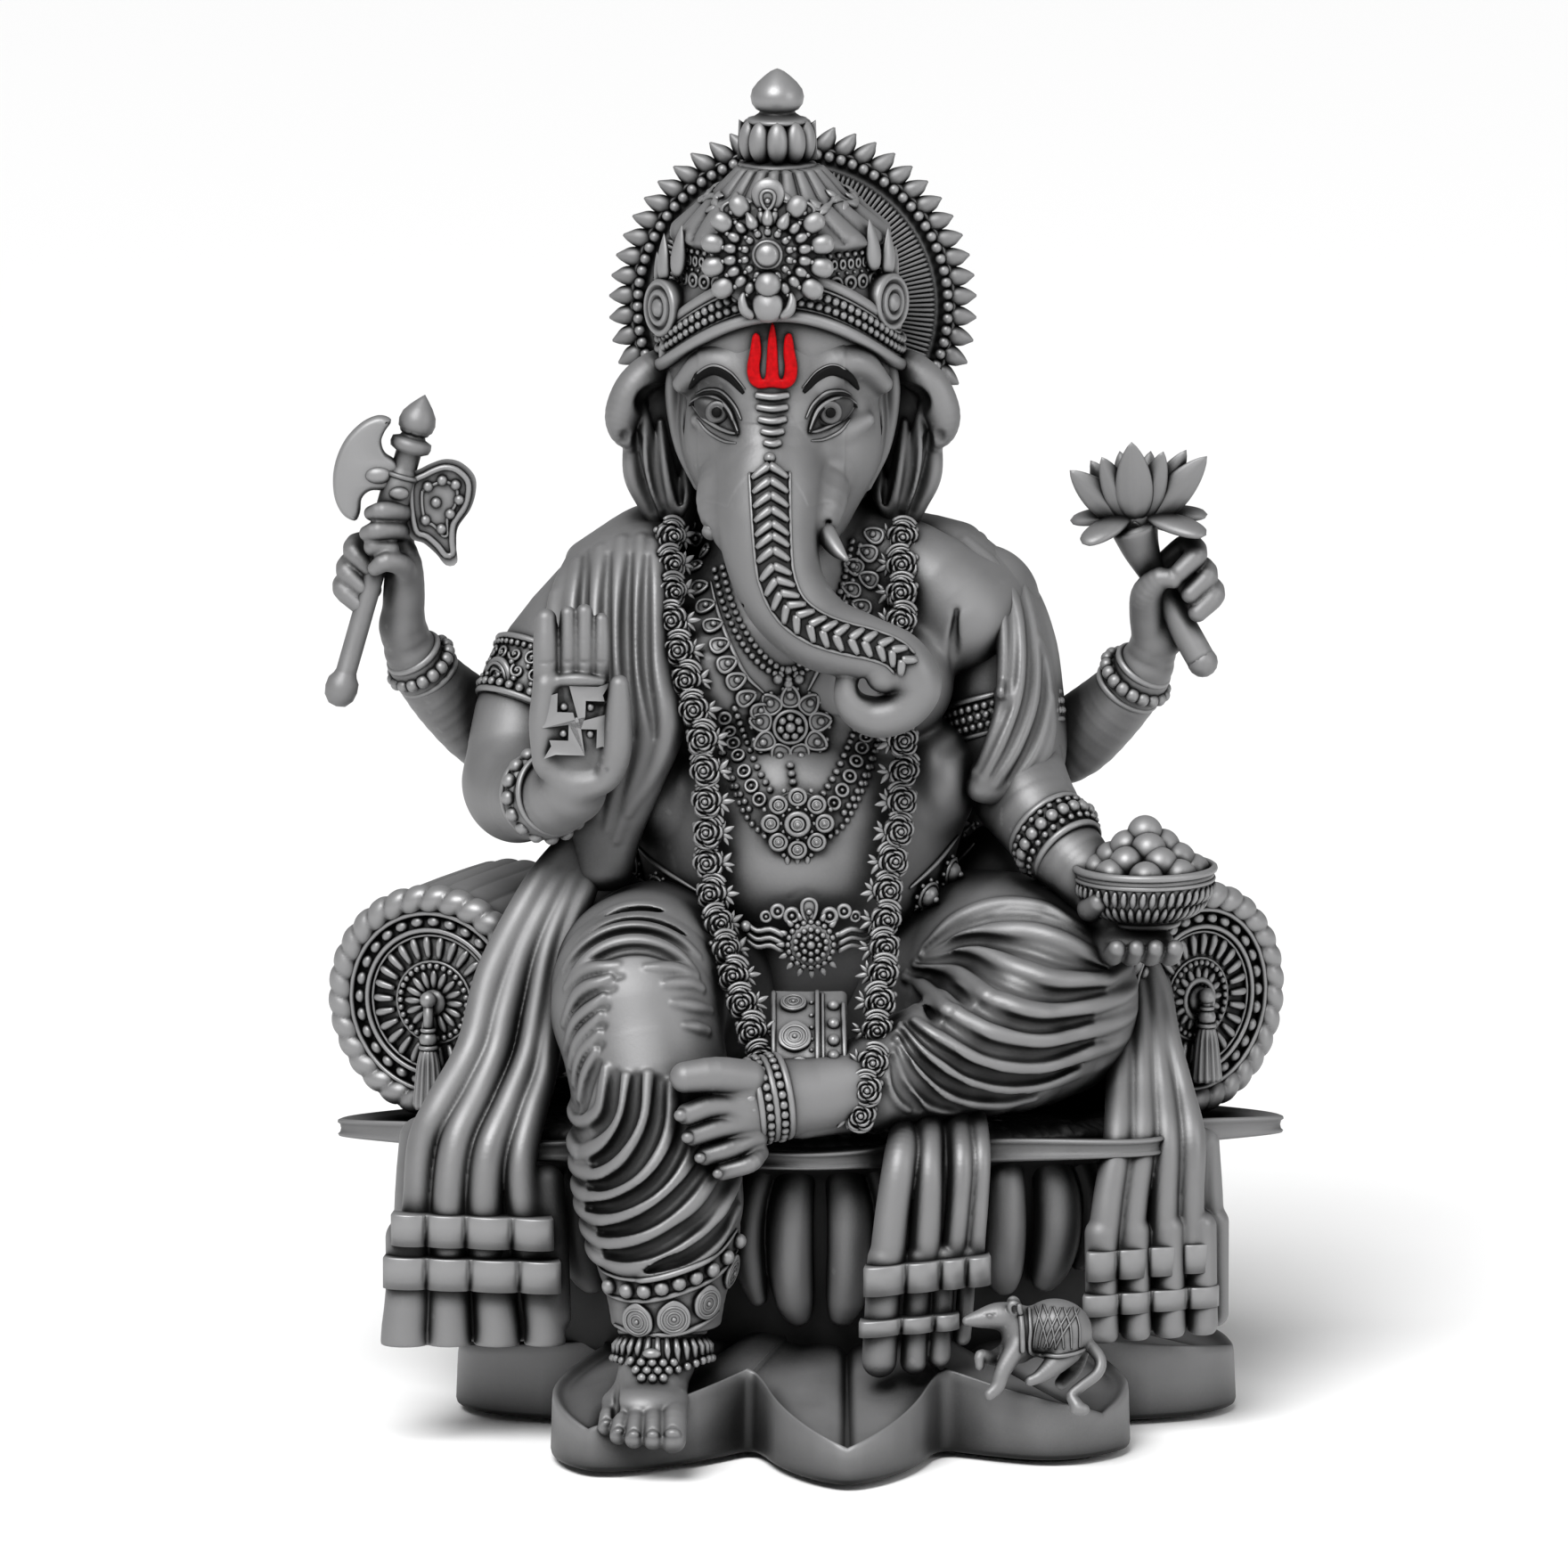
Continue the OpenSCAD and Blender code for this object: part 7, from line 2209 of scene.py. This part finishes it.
def armlets():
    heap = Heap()
    a, b = np.array([-66.6, 8.2, 170.6]), np.array([-71.4, 3.6, 159.4])
    axis = unit(b - a)
    turn = facing(axis)
    length = float(np.linalg.norm(b - a))
    heap.put(lathe([(9, -0.8), (11.7, -0.8), (12.0, 0), (11.6, length), (11.2, length + 0.8),
                    (9, length + 0.8)], 72), a, turn)
    band(heap, a, b, 12.0, ((0.2, 0.8, 0.3), (length, 0.8, 0.0)),
         ((1.6, 44, 0.72, 0.4), (length - 1.6, 30, 1.05, 0.3)))
    scroll = [(1.7 * math.cos(t) * (1 - t / 9.5), 1.7 * math.sin(t) * (1 - t / 9.5), 0,
               0.42) for t in np.linspace(0, 7.5, 20)]
    curl = together(rope(scroll, 7), (SMALL_BALL, (0, 0, 0), None, 0.5))
    for row, along in enumerate((4.2, 7.8)):
        for k in range(18):
            t = 2 * math.pi * (k + 0.5 * row) / 18
            way = turn @ np.array([math.cos(t), math.sin(t), 0])
            spot = a + axis * along + way * 12.3
            heap.put(curl, spot, facing(way, axis) @ spin(90 * (k % 4) + 45 * row))
            heap.put(SMALL_BALL, spot + axis * 2.0 + way * 0.1, size=0.7)
    boss_way = unit(turn @ np.array([0.0, 0.0, 0.0]) + np.array([-0.80, -0.60, 0.0]))
    spot = a + axis * 3.6 + boss_way * 12.2
    plaque = together((lathe([(0.05, -1), (4.6, -1), (4.8, 0.2), (4.4, 0.9), (0.05, 1.0)], 40)),
                      (hoop(3.4, 0.45, 36, 7), (0, 0, 1.0)), (hoop(2.1, 0.4, 30, 7), (0, 0, 1.1)),
                      (BALL, (0, 0, 0.8), None, 1.1))
    heap.put(plaque, spot, facing(boss_way))
    band(heap, (34.0, 8.6, 160.4), (36.0, 6.6, 152.0), 13.6,
         ((-1.0, 0.7, 0.0), (7.0, 0.7, -0.3), (3.0, 2.6, -2.2)),
         ((0.9, 44, 0.95, 0.2), (3.0, 44, 0.95, 0.3), (5.1, 44, 0.95, 0.1)))
    make("armlets", heap.shape(), "armlets", RELIEF)


armlets()


def anklets():
    heap = Heap()
    turn = turned(-12, 0, 0)
    centre = np.array([-41.0, -57.0, 28.0])
    heap.put(hoop(9.0, 1.0, 72, 10), centre + np.array([0, 0, 1.8]), turn @ scaled(1.0, 0.92, 1.0))
    for k in range(30):
        t = 2 * math.pi * k / 30
        way = turn @ np.array([math.cos(t), math.sin(t), 0])
        drop = 5.0 * max(0.0, -math.sin(t)) ** 3
        p = centre + way * 9.4 + np.array([0, 0, 0.2])
        q = centre + way * 10.8 + np.array([0, 0, -3.2 - drop * 0.5])
        heap.put(rope([list(p) + [0.6], list((p + q) / 2 + way * 0.5) + [0.85], list(q) + [0.5]], 8))
        heap.put(BALL, centre + way * 11.0 + np.array([0, 0, -4.4 - drop * 0.6]), size=0.95)
    for row in range(3):
        for k in range(5 - row):
            x = -43.2 + (k - (4 - row) / 2) * 2.2
            z = 24.6 - row * 1.6
            p, n, met = FOOT_R.front(x, z)
            if met[0]:
                heap.put(BALL, p[0] + n[0] * 0.5, size=1.1)
    p, n, met = FOOT_R.front(-43.2, 26.4)
    if met[0]:
        heap.put(BALL, p[0] + n[0] * 0.8, scaled(2.2, 1.5, 1.3))
    band(heap, (-20.8, -54.6, 81.4), (-13.4, -53.0, 82.4), 8.9,
         ((0, 0.9, 0.1), (6.6, 0.9, 0.1), (3.3, 1.0, 0)), ((1.7, 26, 1.05, 0.3), (4.9, 26, 1.05, 0.3)))
    for k in range(22):
        t = 2 * math.pi * k / 22
        axis = unit([7.4, 1.6, 1.0])
        frame_of = facing(axis)
        way = frame_of @ np.array([math.cos(t), math.sin(t), 0])
        start = np.array([-21.4, -54.7, 81.3]) + way * 8.8
        heap.put(petal(3.6, 2.0, 1.3), start, np.stack([np.cross(-axis, way), -axis, way], axis=1))
    make("anklets", heap.shape(), "anklets", RELIEF)


anklets()


# ---------------------------------------------------------------- things held, and the mouse

def axe():
    turn = facing([0.0, -1.0, 0.0])

    def flat(points, thick, bevel, y):
        outline = round_outline([(x, z) for x, z in points], 0.7)
        return plate(outline, thick, bevel), (0, y, 0), turn

    blade = Heap()
    crescent = [(-104.6, 227.4), (-108.6, 225.6), (-112.4, 221.4), (-114.6, 215.6), (-114.6, 209.6),
                (-112.8, 205.4), (-110.0, 203.8), (-108.8, 205.6), (-108.4, 208.8), (-106.4, 210.6),
                (-102.6, 210.8), (-99.5, 213), (-100.6, 217.0), (-103.2, 219.0), (-104.0, 221.6),
                (-103.2, 224.0), (-101.8, 226.4)]
    blade.put(*flat(crescent, 3.2, 1.1, -2.6))
    heart = [(-98.2, 213.4), (-95.0, 215.2), (-92.6, 216.4), (-89.6, 217.3), (-86.4, 216.6),
             (-83.6, 213.8), (-83.4, 210.4), (-84.6, 206.6), (-87.4, 202.4), (-87.8, 198.0),
             (-87.6, 194.6), (-89.4, 194.2), (-91.4, 196.6), (-94.4, 199.2), (-97.0, 200.2),
             (-98.0, 203.4), (-98.6, 208.4)]
    blade.put(*flat(heart, 2.6, 0.5, -2.2))
    inner = np.array(round_outline([(-91 + (x + 91) * 0.84, 207.5 + (z - 207.5) * 0.86) for x, z in heart],
                                   0.9))
    for scale, thick in ((1.0, 0.75), (0.62, 0.4)):
        loop = np.column_stack([-91 + (inner[:, 0] + 91) * scale, np.full(len(inner), -5.0),
                                207.5 + (inner[:, 1] - 207.5) * scale, np.full(len(inner), thick)])
        blade.put(rope(np.vstack([loop, loop[:1]]), 8))
    for x, z in ((-93.6, 211.6), (-90.4, 213.0), (-87.4, 212.0), (-86.6, 208.6), (-88.6, 205.4),
                 (-90.6, 202.0), (-94.2, 204.0), (-91.8, 208.0)):
        blade.put(BALL, (x, -5.0, z), size=1.25)
    blade.put(BALL, (-104.6, -5.4, 214.2), scaled(3.2, 1.4, 2.0))
    make("axe_blade", blade.shape(), "axe_blade", RELIEF)
    handle = Heap()
    foot, top = np.array([-113.2, -5.6, 165.6]), np.array([-94.6, -2.4, 230.6])
    axis = unit(top - foot)
    frame_of = facing(axis)
    length = float(np.linalg.norm(top - foot))
    profile = [(0.05, -3.9), (2.0, -3.4), (3.3, -1.8), (3.7, 0.2), (3.5, 2.2), (2.7, 3.4), (2.35, 4.4),
               (2.35, 20), (2.5, 38), (2.7, 40), (3.5, 41), (3.8, 43), (3.8, 50), (3.4, 51), (2.9, 52),
               (2.9, 55.4), (4.4, 56.2), (4.7, 57.2), (4.5, 58.4), (3.0, 59), (2.6, 59.8), (3.9, 61),
               (4.2, 62.6), (3.8, 64.4), (2.6, 66.2), (1.2, 67.8), (0.05, 69)]
    handle.put(lathe([(r, z * length / 67.6) for r, z in profile], 40), foot, frame_of)
    for along in (41.5, 50.2):
        handle.put(hoop(3.7, 0.6, 40, 8), foot + axis * along, frame_of)
    handle.put(BALL, foot + axis * 46.6 + np.array([0.4, -3.9, 0]), scaled(2.3, 1.0, 1.5))
    for k in range(8):
        t = 2 * math.pi * k / 8
        side = frame_of @ np.array([math.cos(t), math.sin(t), 0])
        handle.put(petal(5.0, 3.4, 1.6, 1.0, 0.5), foot + axis * 59.6 + side * 2.6,
                   np.stack([np.cross(unit(axis + side * 0.1), side), unit(axis + side * 0.1), side],
                            axis=1))
    make("axe_handle", handle.shape(), "axe_handle", PEWTER)


axe()


def leaf_between(heap, base, tip, width, thick, out, point=0.75, belly=0.6, bend=0.0, ridge=0.0):
    base, tip = np.array(base, dtype=float), np.array(tip, dtype=float)
    way = unit(tip - base)
    out = unit(np.array(out, dtype=float) - way * np.dot(out, way))
    turn = np.stack([np.cross(way, out), way, out], axis=1)
    heap.put(petal(float(np.linalg.norm(tip - base)), width, thick, point, belly, bend, 16, 16, ridge),
             base, turn)


def lotus():
    heap = Heap()
    c = np.array([65.0, 1.0, 202.5])
    for x, y, z, width in ((63.6, -7.0, 222.0, 8.6), (70.8, -4.0, 219.4, 6.8), (57.0, -4.4, 218.2, 6.8),
                           (49.9, -2.0, 214.8, 7.4), (80.6, -2.0, 218.0, 7.6), (76.0, -0.4, 219.2, 6.6),
                           (54.6, 2.0, 216.4, 6.4), (61.2, 5.4, 218.0, 6.4), (68.2, 5.6, 218.0, 6.4),
                           (75.4, 7.0, 215.4, 6.4), (54.6, 7.6, 213.6, 6.4)):
        base = c + np.array([(x - c[0]) * 0.16, (y - c[1]) * 0.25 - 1.0, 0.6])
        leaf_between(heap, base, (x, y, z), width, 2.2, (0.15 * (x - 65) / 16, -1, 0.1), 0.8, 0.55, 0.0,
                     0.35)
    for x, y, z, width in ((52.6, -8.0, 199.6, 7.0), (80.4, -7.0, 201.4, 7.4), (50.0, 4.0, 203.0, 6.4),
                           (59, 12, 199, 6.8), (72, 12, 200, 6.8), (81.0, 4.0, 204.4, 6.0)):
        base = c + np.array([(x - c[0]) * 0.12, (y - c[1]) * 0.12, 2.0])
        leaf_between(heap, base, (x, y, z), width, 3.0, (0, -0.35, 1), 0.45, 0.5, -0.6)
    heap.put(BALL, c + np.array([0, 0, 0.4]), scaled(4.4, 4.0, 4.6))
    heap.put(BALL, c + np.array([0, -1, 6.0]), scaled(3.2, 3.2, 3.6))
    make("lotus_flower", heap.shape(), "lotus_flower", PEWTER)
    stem = Heap()
    stem.put(rope(smooth([(64.2, -0.6, 202.4, 5.6), (66.0, 1.0, 196.4, 4.2), (69, 1.8, 190, 2.9),
                          (72.4, 1, 184.6, 3.0), (76.2, -1, 177.6, 3.3), (79.4, -2.4, 172.0, 3.3)], 1.0),
                  20))
    stem.put(BALL, (79.8, -2.6, 171.4), size=3.45)
    for k in range(7):
        t = 2 * math.pi * k / 7
        side = np.array([math.cos(t), math.sin(t), 0.0])
        leaf_between(stem, (66.0, 1.4, 196.4), np.array([65.4, 1.0, 203.4]) + side * 4.6, 4.2, 1.2,
                     side + [0, 0, -0.2])
    make("lotus_stem", stem.shape(), "lotus_stem", PEWTER)


lotus()


def bowl():
    heap = Heap()
    centre = middle("sweet_bowl") * (1.0, 1.0, 0.0) + (0.1, 0.0, 0.0)
    profile = [(0.05, 115.4), (5.6, 115.4), (6.8, 116.0), (9.8, 117.4), (12.8, 119.8), (14.8, 123.0),
               (15.5, 126.2), (15.7, 128.2), (14.9, 128.6), (14.3, 127.0), (12.6, 124.0), (8, 121.6),
               (0.05, 121.0)]
    heap.put(lathe(profile, 96), centre)
    heap.put(hoop(15.5, 0.85, 96, 10), centre + np.array([0, 0, 128.2]))
    heap.put(hoop(15.3, 0.6, 96, 10), centre + np.array([0, 0, 125.9]))
    for rib in range(44):
        for low, high, turn_by in ((117.4, 121.2, 0.0), (121.4, 125.0, 0.5)):
            line = []
            for t in np.linspace(0, 1, 5):
                z = low + (high - low) * t
                r = np.interp(z, [116.0, 117.4, 119.8, 123.0, 126.2], [6.8, 9.8, 12.8, 14.8, 15.5]) + 0.25
                a = 2 * math.pi * (rib + turn_by + 0.3 * t) / 44
                line.append((r * math.cos(a), r * math.sin(a), z, 0.35 + 0.5 * math.sin(math.pi * t)))
            heap.put(rope(line, 7), centre)
    heap.put(hoop(7.2, 1.0, 64, 8), centre + np.array([0, 0, 115.9]))
    make("sweet_bowl", heap.shape(), "sweet_bowl", RELIEF)
    sweets = Heap()
    rows = [(8, 10.6, 127.4, 0.0), (6, 7.4, 130.0, 26), (4, 4.0, 132.8, 10), (1, 0.1, 136.0, 0)]
    for count, r, z, first in rows:
        for k in range(count):
            a = math.radians(first + 360 / count * k - 90)
            sweets.put(ball(24, 16), centre + np.array([r * math.cos(a), r * math.sin(a), z]), size=4.0)
    make("sweets", sweets.shape(), "sweets", RELIEF)


bowl()


def mouse():
    clay = Clay((20, -82, 8), (66, -52, 46), DETAIL)
    clay.stroke([(26.6, -68.4, 34.4, 1.1), (29.4, -68, 34.8, 2.0), (33.2, -67.2, 35.2, 3.0),
                 (36.6, -66.4, 34.4, 3.6), (40, -66, 32.4, 4.4)], soft=1.5)
    clay.blob((46.4, -65, 31.6), (8.0, 6.4, 7.0), turn=(0, 10, 0), soft=1.5)
    clay.blob((38.6, -66.6, 29.6), (4.2, 4.6, 5.4), turn=(0, 20, 0), soft=2)
    for side in (-1, 1):
        clay.blob((37.0, -67 + side * 2.4, 37.4), (1.6, 0.9, 1.9), turn=(0, -20, 0), soft=0.4)
    clay.blob((37.2, -70.2, 37.2), (0.8, 0.6, 1.1), turn=(0, -20, 0), soft=0.3, cut=True)
    clay.blob((31.6, -70.0, 35.9), (0.7, 0.5, 0.5), soft=0.3)
    clay.stroke([(30.5, -69.8, 36.2, 0.22), (31.5, -70.2, 36.7, 0.25), (32.7, -70.0, 36.2, 0.22)],
                soft=0.3, cut=True)
    clay.stroke([(26.2, -69.4, 33.2, 0.25), (29, -70, 32.9, 0.3), (32, -70, 32.8, 0.25)], soft=0.3,
                cut=True)
    clay.stroke([(37.6, -69.6, 28.6, 2.4), (34.6, -71.6, 24.0, 1.9), (33.4, -72.4, 20.6, 1.6),
                 (31.6, -73.2, 18.8, 1.3)], soft=1)
    clay.stroke([(36.4, -65.4, 27.6, 2.0), (32.4, -68.4, 26.0, 1.7), (29.6, -70.6, 27.0, 1.3),
                 (29.4, -71.4, 24.8, 1.0)], soft=1)
    clay.stroke([(48.6, -68.0, 27.6, 3.4), (45.6, -70, 24.6, 2.4), (42.6, -71.2, 22.4, 1.5),
                 (40.6, -71.8, 21.6, 1.2)], soft=1)
    clay.stroke([(50.6, -62.0, 26, 3.2), (50, -63, 22.0, 2.0), (47.6, -65, 19.6, 1.5)], soft=1)
    clay.stroke([(52.6, -65, 29.4, 1.5), (56.0, -66.4, 25.6, 1.35), (55.6, -68, 22.6, 1.3),
                 (52, -70, 20.0, 1.25), (49.8, -71.2, 18.2, 1.2), (50.8, -72.2, 16.2, 1.5)], soft=0.8)
    clay.blob((51.6, -72.6, 15.2), (2.2, 1.5, 1.5), soft=0.6)
    # saddle cloth with a hem, and a harness band round the chest
    pieces = Heap()
    pieces.put(clay.mesh())
    edge = [(40.2, 37.6), (40.6, 33), (40.6, 27.8), (46, 27.0), (52.4, 28.0)]
    pieces.put(face_rope(clay, edge, 0.5, 0.3, ends=0.8))
    pieces.put(face_rope(clay, [(38.0, 38.4), (38.8, 33), (38.8, 28)], 0.7, 0.2, ends=0.8))
    for k in range(5):
        pieces.put(face_rope(clay,
                             [(41.4 + 2.2 * k, 38.0 - 0.2 * k), (43.4 + 2.0 * k, 33.4),
                              (44.6 + 1.7 * k, 28.6)], 0.24, 0.1, ends=0.7))
        pieces.put(face_rope(clay,
                             [(51.6 - 2.1 * k, 37.0 + 0.2 * k), (48.0 - 1.6 * k, 32.4),
                              (46.0 - 1.2 * k, 28.6)], 0.24, 0.1, ends=0.7))
    make("mouse", pieces.shape(), "mouse", PEWTER)


mouse()


# ---------------------------------------------------------------- studio

def soft_light(name, at, size, power, aim=(-0.012, 0, 0.145)):
    data = bpy.data.lights.new(name, "AREA")
    data.shape = "RECTANGLE"
    data.size, data.size_y = size
    data.energy = power
    lamp = bpy.data.objects.new(name, data)
    lamp.location = at
    lamp.rotation_euler = (Vector(at) - Vector(aim)).to_track_quat("Z", "Y").to_euler()
    bpy.context.scene.collection.objects.link(lamp)


def studio():
    sun = bpy.data.lights.new("sky", "SUN")
    sun.energy = 3.3
    sun.angle = math.radians(34)
    lamp = bpy.data.objects.new("sky", sun)
    lamp.rotation_euler = Vector((-0.35, -1.0, 1.25)).to_track_quat("Z", "Y").to_euler()
    bpy.context.scene.collection.objects.link(lamp)
    soft_light("key", (-0.7, -1.5, 1.7), (1.3, 0.8), 16)
    soft_light("side", (1.4, -0.9, 0.8), (0.6, 1.0), 9)
    world = bpy.data.worlds.new("studio")
    world.use_nodes = True
    world.node_tree.nodes["Background"].inputs["Color"].default_value = (1, 1, 1, 1)
    world.node_tree.nodes["Background"].inputs["Strength"].default_value = 0.24
    bpy.context.scene.world = world
    bpy.context.scene.view_settings.view_transform = "Standard"
    span = 11.0
    mesh = bpy.data.meshes.new("floor")
    mesh.from_pydata([(-span, -span, 0), (span, -span, 0), (span, span, 0), (-span, span, 0)], [],
                     [(0, 1, 2, 3)])
    mesh.materials.append(floor_paint())
    floor = bpy.data.objects.new("floor", mesh)
    bpy.context.scene.collection.objects.link(floor)


def floor_paint():
    """Matt white paint with a barely uneven gloss."""
    paint = bpy.data.materials.new("floor_paint")
    paint.use_nodes = True
    nodes = paint.node_tree.nodes
    nodes["Principled BSDF"].inputs["Base Color"].default_value = (0.93, 0.93, 0.93, 1)
    texture = nodes.new("ShaderNodeTexNoise")
    texture.inputs["Scale"].default_value = 4.0
    gloss = nodes.new("ShaderNodeMapRange")
    gloss.inputs["To Min"].default_value = 0.85
    gloss.inputs["To Max"].default_value = 0.95
    paint.node_tree.links.new(texture.outputs["Fac"], gloss.inputs["Value"])
    paint.node_tree.links.new(gloss.outputs["Result"], nodes["Principled BSDF"].inputs["Roughness"])
    return paint


def camera():
    """A long lens at the photograph's angle: straight from the front, ten degrees up."""
    data = bpy.data.cameras.new("camera")
    data.lens = 400
    view = bpy.data.objects.new("camera", data)
    aim = Vector((-0.014, 0, 0.1432))
    tilt = math.radians(10)
    away = 0.352 * data.lens / data.sensor_width
    view.location = aim + Vector((0, -away * math.cos(tilt), away * math.sin(tilt)))
    view.rotation_euler = (view.location - aim).to_track_quat("Z", "Y").to_euler()
    data.clip_end = 50
    bpy.context.scene.collection.objects.link(view)
    bpy.context.scene.camera = view


HIDDEN = {"base_dowels": STEEL, "arm_pins": STEEL, "felt_pad": FELT_PAINTED_SHADOW}
for node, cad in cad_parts.items():
    cad.data.materials.clear()
    cad.data.materials.append(HIDDEN.get(node, PEWTER))
studio()
camera()


def corners(box):
    return [[float(v) for v in corner] for corner in box]
